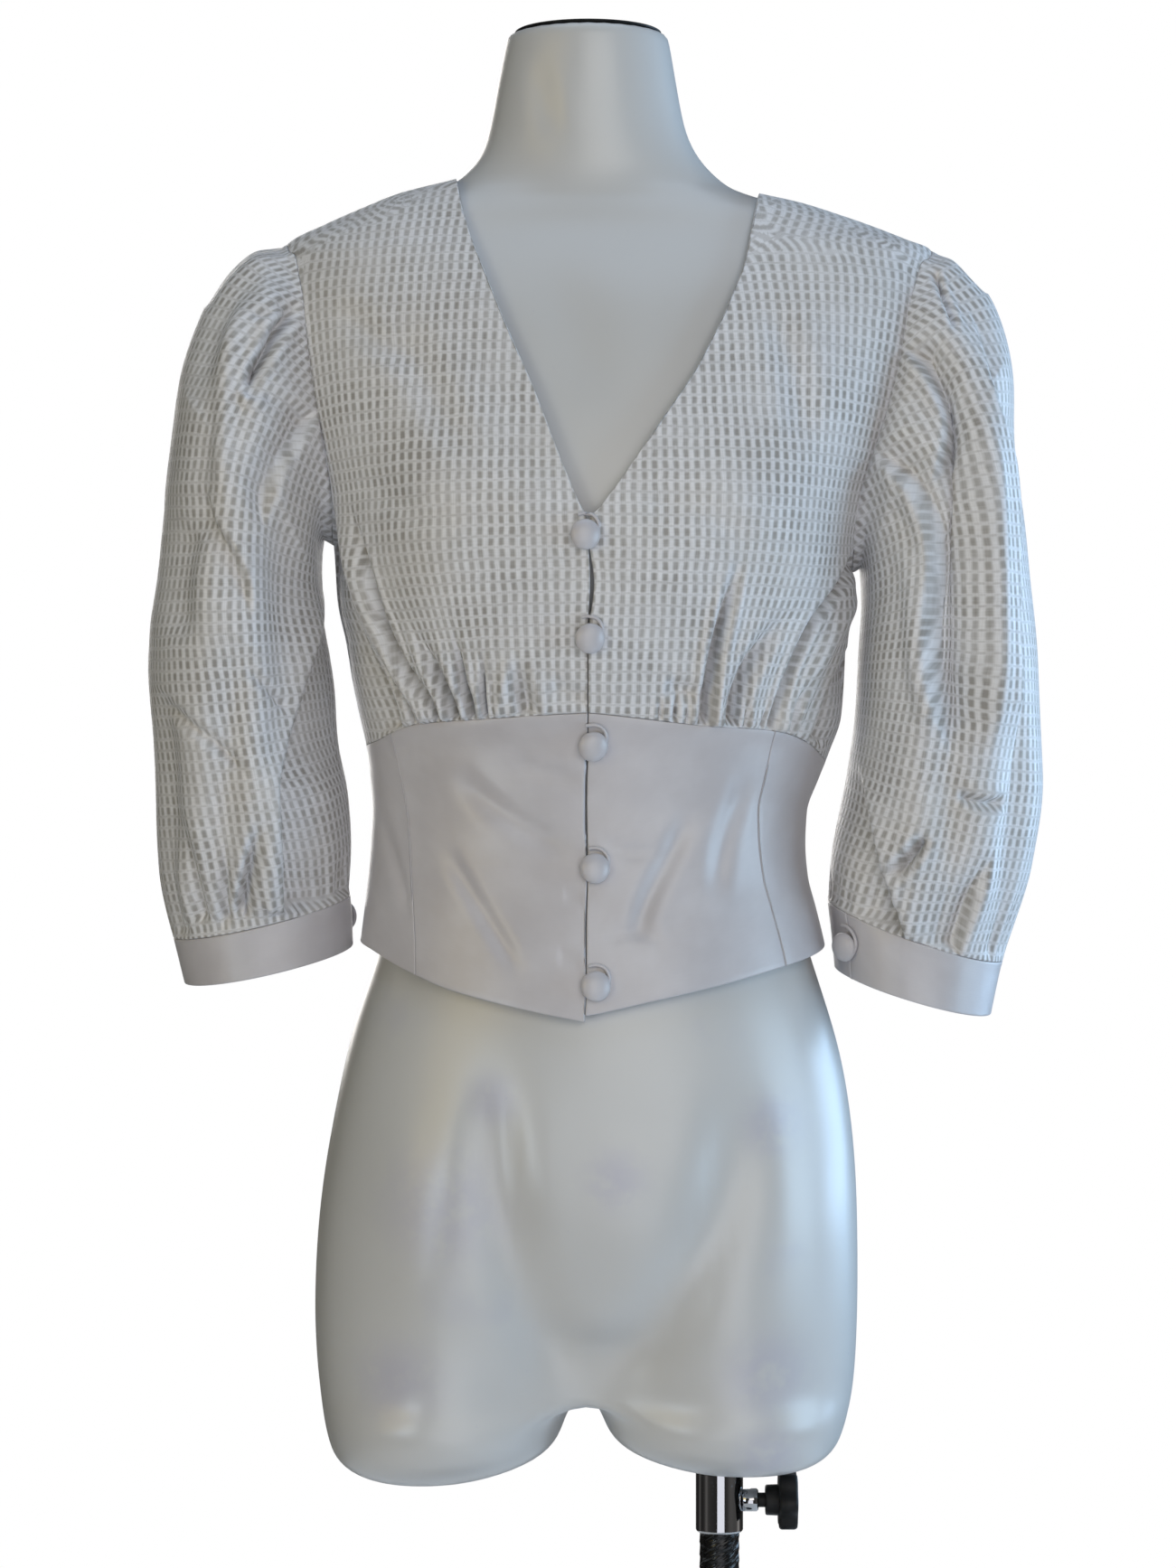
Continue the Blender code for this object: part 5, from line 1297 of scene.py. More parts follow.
LEFT_FRONT_CREASES = rows(Crease,
    (DROP_LEFT, ((-167, 1260), (-158, 1220), (-151, 1187), (-145, 1159), (-134, 1125), (-118, 1094),
     (-111, 1066)), 2.8, 8.0, (0.3, 0.0), 12),
    (RIDGE, ((-156, 1209), (-148, 1181), (-139, 1152), (-127, 1125), (-113, 1102), (-101, 1080),
     (-97, 1066)), 3.4, 5.0, (0.3, 0.0)),
    (TROUGH, ((-149, 1215), (-140, 1181), (-132, 1156), (-125, 1136), (-116, 1117), (-106, 1101),
     (-96, 1088), (-92, 1079), (-90, 1066)), 2.8, 10.0, (0.4, 0.0)),
    (TROUGH, ((-130, 1125), (-119, 1103), (-110, 1087), (-104, 1065)), 2.2, 6.0, SEWN),
    (RIDGE, ((-120, 1149), (-111, 1131), (-101, 1110), (-90, 1089), (-85, 1068)), 2.8, 4.0, SEWN),
    (TROUGH, ((-109, 1136), (-101, 1121), (-93, 1107), (-88, 1098), (-83, 1087), (-79, 1068)), 3.9, 10.0,
     SEWN), (RIDGE, ((-97, 1142), (-90, 1120), (-84, 1102), (-78, 1085), (-73, 1068)), 2.8, 4.0, SEWN),
    (TROUGH, ((-83, 1136), (-80, 1117), (-77, 1100), (-73, 1088), (-69, 1068)), 2.8, 9.0, SEWN),
    (RIDGE, ((-73, 1122), (-72, 1103), (-68, 1093), (-65, 1068)), 2.2, 2.5, SEWN),
    (TROUGH, ((-64, 1122), (-65, 1103), (-64, 1085), (-61, 1068)), 2.2, 8.0, SEWN),
    (RIDGE, ((-49, 1125), (-50, 1107), (-54, 1093), (-56, 1068)), 3.4, 3.0, SEWN),
    (TROUGH, ((-45, 1117), (-42, 1100), (-39, 1086), (-38, 1068)), 6.7, 9.0, SEWN),
    (TROUGH, ((-26, 1099), (-6, 1092), (5, 1090)), 6.7, 3.0),
    (TROUGH, ((-156, 1338), (-129, 1310), (-101, 1299)), 11.2, 2.0),
    (TROUGH, ((-143, 1232), (-112, 1209), (-73, 1201)), 12.3, 2.0),
    (TROUGH, ((-123, 1338), (-101, 1288), (-73, 1232)), 14.0, 2.5),
    (TROUGH, ((-119, 1086), (-118, 1061)), 2.0, 4.0, SEWN),
    (TROUGH, ((-98, 1084), (-98, 1066)), 2.0, 4.0, SEWN),
    (TROUGH, ((-86, 1083), (-86, 1068)), 2.0, 4.0, SEWN),
    (TROUGH, ((-75, 1084), (-75, 1068)), 2.0, 3.5, SEWN),
    (TROUGH, ((-59, 1086), (-58, 1068)), 2.0, 4.0, SEWN),
    (TROUGH, ((-50, 1084), (-50, 1069)), 2.0, 3.5, SEWN),
    (TROUGH, ((-31, 1088), (-29, 1070)), 2.2, 4.0, SEWN))
RIGHT_FRONT_CREASES = rows(Crease,
    (TROUGH, ((96, 1181), (88, 1153), (81, 1128), (76, 1103), (71, 1066)), 4.5, 13.0, (0.5, 0.0)),
    (TROUGH, ((129, 1146), (111, 1127), (98, 1107), (91, 1089), (88, 1065)), 6.2, 13.0, SEWN),
    (TROUGH, ((176, 1209), (168, 1187), (154, 1159), (139, 1138), (124, 1106), (113, 1075), (111, 1066)),
     2.8, 10.0, (0.4, 0.0)),
    (RIDGE, ((182, 1204), (177, 1184), (162, 1153), (146, 1122), (132, 1094), (120, 1066)), 5.0, 6.0,
     (0.3, 0.0)),
    (DROP_RIGHT, ((187, 1209), (178, 1173), (165, 1136), (150, 1103), (135, 1066)), 2.8, 7.0, (0.4, 0.0),
     10), (TROUGH, ((143, 1111), (129, 1089), (122, 1065)), 2.8, 6.0, SEWN),
    (TROUGH, ((47, 1100), (60, 1094), (72, 1092)), 6.7, 5.0),
    (RIDGE, ((84, 1120), (79, 1092), (78, 1066)), 2.8, 4.0, SEWN),
    (RIDGE, ((103, 1131), (92, 1103), (83, 1066)), 2.2, 3.0, SEWN),
    (TROUGH, ((112, 1338), (129, 1288), (134, 1243)), 12.3, 3.0),
    (TROUGH, ((28, 1209), (61, 1209), (106, 1187)), 11.2, 2.0),
    (TROUGH, ((45, 1092), (44, 1070)), 2.0, 3.5, SEWN), (TROUGH, ((55, 1096), (53, 1068)), 2.2, 5.0, SEWN),
    (TROUGH, ((62, 1088), (61, 1068)), 2.0, 4.0, SEWN), (TROUGH, ((83, 1094), (80, 1066)), 2.0, 5.0, SEWN),
    (TROUGH, ((99, 1094), (97, 1065)), 2.2, 5.0, SEWN),
    (TROUGH, ((111, 1088), (105, 1064)), 2.0, 5.0, SEWN),
    (TROUGH, ((132, 1080), (127, 1061)), 2.0, 4.0, SEWN))
BAND_CREASES = rows(Crease,
    (TROUGH, ((-86, 1047), (-67, 1030), (-39, 1010), (-6, 994)), 9.0, 2.5),
    (TROUGH, ((-92, 1002), (-73, 971), (-51, 935), (-37, 915)), 6.7, 2.2),
    (TROUGH, ((-51, 1052), (-28, 1044), (-3, 1038)), 5.0, 1.5), (TROUGH, ((-17, 971), (-1, 963)), 2.8, 1.2),
    (TROUGH, ((-20, 932), (-3, 924)), 2.8, 1.2),
    (TROUGH, ((-129, 1019), (-118, 985), (-109, 952)), 4.5, 1.5),
    (TROUGH, ((66, 1022), (50, 991), (34, 957), (28, 932)), 7.8, 2.2),
    (TROUGH, ((101, 1047), (84, 1002), (78, 963)), 7.8, 1.8),
    (TROUGH, ((5, 1002), (28, 994), (50, 996)), 4.5, 1.4),
    (TROUGH, ((8, 940), (28, 946), (50, 938)), 4.5, 1.2))
FORM_RELIEF = rows(Crease,
    (TROUGH, ((-57, 879), (-57, 823), (-51, 767), (-34, 711), (-10, 663)), 19.0, 6.0, (0.35, 0.15)),
    (RIDGE, ((-101, 856), (-106, 795), (-102, 739), (-90, 683)), 25.8, 4.0, (0.4, 0.3)),
    (RIDGE, ((22, 828), (20, 778), (12, 728), (3, 683)), 33.6, 5.0, (0.45, 0.2)),
    (TROUGH, ((90, 862), (90, 812), (78, 761), (50, 711), (12, 663)), 21.3, 6.0, (0.35, 0.15)),
    (RIDGE, ((134, 823), (129, 767), (112, 711), (89, 666)), 25.8, 3.0, (0.4, 0.3)),
    (TROUGH, ((-33, 1489), (-28, 1467), (-22, 1433)), 9.0, 1.5, (0.3, 0.4)),
    (TROUGH, ((-28, 1369), (-6, 1310), (1, 1271)), 22.4, 2.0, (0.4, 0.3)))
BACK_CREASES = rows(Crease,
    (TROUGH, ((-118, 1142), (-109, 1080), (-108, 1059)), 3.9, 4.0, SEWN),
    (TROUGH, ((-93, 1124), (-91, 1092), (-89, 1059)), 5.0, 4.0, SEWN),
    (TROUGH, ((-78, 1087), (-73, 1075), (-72, 1059)), 4.5, 4.0, SEWN),
    (TROUGH, ((-51, 1156), (-55, 1086), (-53, 1059)), 5.6, 4.0, SEWN),
    (TROUGH, ((-34, 1097), (-36, 1075), (-36, 1059)), 3.4, 4.0, SEWN),
    (TROUGH, ((-13, 1124), (-16, 1080), (-17, 1059)), 4.5, 3.0, SEWN),
    (TROUGH, ((12, 1093), (17, 1075), (18, 1059)), 5.0, 4.0, SEWN),
    (TROUGH, ((30, 1163), (34, 1086), (36, 1059)), 6.2, 4.0, SEWN),
    (TROUGH, ((53, 1100), (55, 1075), (56, 1059)), 3.4, 4.0, SEWN),
    (TROUGH, ((79, 1128), (76, 1092), (74, 1059)), 5.0, 4.0, SEWN),
    (TROUGH, ((97, 1126), (92, 1075), (90, 1058)), 4.5, 4.0, SEWN),
    (TROUGH, ((121, 1125), (113, 1083), (109, 1057)), 5.6, 3.0, SEWN),
    (TROUGH, ((-101, 1321), (-73, 1282), (-51, 1220)), 14.6, 2.5),
    (TROUGH, ((101, 1327), (78, 1276), (56, 1215)), 14.6, 2.5),
    (TROUGH, ((-62, 1176), (0, 1159), (61, 1178)), 13.4, 2.0))


TOP_SEAM = Edge(Border.TOP, End.SEAM)
OUTER_SEAM = Edge(Border.OUTER, End.SEAM)
TURNED_HEM = Edge(Border.BOTTOM, End.TURNED)


@dataclass
class Bodice:
    """The fronts and the back, cut at the side, shoulder, armhole and midriff seams."""
    gathers_free: float = 0.0035
    front_fullness: float = 0.045
    back_fullness: float = 0.030

    @staticmethod
    def seen_press(stretch: Stretch, face: int, creases: Sequence[Crease], ripple: Ripple) -> None:
        """Presses creases into a stretch of cloth where they are seen.

        Args:
            stretch: The stretch of cloth.
            face: FRONT or BACK, the side that they are seen from.
            creases: The creases.
            ripple: The cloth's slight unevenness.
        """
        normals = stretch.normals()
        seen = as_seen(stretch.points, face)
        turned_to_eye = 1 - fade((0.30 - face * normals[..., 1]) / 0.55)
        move = ripple.press(seen) + sum(crease.press(seen) for crease in creases)
        stretch.points = stretch.points + normals * (move * stretch.mask() * turned_to_eye)[..., None]

    def lay_flat(self, points: np.ndarray, quarter: Quarter) -> np.ndarray:
        """Lays a quarter flat, and widens it above the midriff seam by what the gathers take up.

        Args:
            points: The cloth on the body.
            quarter: The quarter that it covers.

        Returns:
            The flat cut, across from the centre line and up from the midriff seam.
        """
        straight = np.arange(len(points)) <= (SIDE_ROWS if quarter.face == FRONT else BACK_NECK_ROW)
        aside = np.where(straight, 0.0, np.abs(points[:, -1, 0] - points[0, -1, 0]))
        across = run_along(points, 1)
        sideways = across[:, -1:] - across + aside[:, None]
        start = np.stack([sideways, points[..., 2] - points[0, -1, 2]], axis=-1)
        grain = np.zeros(points.shape[:2], dtype=bool)
        grain[straight, -1] = True
        flat = flatten(points, start, grain)
        taken = self.front_fullness if quarter.face == FRONT else self.back_fullness
        place = np.clip((GATHER_END - quarter.columns) / (GATHER_END - GATHER_START), 0, 1)
        flat[..., 0] += taken * (1 - fade(place))[None, :] * fade(run_along(points, 0) / 0.110)
        return flat

    def front(self, side: int) -> Cloth:
        """Makes one front.

        Args:
            side: LEFT or RIGHT.

        Returns:
            The piece.
        """
        quarter = Quarter(side, FRONT, np.linspace(0, 1, FRONT_COLUMNS + 1))
        points = quarter.lattice()
        cut = self.lay_flat(points, quarter)
        edges = (Edge(Border.BOTTOM, End.SEAM, free=self.gathers_free), TOP_SEAM, OUTER_SEAM,
                 Edge(Border.INNER, End.TURNED))
        stretch = Stretch(points, cut, edges, CHEST)
        creases = LEFT_FRONT_CREASES if side == LEFT else RIGHT_FRONT_CREASES
        self.seen_press(stretch, FRONT, creases, Ripple(11 + side))
        piece = Cloth(f"front_{SIDE_NAMES[side]}_cloth")
        piece.add(stretch)
        return piece

    def back(self) -> Cloth:
        """Makes the back from its two halves."""
        piece = Cloth("back_cloth")
        halves = []
        for side in (RIGHT, LEFT):
            quarter = Quarter(side, BACK)
            points = quarter.lattice()
            cut = self.lay_flat(points, quarter)
            cut[..., 0] *= side
            edges = (Edge(Border.BOTTOM, End.SEAM, free=self.gathers_free), TOP_SEAM,
                     OUTER_SEAM, Edge(Border.INNER, End.TURNED, BACK_NECK_ROW))
            halves.append(Stretch(points, cut, edges, CHEST))
        for half in halves:
            self.seen_press(half, BACK, BACK_CREASES, Ripple(31))
            piece.add(half)
        return piece


@dataclass
class Midriff:
    """The plain midriff band: two fronts, two sides and a back."""
    split_columns: int = 110

    def front_pieces(self, side: int) -> tuple[Cloth, Cloth]:
        """Makes the front and the side piece of one half.

        Args:
            side: LEFT or RIGHT.

        Returns:
            The front piece and the side piece.
        """
        quarter = Quarter(side, FRONT)
        knee = PRINCESS_PLACE[side]
        made = []
        for part, low, high in (("front", knee, 1.0), ("side", 0.0, knee)):
            columns = np.linspace(low, high, self.split_columns + 1)
            points = quarter.band(columns)
            inner = End.TURNED if part == "front" else End.SEAM
            edges = (TURNED_HEM, TOP_SEAM, OUTER_SEAM,
                     Edge(Border.INNER, inner))
            stretch = Stretch(points, self.cut(points), edges, CHEST)
            Bodice.seen_press(stretch, FRONT, BAND_CREASES, Ripple(51 + side, 0.0003))
            piece = Cloth(f"band_{part}_{SIDE_NAMES[side]}_cloth")
            piece.add(stretch)
            made.append(piece)
        return made[0], made[1]

    def back(self) -> Cloth:
        """Makes the back of the band from its two halves."""
        piece = Cloth("band_back_cloth")
        for side in (RIGHT, LEFT):
            points = Quarter(side, BACK).band(np.linspace(0, 1, self.split_columns + 1))
            cut = self.cut(points)
            cut[..., 0] *= side
            edges = (TURNED_HEM, TOP_SEAM, OUTER_SEAM)
            stretch = Stretch(points, cut, edges, CHEST)
            Bodice.seen_press(stretch, BACK, (), Ripple(61, 0.0003))
            piece.add(stretch)
        return piece

    @staticmethod
    def cut(points: np.ndarray) -> np.ndarray:
        """Lays a stretch of the band flat by its rows and columns."""
        across = run_along(points, 1)
        return np.stack([across[:, -1:] - across, run_along(points, 0)], axis=-1)


@dataclass
class Sleeves:
    """A full sleeve and its plain cuff for each side."""
    seam_free: float = 0.0045

    def sleeve(self, side: int) -> Cloth:
        """Makes one sleeve with its folds.

        Args:
            side: LEFT or RIGHT.

        Returns:
            The piece.
        """
        limb = Limb(side)
        shares = np.linspace(0, 1, SLEEVE_ROWS + 1)
        rings = limb.sleeve(shares)
        centres = limb.centres(shares)[:, None]
        closed = np.concatenate([rings, rings[:, :1]], axis=1)
        across = run_along(closed, 1)
        outer = len(limb.turns) // 2
        start = np.stack([across - across[:, outer:outer + 1], run_along(closed[::-1], 0)[::-1]], axis=-1)
        grain = np.zeros(start.shape[:2], dtype=bool)
        grain[:, outer] = True
        cut = flatten(closed, start, grain)
        edges = (Edge(Border.BOTTOM, End.SEAM, free=self.seam_free),
                 Edge(Border.TOP, End.SEAM, free=self.seam_free))
        stretch = Stretch(rings, cut, edges, centres, closed=True)
        normals = stretch.normals()
        seen = as_seen(rings, FRONT)
        creases = LEFT_SLEEVE_CREASES if side == LEFT else RIGHT_SLEEVE_CREASES
        to_eye = 1 - fade((0.25 - normals[..., 1]) / 0.5)
        move = to_eye * sum(crease.press(seen) for crease in creases) + Ripple(71 + side, 0.0007).press(seen)
        move = move - limb.back_folds(shares)
        move = move * stretch.mask() - limb.cuff_gathers(shares)
        stretch.points = rings + normals * move[..., None]
        piece = Cloth(f"sleeve_{SIDE_NAMES[side]}_cloth")
        piece.add(stretch)
        return piece

    def cuff(self, side: int) -> Cloth:
        """Makes one cuff.

        Args:
            side: LEFT or RIGHT.

        Returns:
            The piece.
        """
        limb = Limb(side)
        points = limb.cuff()
        edges = (TURNED_HEM, TOP_SEAM, Edge(Border.OUTER, End.TURNED),
                 Edge(Border.INNER, End.TURNED))
        stretch = Stretch(points, Midriff.cut(points), edges, limb.centres(np.array([1.0]))[0])
        seen = as_seen(points, FRONT)
        move = Ripple(81 + side, 0.0004).press(seen) * stretch.mask()
        stretch.points = points + stretch.normals() * move[..., None]
        piece = Cloth(f"cuff_{SIDE_NAMES[side]}_cloth")
        piece.add(stretch)
        return piece


class Skin:
    """The cloth that buttons and loops lie on, as one surface that can be searched."""

    def __init__(self, pieces: Sequence[bpy.types.Object]) -> None:
        """Gathers the surfaces.

        Args:
            pieces: The pieces of cloth.
        """
        points: list[Vector] = []
        faces: list[tuple[int, ...]] = []
        for piece in pieces:
            start = len(points)
            points += [v.co.copy() for v in piece.data.vertices]
            faces += [tuple(start + i for i in polygon.vertices) for polygon in piece.data.polygons]
        self.tree = BVHTree.FromPolygons(points, faces)

    def seat(self, point: np.ndarray) -> np.ndarray:
        """Finds the place on the cloth nearest to a point."""
        return np.array(self.tree.find_nearest(Vector(point))[0])


@dataclass
class Fastenings:
    """The covered buttons and the loops round them."""
    button_r: float = 0.0090
    head: float = 0.0052
    shank_r: float = 0.0025
    shank: float = 0.0029
    loop_r: float = 0.0011
    tilt: float = math.radians(13)
    made: list[bpy.types.Object] = field(default_factory=list)

    def profile(self) -> list[tuple[float, float]]:
        """Draws a button's outline from its crown down: a crowned top, a rolled rim and a flat back.

        Returns:
            Radii and heights.
        """
        crown = [(self.button_r * math.sin(a), self.shank + self.head * (0.15 + 0.85 * math.cos(a)))
                 for a in np.radians(np.linspace(0, 90, 15))]
        crown[0] = (0.0, crown[0][1])
        low = [(self.button_r * 0.985, self.shank + 0.0003), (self.button_r * 0.95, self.shank),
               (self.button_r * 0.80, self.shank - 0.0001), (self.shank_r + 0.0006, self.shank),
               (self.shank_r, self.shank - 0.0006), (self.shank_r, 0.0), (0.0, 0.0)]
        return crown + low

    def fasten(self, button_node: str, loop_node: str, surface: Callable[[float, float], np.ndarray],
               cloth: Skin) -> None:
        """Sews a button and its loop onto the cloth.

        Args:
            button_node: The button's node.
            loop_node: The loop's node.
            surface: The cloth's middle, by how far across and up from the button's place.
            cloth: The cloth that they lie on.
        """
        def stand(across: float, up: float, height: float) -> tuple[np.ndarray, np.ndarray, np.ndarray]:
            """Finds a place above the cloth, with the way across and the way out there."""
            step = 0.0005
            ahead = surface(across + step, up) - surface(across - step, up)
            above = surface(across, up + step) - surface(across, up - step)
            normal = np.cross(ahead, above)
            normal /= np.linalg.norm(normal)
            start = surface(across, up) + normal * CLOTH * 2 + np.array([CENTRE_X, 0, 0])
            return cloth.seat(start) + normal * height, ahead, normal

        foot, ahead, normal = stand(0, 0, SEAT)
        button = turned(button_node + "_cover", self.profile(), 48, "satin_round", "form", button_node)
        out, across = Vector(normal).normalized(), Vector(ahead).normalized()
        up = out.cross(across)
        stand_up = Matrix((across, up, out)).transposed().to_4x4()
        button.matrix_world = Matrix.Translation(foot) @ stand_up @ Matrix.Rotation(self.tilt, 4, "Y")
        path = spline([(p.across, p.up) for p in LOOP_PATH], 40)
        line = [stand(a, u, SEAT + self.loop_r)[0] for a, u in path]
        loop = cord(loop_node + "_cord", line, self.loop_r, "satin_round", "form", loop_node)
        self.made += [button, loop]

    def build(self, cloth: Skin) -> None:
        """Sews on every button.

        Args:
            cloth: The cloth that they lie on.
        """
        for number, at in enumerate(FRONT_BUTTONS, start=1):
            def front(across: float, up: float, at: ButtonPlace = at) -> np.ndarray:
                """Finds the front's middle near a button."""
                return TORSO.point(TORSO.angle_at_x(at.x + across, at.z + up, RIGHT), at.z + up)
            self.fasten(f"button_{number}", f"loop_{number}", front, cloth)
        for side, name in SIDE_NAMES.items():
            limb = Limb(side)
            middle = 2 * math.pi * CUFF_OPENING[side] / SOLID_TURNS
            centre = limb.centres(np.array([1.0]))[0]
            radius = float(np.linalg.norm((limb.wrist(middle, 0.5) - centre)[:2]))
            tall = float(np.linalg.norm(limb.wrist(middle, 1.0) - limb.wrist(middle, 0.0)))

            def cuff(across: float, up: float, limb: Limb = limb, middle: float = middle,
                     radius: float = radius,
                     tall: float = tall, way: int = -side) -> np.ndarray:
                """Finds the cuff's middle near its button."""
                return limb.wrist(middle + way * across / radius, 0.5 - up / tall)
            self.fasten("cuff_button_" + name, "cuff_loop_" + name, cuff, cloth)


def new_object(name: str, data: bpy.types.ID | None) -> bpy.types.Object:
    """Puts a new object in the scene.

    Args:
        name: Its name.
        data: Its mesh, curve, light or camera.

    Returns:
        The object.
    """
    made = bpy.data.objects.new(name, data)
    bpy.context.scene.collection.objects.link(made)
    return made


def turned(name: str, profile: Sequence[tuple[float, float]], sides: int, slot: str, body: str,
           *nodes: str, closed: bool = False) -> bpy.types.Object:
    """Turns an outline about Z.

    Args:
        name: The piece's name.
        profile: Radii and heights, down the outer side.
        sides: How many steps a turn takes.
        slot: Its material slot.
        body: The body that it rides on.
        *nodes: The nodes that it stands for.
        closed: Whether the outline closes on itself.

    Returns:
        The object.
    """
    mesh = bpy.data.meshes.new(name)
    edges = [(i, i + 1) for i in range(len(profile) - 1)]
    if closed:
        edges.append((len(profile) - 1, 0))
    mesh.from_pydata([(r, 0.0, z) for r, z in profile], edges, [])
    made = new_object(name, mesh)
    screw = made.modifiers.new("Turn", "SCREW")
    screw.steps = screw.render_steps = sides
    screw.use_merge_vertices = True
    screw.merge_threshold = 0.00001
    screw.use_smooth_shade = True
    return settle_piece(made, slot, body, *nodes)


def cord(name: str, line: Sequence[np.ndarray], radius: float, slot: str, body: str,
         *nodes: str) -> bpy.types.Object:
    """Lays a round cord along a line.

    Args:
        name: The piece's name.
        line: The points that it follows.
        radius: Its radius.
        slot: Its material slot.
        body: The body that it rides on.
        *nodes: The nodes that it stands for.

    Returns:
        The object.
    """
    curve = bpy.data.curves.new(name, "CURVE")
    curve.dimensions = "3D"
    curve.bevel_depth = radius
    curve.bevel_resolution = 4
    curve.use_fill_caps = True
    run = curve.splines.new("POLY")
    run.points.add(len(line) - 1)
    for point, at in zip(run.points, line):
        point.co = (*at, 1.0)
    run.use_smooth = True
    made = new_object(name, curve)
    return settle_piece(made, slot, body, *nodes)


def settle_piece(piece: bpy.types.Object, slot: str, body: str, *nodes: str) -> bpy.types.Object:
    """Puts a piece in its place in the model: its finish, its body and the nodes that it stands for.

    Args:
        piece: The piece.
        slot: Its material slot.
        body: The body that it rides on.
        *nodes: The nodes.

    Returns:
        The piece.
    """
    piece.data.materials.clear()
    piece.data.materials.append(DRESS[slot])
    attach(piece, body)
    if nodes:
        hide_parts(*nodes)
    LOG.info("%s rides on %s", piece.name, body)
    return piece


@dataclass
class TorsoForm:
    """The limbless torso form with its two thigh stubs, and the cap on its neck."""
    rows: tuple[Girth, ...] = FORM
    grown: float = 1.008            # makes up for what the smoothing takes off
    body: Body = field(default_factory=lambda: Body(Smooth(FORM), FORM_BUST))

    def cage(self) -> tuple[list[np.ndarray], list[tuple[int, ...]]]:
        """Draws the coarse cage that is then smoothed.

        Returns:
            Its points and faces.
        """
        turns = np.linspace(0, 2 * math.pi, FORM_SIDES, endpoint=False)
        points: list[np.ndarray] = []
        faces: list[tuple[int, ...]] = []
        rings = []
        for row in self.rows:
            ring = self.body.point(turns, row.z) * np.array([self.grown, self.grown, 1.0])
            from_front = np.degrees(np.abs((turns - math.pi / 2 + math.pi) % (2 * math.pi) - math.pi))
            low = fade((row.z - self.rows[0].z) / (CROTCH_FOLD_TOP - self.rows[0].z))
            fold = CROTCH_FOLD * low
            ring[:, 1] += fold * np.exp(-((from_front / CROTCH_FOLD_SPREAD) ** 2))
            ring[:, 1] -= 0.6 * fold * np.exp(-(((180 - from_front) / CROTCH_FOLD_SPREAD) ** 2))
            rings.append(list(range(len(points), len(points) + FORM_SIDES)))
            points.extend(ring)
        for low_ring, high_ring in zip(rings, rings[1:]):
            faces += ring_faces(low_ring, high_ring)
        faces.append(tuple(rings[-1]))
        foot = rings[0]
        front, back = FORM_SIDES // 4, 3 * FORM_SIDES // 4
        bridge = []
        for k in range(1, BRIDGE_POINTS + 1):
            share = k / (BRIDGE_POINTS + 1)
            y = points[foot[back]][1] * (1 - share) + points[foot[front]][1] * share
            bridge.append(len(points))
            points.append(np.array([CROTCH_X, y, self.rows[0].z]))
        for side, way in ((RIGHT, -1), (LEFT, 1)):
            outside = [foot[(front + way * i) % FORM_SIDES] for i in range(FORM_SIDES // 2 + 1)]
            self.stub(side, outside + bridge, len(outside), points, faces)
        return points, faces

    def stub(self, side: int, ring: list[int], outside: int, points: list[np.ndarray],
             faces: list[tuple[int, ...]]) -> None:
        """Draws a thigh stub below the torso's edge.

        Args:
            side: LEFT or RIGHT.
            ring: The numbers of the points round its top.
            outside: How many of them are on the torso's edge.
            points: The cage's points, which get more.
            faces: The cage's faces, which get more.
        """
        across = np.linspace(STUB_SPREAD, -STUB_SPREAD, outside)
        behind = np.linspace(-STUB_SPREAD, STUB_SPREAD - 2 * math.pi, BRIDGE_POINTS + 2)[1:-1]
        angles = np.concatenate([across, behind])
        for stub in STUBS[side]:
            c = signed_power(np.cos(angles), 2 / STUB_POWER)
            s = signed_power(np.sin(angles), 2 / STUB_POWER)
            x = (stub.outer + stub.inner) / 2 + c * (stub.outer - stub.inner) / 2 * self.grown
            y = -s * np.where(s >= 0, stub.front, stub.back)
            below = list(range(len(points), len(points) + len(ring)))
            points.extend(np.stack([x, y, stub.z + 0 * x], axis=-1))
            faces += ring_faces(below, ring)
            ring = below
        last = STUBS[side][-1]
        middle = len(points)
        points.append(np.array([(last.outer + last.inner) / 2, 0.0, STUB_FLOOR[side]]))
        faces += [(middle, ring[i], ring[(i + 1) % len(ring)]) for i in range(len(ring))]

    def build(self) -> None:
        """Builds the form and its cap."""
        points, faces = self.cage()
        mesh = bpy.data.meshes.new("form_shell")
        mesh.from_pydata([tuple(p + np.array([CENTRE_X, 0, 0])) for p in points], [], faces)
        shape = bmesh.new()
        shape.from_mesh(mesh)
        bmesh.ops.recalc_face_normals(shape, faces=shape.faces)
        shape.to_mesh(mesh)
        shape.free()
        mesh.shade_smooth()
        made = new_object("form_shell", mesh)
        smooth = made.modifiers.new("Smooth", "SUBSURF")
        smooth.levels = smooth.render_levels = 2
        self.bore(made)
        self.model(made.data)
        settle_piece(made, "form_shell", "form", "form")
        top = self.rows[-1].z + SEAT
        r, thick = NECK_CAP_R, NECK_CAP_THICK
        outline = [(0.0, top + thick), (r * 0.5, top + thick), (r - 0.0006, top + thick),
                   (r - 0.0001, top + thick - 0.0003), (r, top + thick * 0.5), (r - 0.0002, top), (0.0, top)]
        cap = turned("neck_cap_disc", outline, 72, "black_plastic", "form", "neck_cap")
        cap.location = (CENTRE_X, NECK_MIDDLE_Y, 0)
        cap.scale = (1.0, NECK_CAP_DEPTH / NECK_CAP_R, 1.0)

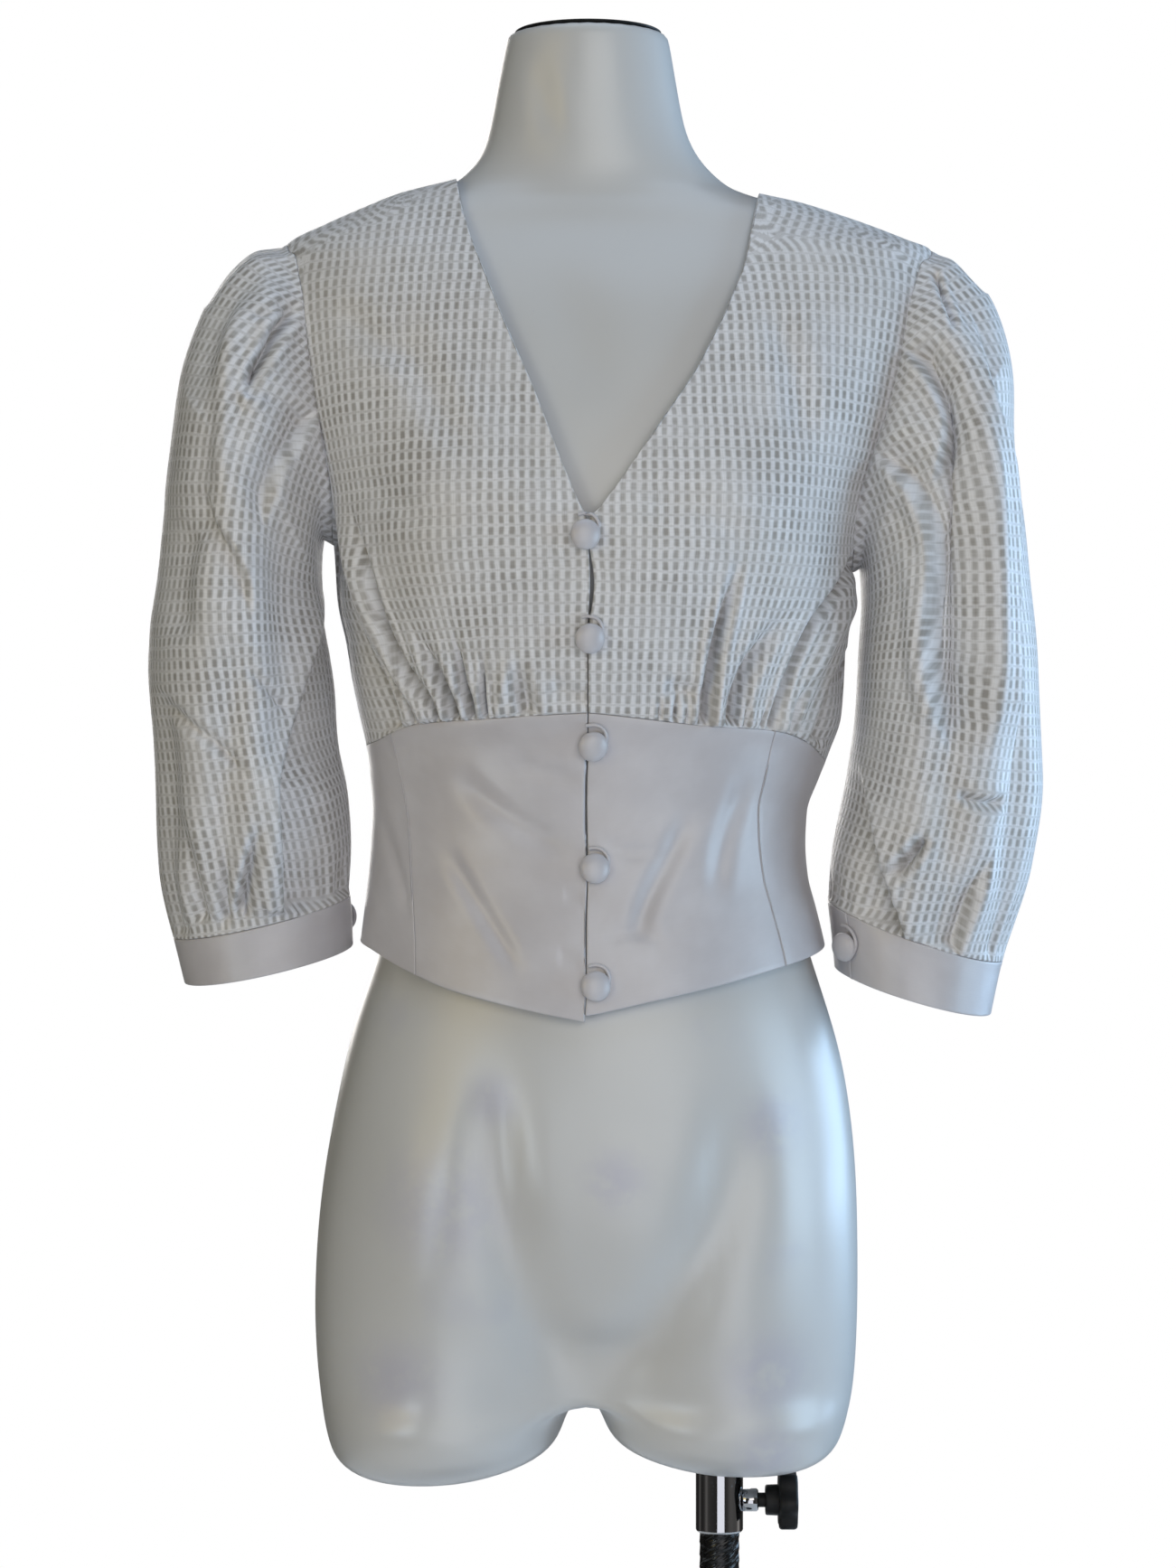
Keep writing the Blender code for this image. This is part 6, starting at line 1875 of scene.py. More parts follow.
    @staticmethod
    def model(mesh: bpy.types.Mesh) -> None:
        """Presses the groins in and brings the belly and the thighs out on the form's front.

        Args:
            mesh: The form's mesh.
        """
        middle = np.array([CENTRE_X, 0.0, 0.0])
        points = np.array([vertex.co for vertex in mesh.vertices]) - middle
        normals = np.array([vertex.normal for vertex in mesh.vertices])
        to_eye = 1 - fade((-normals[:, 1] - 0.10) / 0.55)
        move = to_eye * sum(crease.press(as_seen(points, FRONT)) for crease in FORM_RELIEF)
        moved = points + middle + normals * move[:, None]
        mesh.vertices.foreach_set("co", moved.astype(np.float32).ravel())

    @staticmethod
    def bore(form: bpy.types.Object) -> None:
        """Bores the socket that the collar is set in.

        Args:
            form: The form.
        """
        shape = bmesh.new()
        radius = COLLAR_R + RUNNING_GAP
        place = (POLE_X + CENTRE_X, 0, (SOCKET_TOP + SOCKET_FOOT) / 2)
        bmesh.ops.create_cone(shape, cap_ends=True, segments=64, radius1=radius, radius2=radius,
                              depth=SOCKET_TOP - SOCKET_FOOT, matrix=Matrix.Translation(place))
        mesh = bpy.data.meshes.new("socket")
        shape.to_mesh(mesh)
        shape.free()
        tool = new_object("socket", mesh)
        change = form.modifiers.new("Socket", "BOOLEAN")
        change.operation = "DIFFERENCE"
        change.object = tool
        depsgraph = bpy.context.evaluated_depsgraph_get()
        bored = bpy.data.meshes.new_from_object(form.evaluated_get(depsgraph), depsgraph=depsgraph)
        form.modifiers.clear()
        form.data = bored
        bored.shade_smooth()
        bored.set_sharp_from_angle(angle=math.radians(55))
        bpy.data.objects.remove(tool)


def ring_faces(low: Sequence[int], high: Sequence[int]) -> list[tuple[int, ...]]:
    """Joins two rings of points.

    Args:
        low: The numbers of the lower ring's points.
        high: The numbers of the upper ring's points.

    Returns:
        The faces.
    """
    count = len(low)
    return [(low[i], low[(i + 1) % count], high[(i + 1) % count], high[i]) for i in range(count)]


def rounded(radius: float, top: float, edge: float = 0.002) -> list[tuple[float, float]]:
    """Rounds the rim of a turned piece.

    Args:
        radius: The piece's radius.
        top: Its height.
        edge: The rounding's radius.

    Returns:
        Radii and heights, outwards and down.
    """
    return [(radius - edge + edge * math.sin(a), top - edge + edge * math.cos(a))
            for a in np.radians(np.linspace(0, 90, 7))]


@dataclass
class Stand:
    """The round base, the taped pole, the chrome collar and the clamp's knob."""
    tape_pitch: float = 0.0077
    tape_ridge: float = 0.0006
    sides: int = 96

    def build(self) -> None:
        """Builds every piece of the stand."""
        self.base()
        self.pole()
        self.collar()
        self.knob()

    def base(self) -> None:
        """Turns the base plate and the hub on it."""
        r, t = BASE_R, BASE_THICK
        plate = [(0.0, t), (r * 0.4, t), (r * 0.8, t), (r * 0.97, t), *rounded(r, t),
                 (r, 0.0005), (r - 0.0005, 0.0), (0.0, 0.0)]
        turned("base_plate_disc", plate, 144, "base_metal", "base", "base_plate")
        bore, foot = POLE_R + RUNNING_GAP, BASE_THICK + SEAT
        outline = [(bore, HUB_TOP - 0.0004), (bore + 0.0004, HUB_TOP), *rounded(HUB_R, HUB_TOP),
                   (HUB_R, foot), (bore, foot)]
        hub = turned("base_hub_ring", outline, self.sides, "base_metal", "base", "base_hub", closed=True)
        hub.location.x = POLE_X + CENTRE_X

    def pole(self) -> None:
        """Winds the pole's tape: a bar with one low helical ridge, closed at its ends."""
        foot = BASE_THICK + SEAT
        turns_up = (POLE_TOP - foot) / self.tape_pitch
        around, levels = 64, int(turns_up * 7)
        height = np.linspace(foot, POLE_TOP, levels + 1)
        angle = np.linspace(0, 2 * math.pi, around, endpoint=False)
        phase = (height[:, None] / self.tape_pitch + angle[None, :] / (2 * math.pi)) % 1
        step = np.clip(phase / 0.16, 0, 1) * (1 - 0.8 * phase)
        radius = POLE_R - self.tape_ridge * (1 - step)
        radius[0] = radius[-1] = POLE_R - self.tape_ridge
        points = np.stack([radius * np.cos(angle), radius * np.sin(angle), height[:, None] + 0 * radius],
                          axis=-1)
        mesh = bpy.data.meshes.new("pole_tape")
        index = np.arange(points[..., 0].size).reshape(points.shape[:2])
        faces = [f for low, high in zip(index, index[1:]) for f in ring_faces(low.tolist(), high.tolist())]
        faces += [tuple(index[-1].tolist()), tuple(index[0][::-1].tolist())]
        mesh.from_pydata(points.reshape(-1, 3).tolist(), [], faces)
        mesh.shade_smooth()
        mesh.set_sharp_from_angle(angle=math.radians(60))
        made = new_object("pole_tape", mesh)
        made.location.x = POLE_X + CENTRE_X
        settle_piece(made, "black_tape", "pole", "pole")

    def collar(self) -> None:
        """Turns the chrome collar and the boss that the clamp's screw goes through."""
        bore, e = POLE_R + RUNNING_GAP, 0.0004
        outline = [(bore, COLLAR_TOP), (COLLAR_R - e, COLLAR_TOP), (COLLAR_R, COLLAR_TOP - e),
                   (COLLAR_R, COLLAR_TOP - 3 * e), (COLLAR_R, COLLAR_BOTTOM + 5 * e),
                   (COLLAR_R, COLLAR_BOTTOM + 3 * e), (COLLAR_R - e, COLLAR_BOTTOM + e),
                   (COLLAR_R - 2 * e, COLLAR_BOTTOM), (bore, COLLAR_BOTTOM)]
        collar = turned("collar_tube", outline, self.sides, "chrome", "form", "collar", closed=True)
        collar.location.x = POLE_X + CENTRE_X
        screw, foot = SCREW_R + RUNNING_GAP, POLE_R + 0.0016
        outline = [(screw, BOSS_END), (BOSS_R - 0.0010, BOSS_END), (BOSS_R, BOSS_END - 0.0010),
                   (BOSS_R, POLE_R + 0.0022), (BOSS_R - 0.0006, foot), (screw, foot)]
        boss = turned("clamp_boss_nut", outline, self.sides, "chrome", "form", closed=True)
        boss.rotation_euler = (0.0, math.pi / 2, 0.0)
        boss.location = (POLE_X + CENTRE_X, 0.0, CLAMP_Z)

    def knob(self) -> None:
        """Shapes the clamp's screw, its hub and its lobed head as one piece that turns about X."""
        tip, count = POLE_R + 2 * RUNNING_GAP, 144
        outline = [(tip, 0.0), (tip, SCREW_R - 0.0004), (tip + 0.0004, SCREW_R), (KNOB_HUB_START, SCREW_R),
                   (KNOB_HUB_START, KNOB_HUB_R - 0.0006), (KNOB_HUB_START + 0.0006, KNOB_HUB_R),
                   (KNOB_HEAD_START, KNOB_HUB_R + 0.0003)]
        head = [(KNOB_HEAD_START, 0.93), (KNOB_HEAD_START + 0.0005, 0.97), (KNOB_HEAD_START + 0.0015, 1.0),
                (KNOB_END - 0.0022, 1.0), (KNOB_END - 0.0010, 0.975), (KNOB_END - 0.0003, 0.93),
                (KNOB_END - 0.0001, 0.85), (KNOB_END - 0.0001, 0.5), (KNOB_END, 0.2), (KNOB_END, 0.0)]
        turn = np.linspace(0, 2 * math.pi, count, endpoint=False)
        lobed = KNOB_R + KNOB_LOBE_DEPTH * np.cos(KNOB_LOBES * turn)
        levels = [(along, r + 0 * turn) for along, r in outline] + [(along, lobed * s) for along, s in head]
        points = [np.stack([along + 0 * turn, r * np.cos(turn), r * np.sin(turn)], axis=-1)
                  for along, r in levels]
        index = np.arange(len(levels) * count).reshape(len(levels), count)
        faces = [f for low, high in zip(index, index[1:]) for f in ring_faces(low.tolist(), high.tolist())]
        mesh = bpy.data.meshes.new("clamp_knob_grip")
        mesh.from_pydata(np.concatenate(points).tolist(), [], faces)
        shape = bmesh.new()
        shape.from_mesh(mesh)
        bmesh.ops.remove_doubles(shape, verts=shape.verts, dist=0.000001)
        bmesh.ops.recalc_face_normals(shape, faces=shape.faces)
        shape.to_mesh(mesh)
        shape.free()
        mesh.shade_smooth()
        mesh.set_sharp_from_angle(angle=math.radians(40))
        made = new_object("clamp_knob_grip", mesh)
        made.location = (POLE_X + CENTRE_X, 0.0, CLAMP_Z)
        settle_piece(made, "black_plastic", "knob", "clamp_knob")


Colour = tuple[float, float, float]


class Signal:
    """A socket that takes part in sums as a number does."""

    def __init__(self, bench: Bench, socket: bpy.types.NodeSocket) -> None:
        """Keeps the bench and the socket."""
        self.bench, self.socket = bench, socket

    def maths(self, operation: str, *values: Any) -> Signal:
        """Adds a Math node."""
        node = self.bench.node("ShaderNodeMath", {"operation": operation}, dict(enumerate(values)))
        return Signal(self.bench, node.outputs[0])

    def __add__(self, other: Any) -> Signal:
        """Adds."""
        return self.maths("ADD", self, other)

    def __radd__(self, other: Any) -> Signal:
        """Adds."""
        return self.maths("ADD", other, self)

    def __sub__(self, other: Any) -> Signal:
        """Subtracts."""
        return self.maths("SUBTRACT", self, other)

    def __rsub__(self, other: Any) -> Signal:
        """Subtracts from a number."""
        return self.maths("SUBTRACT", other, self)

    def __mul__(self, other: Any) -> Signal:
        """Multiplies."""
        return self.maths("MULTIPLY", self, other)

    def __rmul__(self, other: Any) -> Signal:
        """Multiplies."""
        return self.maths("MULTIPLY", other, self)

    def __truediv__(self, other: Any) -> Signal:
        """Divides."""
        return self.maths("DIVIDE", self, other)

    def __rtruediv__(self, other: Any) -> Signal:
        """Divides a number."""
        return self.maths("DIVIDE", other, self)

    def wave(self, length: float) -> Signal:
        """Runs from 0 at each multiple of a length to 1 halfway between them."""
        return self.maths("PINGPONG", self / length, 0.5) * 2

    def sine(self, length: float) -> Signal:
        """Swings between -1 and 1 over a length."""
        return self.maths("SINE", self * (2 * math.pi / length))

    def rise(self, low: float, high: float) -> Signal:
        """Rises smoothly from 0 to 1 between two values.

        Args:
            low: Where it starts.
            high: Where it ends.

        Returns:
            The rise.
        """
        node = self.bench.node("ShaderNodeMapRange", {"interpolation_type": "SMOOTHSTEP"},
                               {"Value": self, "From Min": low, "From Max": high})
        return Signal(self.bench, node.outputs[0])


class Bench:
    """A material in the making."""

    def __init__(self, name: str) -> None:
        """Starts a material.

        Args:
            name: Its name.
        """
        self.material = bpy.data.materials.new(name)
        self.material.use_nodes = True
        self.tree = self.material.node_tree
        self.shader = self.tree.nodes["Principled BSDF"]

    def node(self, kind: str, settings: dict[str, Any], inputs: dict[Any, Any]) -> bpy.types.Node:
        """Adds a node.

        Args:
            kind: The node's type.
            settings: Its settings, and under "stops" a ramp's places and colours.
            inputs: Values or links, by the sockets' names or numbers.

        Returns:
            The node.
        """
        node = self.tree.nodes.new(kind)
        for key, value in settings.items():
            if key == "stops":
                self.stops(node.color_ramp.elements, value)
            else:
                setattr(node, key, value)
        for key, value in inputs.items():
            self.feed(node.inputs[key], value)
        return node

    @staticmethod
    def stops(elements: Any, stops: Sequence[tuple[float, tuple[float, float, float]]]) -> None:
        """Sets a ramp's stops.

        Args:
            elements: The ramp's elements.
            stops: Places and colours.
        """
        while len(elements) < len(stops):
            elements.new(0.5)
        for element, (place, colour) in zip(elements, stops):
            element.position = place
            element.color = (*colour, 1.0)

    def feed(self, socket: bpy.types.NodeSocket, value: Any) -> None:
        """Links a signal or a socket to an input, or sets its value.

        Args:
            socket: The input.
            value: The signal, socket, number, vector or colour.
        """
        if isinstance(value, Signal):
            value = value.socket
        if isinstance(value, bpy.types.NodeSocket):
            self.tree.links.new(value, socket)
        elif socket.type == "RGBA" and len(value) == 3:
            socket.default_value = (*value, 1.0)
        else:
            socket.default_value = value

    def place(self) -> bpy.types.NodeSocket:
        """Reads the place on the object, in metres."""
        return self.node("ShaderNodeTexCoord", {}, {}).outputs["Object"]

    def flat_cut(self) -> tuple[Signal, Signal]:
        """Reads the place on the flat cut of the cloth: across it and along it, in metres."""
        cut = self.node("ShaderNodeUVMap", {"uv_map": "cut"}, {})
        parts = self.node("ShaderNodeSeparateXYZ", {}, {0: cut.outputs[0]})
        return Signal(self, parts.outputs[0]), Signal(self, parts.outputs[1])

    def join(self, x: Any, y: Any, z: Any = 0.0) -> bpy.types.NodeSocket:
        """Makes a vector."""
        return self.node("ShaderNodeCombineXYZ", {}, {0: x, 1: y, 2: z}).outputs[0]

    def noise(self, at: bpy.types.NodeSocket, scale: float, detail: float = 2.0,
              rough: float = 0.5) -> Signal:
        """Adds a noise that runs from 0 to 1.

        Args:
            at: Where it is read.
            scale: How many of its bumps there are to a metre.
            detail: How much finer detail it has.
            rough: How strong the finer detail is.

        Returns:
            The noise.
        """
        node = self.node("ShaderNodeTexNoise", {}, {"Vector": at, "Scale": scale, "Detail": detail,
                                                     "Roughness": rough})
        return Signal(self, node.outputs[0])

    def mix(self, share: Any, low: Any, high: Any) -> bpy.types.NodeSocket:
        """Mixes two colours."""
        return self.node("ShaderNodeMix", {"data_type": "RGBA"}, {0: share, 6: low, 7: high}).outputs[2]

    def finish(self, colour: Any, roughness: Any, height: Any = None, depth: float = 0.0003,
               strength: float = 0.6, **constants: Any) -> bpy.types.Material:
        """Feeds the shader.

        Args:
            colour: The base colour.
            roughness: The roughness.
            height: The relief, from 0 to 1.
            depth: How deep the relief is, in metres.
            strength: How strongly it shows.
            **constants: Values of the shader's own sockets, by name with _ for a space.

        Returns:
            The material.
        """
        self.feed(self.shader.inputs["Base Color"], colour)
        self.feed(self.shader.inputs["Roughness"], roughness)
        if height is not None:
            bump = self.node("ShaderNodeBump", {}, {"Height": height, "Distance": depth,
                                                    "Strength": strength})
            self.feed(self.shader.inputs["Normal"], bump.outputs[0])
        for name, value in constants.items():
            self.feed(self.shader.inputs[name.replace("_", " ")], value)
        return self.material


@dataclass(frozen=True)
class CheckCloth:
    """The woven self-check: a light band, small sheer squares on each side of it painted dark for the shade
    seen through them, and shinier pips between, lightened with painted highlights.
    """
    name: str = "check_cloth"
    across: float = 0.0061
    along: float = 0.0133
    # dark is a warm grey, the painted shade in the sheer squares and the weave's low tones; light is the
    # cloth's white with the bluish cast of painted highlights
    dark: Colour = (0.310, 0.297, 0.283)
    light: Colour = (0.820, 0.826, 0.860)
    warm: Colour = (0.640, 0.600, 0.550)

    def make(self) -> bpy.types.Material:
        """Makes the material."""
        bench = Bench(self.name)
        u, v = bench.flat_cut()
        at = bench.join(u, v)
        u = u + (bench.noise(at, 70.0, 2.0) - 0.5) * 0.0022
        v = v + (bench.noise(bench.join(v, u), 60.0, 2.0) - 0.5) * 0.0022
        column = u.wave(self.across)
        row = v.wave(self.along)
        patches = bench.noise(at, 30.0, 3.0).rise(0.30, 0.72)
        bright = column.rise(0.18, 0.82)
        tier = row * (1 - row) * 4
        band = 1 - row.rise(0.05, 0.26)
        # The sheer squares are painted dark for the shade seen through them, stronger in some random patches
        # than in others
        shaded_sheer_square = (1 - bright) * tier.rise(0.30, 0.85) * (0.34 + patches * 0.72)
        # The pips are painted lighter as a highlight as well as made shinier; the glints are two thin painted
        # highlights along each pip's sides
        pip = bright * tier.rise(0.12, 0.60) * (0.6 + bench.noise(at, 160.0, 1.0) * 0.8)
        painted_pip_glint = pip * (1 - ((column - 0.84).maths("ABSOLUTE") * 8.0).rise(0.0, 1.0))
        slub = bench.noise(bench.join(u * 60, v * 900), 1.0, 3.0) - 0.5
        upright = bench.noise(bench.join(u * 1500, v * 70), 1.0, 3.0) - 0.5
        patchy = bench.noise(at, 24.0, 2.0) - 0.5
        tone = (0.50 - shaded_sheer_square * 0.52 + pip * 0.30 + painted_pip_glint * 0.20 + band * 0.10
                + slub * 0.32 + upright * 0.42 + patchy * 0.28)
        weave = bench.mix(tone, self.dark, self.light)
        colour = bench.mix(bench.noise(at, 9.0, 2.0).rise(0.42, 0.78) * 0.30, weave, self.warm)
        height = 0.35 + pip * 0.40 + band * 0.16 - shaded_sheer_square * 0.35 + upright * 0.40 + slub * 0.30
        return bench.finish(colour, 0.62 - pip * 0.18 - band * 0.05, height, 0.00030, 0.50,
                            Sheen_Weight=0.22, Sheen_Roughness=0.40)


@dataclass(frozen=True)
class SatinCloth:
    """The plain satin of the band, cuffs, buttons and loops."""
    name: str = "satin_cloth"
    base: Colour = (0.500, 0.480, 0.500)
    pale: Colour = (0.620, 0.607, 0.635)
    flat: bool = True

    def make(self) -> bpy.types.Material:
        """Makes the material."""
        bench = Bench(self.name)
        if self.flat:
            u, v = bench.flat_cut()
        else:
            parts = bench.node("ShaderNodeSeparateXYZ", {}, {0: bench.place()})
            u, v = Signal(bench, parts.outputs[0]), Signal(bench, parts.outputs[1])
        at = bench.join(u, v)
        twill = (u * 0.8 + v).sine(0.00075)
        thread = bench.noise(bench.join(u * 120, v * 1800), 1.0, 3.0) - 0.5
        cloudy = bench.noise(at, 30.0, 3.0)
        colour = bench.mix(cloudy.rise(0.3, 0.8) * 0.55 + thread * 0.25, self.base, self.pale)
        height = 0.5 + twill * 0.12 + thread * 0.5 + (cloudy - 0.5) * 0.6
        roughness = 0.40 + (bench.noise(at, 60.0, 2.0) - 0.5) * 0.12
        return bench.finish(colour, roughness, height, 0.00018, 0.35, Sheen_Weight=0.25, Sheen_Roughness=0.35,
                            Specular_IOR_Level=0.95)


@dataclass(frozen=True)
class FormShell:
    """The form's off-white moulded shell, with a satin sheen, faint violet stains and scuffs, and a painted
    bluish-violet tint on its hips and thighs for the bluish reflections there.
    """
    name: str = "form_shell"
    base: Colour = (0.560, 0.562, 0.560)
    # The violet of the random stains and scuffs, also used for the painted tint of the bluish reflections
    stain_and_tint_colour: Colour = (0.400, 0.390, 0.520)
    # Spots on the hips and thighs painted with the bluish-violet tint of reflected light: across, up, and how
    # far each reaches
    reflection_tint_spots: tuple[tuple[float, float, float], ...] = (
        (-0.092, 0.786, 0.055), (-0.118, 0.680, 0.040), (0.106, 0.834, 0.030), (0.102, 0.684, 0.040),
        (0.012, 0.804, 0.028), (0.102, 0.636, 0.030), (-0.060, 0.850, 0.025))

    def make(self) -> bpy.types.Material:
        """Makes the material."""
        bench = Bench(self.name)
        at = bench.place()
        parts = bench.node("ShaderNodeSeparateXYZ", {}, {0: at})
        flat = bench.join(parts.outputs[0], 0.0, parts.outputs[2])
        cloud = bench.noise(at, 42.0, 3.0, 0.6)
        stain_and_tint_share = bench.noise(at, 13.0, 3.0, 0.55).rise(0.64, 0.80) * 0.4
        # Each spot is a painted reflection tint; only the noise stains above are random stains
        for x, z, reach in self.reflection_tint_spots:
            apart = bench.node("ShaderNodeVectorMath", {"operation": "DISTANCE"}, {0: flat, 1: (x, 0.0, z)})
            near = 1 - (Signal(bench, apart.outputs["Value"]) / reach + (cloud - 0.5) * 1.2).rise(0.2, 1.0)
            stain_and_tint_share = stain_and_tint_share.maths("MAXIMUM", stain_and_tint_share, near * cloud.rise(0.30, 0.62))
        scuff = bench.noise(at, 210.0, 4.0, 0.6).rise(0.66, 0.76)
        colour = bench.mix(stain_and_tint_share * 0.42 + scuff * 0.10, self.base, self.stain_and_tint_colour)
        roughness = 0.28 + bench.noise(at, 18.0, 2.0) * 0.10 + scuff * 0.15
        height = bench.noise(at, 34.0, 2.0) * 0.8 + bench.noise(at, 900.0, 2.0) * 0.12
        return bench.finish(colour, roughness, height, 0.0008, 0.16, Specular_IOR_Level=0.8)


@dataclass(frozen=True)
class Chrome:
    """The collar's polished chrome, with faint rubbing marks."""
    name: str = "chrome"
    plain: Colour = (0.50, 0.50, 0.51)
    rubbed: Colour = (0.36, 0.36, 0.38)

    def make(self) -> bpy.types.Material:
        """Makes the material."""
        bench = Bench(self.name)
        at = bench.place()
        rub = bench.noise(at, 260.0, 4.0, 0.6).rise(0.55, 0.80)
        colour = bench.mix(rub * 0.35, self.plain, self.rubbed)
        roughness = 0.07 + rub * 0.12
        return bench.finish(colour, roughness, bench.noise(at, 120.0, 2.0), 0.00006, 0.20, Metallic=1.0)


@dataclass(frozen=True)
class Moulded:
    """Black moulded plastic with a fine grain and rubbed lobes."""
    name: str = "black_plastic"
    plain: Colour = (0.006, 0.006, 0.006)
    rubbed: Colour = (0.018, 0.018, 0.020)

    def make(self) -> bpy.types.Material:
        """Makes the material."""
        bench = Bench(self.name)
        at = bench.place()
        grain = bench.noise(at, 2600.0, 2.0)
        patches = bench.noise(at, 90.0, 3.0).rise(0.55, 0.80)
        colour = bench.mix(patches * 0.5, self.plain, self.rubbed)
        roughness = 0.46 - patches * 0.10 + grain * 0.06
        return bench.finish(colour, roughness, grain, 0.00010, 0.30, Specular_IOR_Level=0.25)


@dataclass(frozen=True)
class Tape:
    """Black vinyl tape wound round the pole on a slant, wrinkled and glossy along its wrinkles."""
    name: str = "black_tape"
    slant: float = math.radians(28)
    lap: float = 0.016
    plain: Colour = (0.003, 0.003, 0.003)
    dusty: Colour = (0.010, 0.010, 0.012)

    def make(self) -> bpy.types.Material:
        """Makes the material."""
        bench = Bench(self.name)
        at = bench.place()
        parts = bench.node("ShaderNodeSeparateXYZ", {}, {0: at})
        x, y, z = (Signal(bench, parts.outputs[i]) for i in range(3))
        round_it = x.maths("ARCTAN2", x, y * -1) * POLE_R
        over = z * math.cos(self.slant) - round_it * math.sin(self.slant)
        along = z * math.sin(self.slant) + round_it * math.cos(self.slant)
        wrinkle = bench.noise(bench.join(over * 300, along * 50), 1.0, 2.0)
        lap = over.maths("FRACT", over / self.lap)
        dust = bench.noise(at, 45.0, 3.0).rise(0.55, 0.85)
        colour = bench.mix(dust * 0.5, self.plain, self.dusty)
        return bench.finish(colour, 0.24 + dust * 0.16, wrinkle + lap.rise(0.0, 0.12) * 0.4, 0.0016, 0.85,
                            Specular_IOR_Level=0.4)


@dataclass(frozen=True)
class PowderCoat:
    """The base's black powder coat, scuffed where it is walked past."""
    name: str = "base_metal"
    plain: Colour = (0.018, 0.018, 0.019)
    scuffed: Colour = (0.060, 0.060, 0.064)

    def make(self) -> bpy.types.Material:
        """Makes the material."""
        bench = Bench(self.name)
        at = bench.place()
        orange = bench.noise(at, 1100.0, 2.0)
        scuff = bench.noise(at, 70.0, 5.0, 0.65).rise(0.60, 0.74)
        colour = bench.mix(scuff * 0.5, self.plain, self.scuffed)
        return bench.finish(colour, 0.42 + scuff * 0.16, orange, 0.00016, 0.40, Metallic=0.3)


@dataclass(frozen=True)
class StudioFloor:
    """The plain pale floor."""
    name: str = "floor"

    def make(self) -> bpy.types.Material:
        """Makes the material."""
        bench = Bench(self.name)
        tone = bench.noise(bench.place(), 3.0, 2.0)
        colour = bench.mix(tone, (0.80, 0.80, 0.80), (0.86, 0.86, 0.86))
        return bench.finish(colour, 0.8)


# How light the room's walls and windows are, once round it from behind the object
WALLS = tuple((place, (light, light, light)) for place, light in (
    (0.00, 0.03), (0.16, 0.03), (0.19, 0.20), (0.22, 0.03), (0.29, 0.01), (0.31, 0.18), (0.34, 0.01),
    (0.42, 0.02), (0.44, 0.14), (0.47, 0.01), (0.53, 0.01), (0.55, 0.16), (0.60, 0.02), (0.68, 0.01),
    (0.71, 0.60), (0.74, 0.01), (0.84, 0.16), (0.90, 0.03), (1.00, 0.03)))
DRESS: dict[str, bpy.types.Material] = {}


def make_finishes() -> None:
    """Makes every finish under its slot's name."""
    finishes = {"check": CheckCloth(), "satin": SatinCloth(),
                "satin_round": SatinCloth("satin_cover", flat=False), "form_shell": FormShell(),
                "chrome": Chrome(), "black_plastic": Moulded(), "black_tape": Tape(),
                "base_metal": PowderCoat(), "floor": StudioFloor()}
    for slot, finish in finishes.items():
        DRESS[slot] = finish.make()


@dataclass
class Blouse:
    """The whole blouse: cloth, buttons and loops."""
    pieces: list[bpy.types.Object] = field(default_factory=list)

    def sew(self, cloth: Cloth, node: str, slot: str,
            weld: float = 0.0) -> None:
        """Builds a piece of cloth and puts it in its place.

        Args:
            cloth: The piece.
            node: The node that it stands for.
            slot: Its material slot.
            weld: How near points on the middle line become one.
        """
        piece = settle_piece(cloth.build(weld), slot, "form", node)
        self.pieces.append(piece)

    def build(self) -> None:
        """Builds the blouse."""
        bodice, midriff, sleeves = Bodice(), Midriff(), Sleeves()
        for side, name in SIDE_NAMES.items():
            self.sew(bodice.front(side), f"front_{name}", "check")
            front, flank = midriff.front_pieces(side)
            self.sew(front, f"band_front_{name}", "satin")
            self.sew(flank, f"band_side_{name}", "satin")
            self.sew(sleeves.sleeve(side), f"sleeve_{name}", "check")
            self.sew(sleeves.cuff(side), f"cuff_{name}", "satin")
        self.sew(bodice.back(), "back", "check", weld=0.0002)
        self.sew(midriff.back(), "band_back", "satin", weld=0.0002)
        near = [p for p in self.pieces if p.name.startswith(("front_", "band_front", "cuff_"))]
        Fastenings().build(Skin(near))


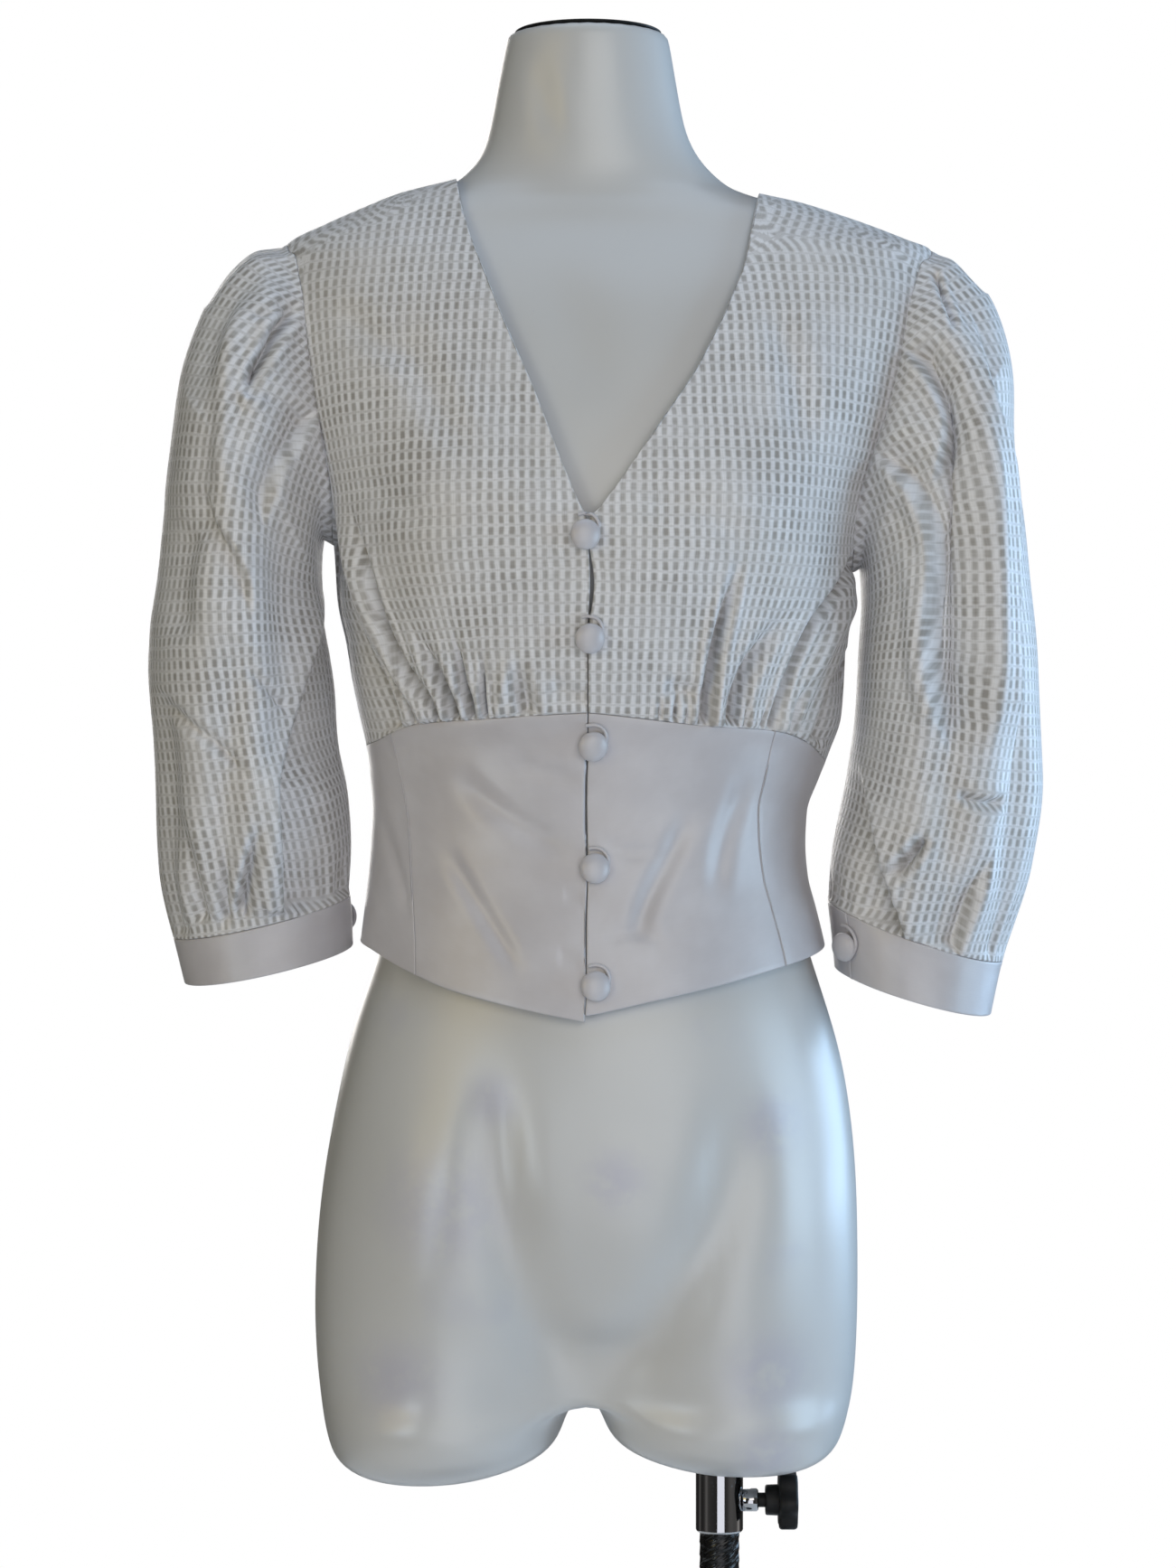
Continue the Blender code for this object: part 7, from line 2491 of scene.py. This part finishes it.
@dataclass
class Studio:
    """The camera, the soft lights and the pale floor."""
    lens: float = 81.52
    lights: tuple[tuple[str, tuple[float, float, float], float, float, tuple[float, float, float]], ...] = (
        ("window", (2.3, 1.1, 1.2), 1.4, 42.0, (0.48, 0.72, 1.0)),
        ("pane", (2.4, -0.7, 0.95), 1.2, 24.0, (0.54, 0.78, 1.0)),
        ("key", (0.6, -2.5, 1.7), 1.6, 17.0, (1.0, 0.97, 0.93)),
        ("lamp", (-2.0, -2.1, 1.6), 1.6, 12.0, (1.0, 0.77, 0.26)),
        ("strip", (-1.5, -2.2, 0.7), 0.5, 7.0, (0.70, 0.84, 1.0)),
        ("sky", (0.0, -0.4, 3.2), 2.0, 17.7, (0.62, 0.78, 1.0)),
        ("low", (0.3, -2.6, 0.1), 1.6, 12.0, (0.90, 0.92, 1.0)),
        ("behind", (-0.5, 2.6, 1.6), 1.6, 42.0, (1.0, 0.97, 0.93)),
    )

    def build(self) -> None:
        """Sets up the studio."""
        camera = bpy.data.cameras.new("camera")
        camera.sensor_fit = "VERTICAL"
        camera.sensor_height = 36.0
        camera.lens = self.lens
        holder = bpy.data.objects.new("camera", camera)
        holder.location = (CENTRE_X, -EYE_DISTANCE, EYE_HEIGHT)
        holder.rotation_euler = (math.pi / 2, 0.0, 0.0)
        bpy.context.scene.collection.objects.link(holder)
        bpy.context.scene.camera = holder
        for name, place, size, power, colour in self.lights:
            light = bpy.data.lights.new(name, "AREA")
            light.size = size
            light.energy = power
            light.color = colour
            lamp = bpy.data.objects.new(name, light)
            lamp.location = place
            aim = Vector((0.0, 0.0, 1.08)) - Vector(place)
            lamp.rotation_euler = aim.to_track_quat("-Z", "Y").to_euler()
            bpy.context.scene.collection.objects.link(lamp)
        self.surroundings()
        self.floor()

    @staticmethod
    def surroundings() -> None:
        """Makes the plain white that is seen behind, and the soft light that comes from all round."""
        world = bpy.data.worlds.new("studio")
        world.use_nodes = True
        tree = world.node_tree
        output = tree.nodes["World Output"]
        soft = tree.nodes["Background"]
        soft.inputs[0].default_value = (1.0, 0.96, 0.92, 1.0)
        way = tree.nodes.new("ShaderNodeTexCoord")
        parts = tree.nodes.new("ShaderNodeSeparateXYZ")
        around = tree.nodes.new("ShaderNodeMath")
        around.operation = "ARCTAN2"
        walls = tree.nodes.new("ShaderNodeValToRGB")
        walls.color_ramp.interpolation = "B_SPLINE"
        Bench.stops(walls.color_ramp.elements, WALLS)
        spread = tree.nodes.new("ShaderNodeMapRange")
        spread.inputs["From Min"].default_value = -math.pi
        spread.inputs["From Max"].default_value = math.pi
        tree.links.new(way.outputs["Generated"], parts.inputs[0])
        tree.links.new(parts.outputs[0], around.inputs[0])
        tree.links.new(parts.outputs[1], around.inputs[1])
        tree.links.new(around.outputs[0], spread.inputs["Value"])
        tree.links.new(spread.outputs[0], walls.inputs[0])
        tree.links.new(walls.outputs[0], soft.inputs[1])
        plain = tree.nodes.new("ShaderNodeBackground")
        plain.inputs[0].default_value = (1.0, 1.0, 1.0, 1.0)
        ray = tree.nodes.new("ShaderNodeLightPath")
        choose = tree.nodes.new("ShaderNodeMixShader")
        tree.links.new(ray.outputs["Is Camera Ray"], choose.inputs[0])
        tree.links.new(soft.outputs[0], choose.inputs[1])
        tree.links.new(plain.outputs[0], choose.inputs[2])
        tree.links.new(choose.outputs[0], output.inputs[0])
        bpy.context.scene.world = world
        bpy.context.scene.view_settings.view_transform = "Standard"

    @staticmethod
    def floor() -> None:
        """Lays the floor."""
        shape = bmesh.new()
        bmesh.ops.create_circle(shape, cap_ends=True, segments=96, radius=1.15)
        mesh = bpy.data.meshes.new("floor")
        shape.to_mesh(mesh)
        shape.free()
        mesh.materials.append(DRESS["floor"])
        made = new_object("floor", mesh)


def main() -> None:
    """Builds the blouse on its form, and the studio round it."""
    logging.basicConfig(level=logging.INFO, format="%(name)s: %(message)s")
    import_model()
    make_finishes()
    Studio().build()
    TorsoForm().build()
    Stand().build()
    Blouse().build()
    bpy.context.view_layer.update()


if __name__ == "__main__":
    main()
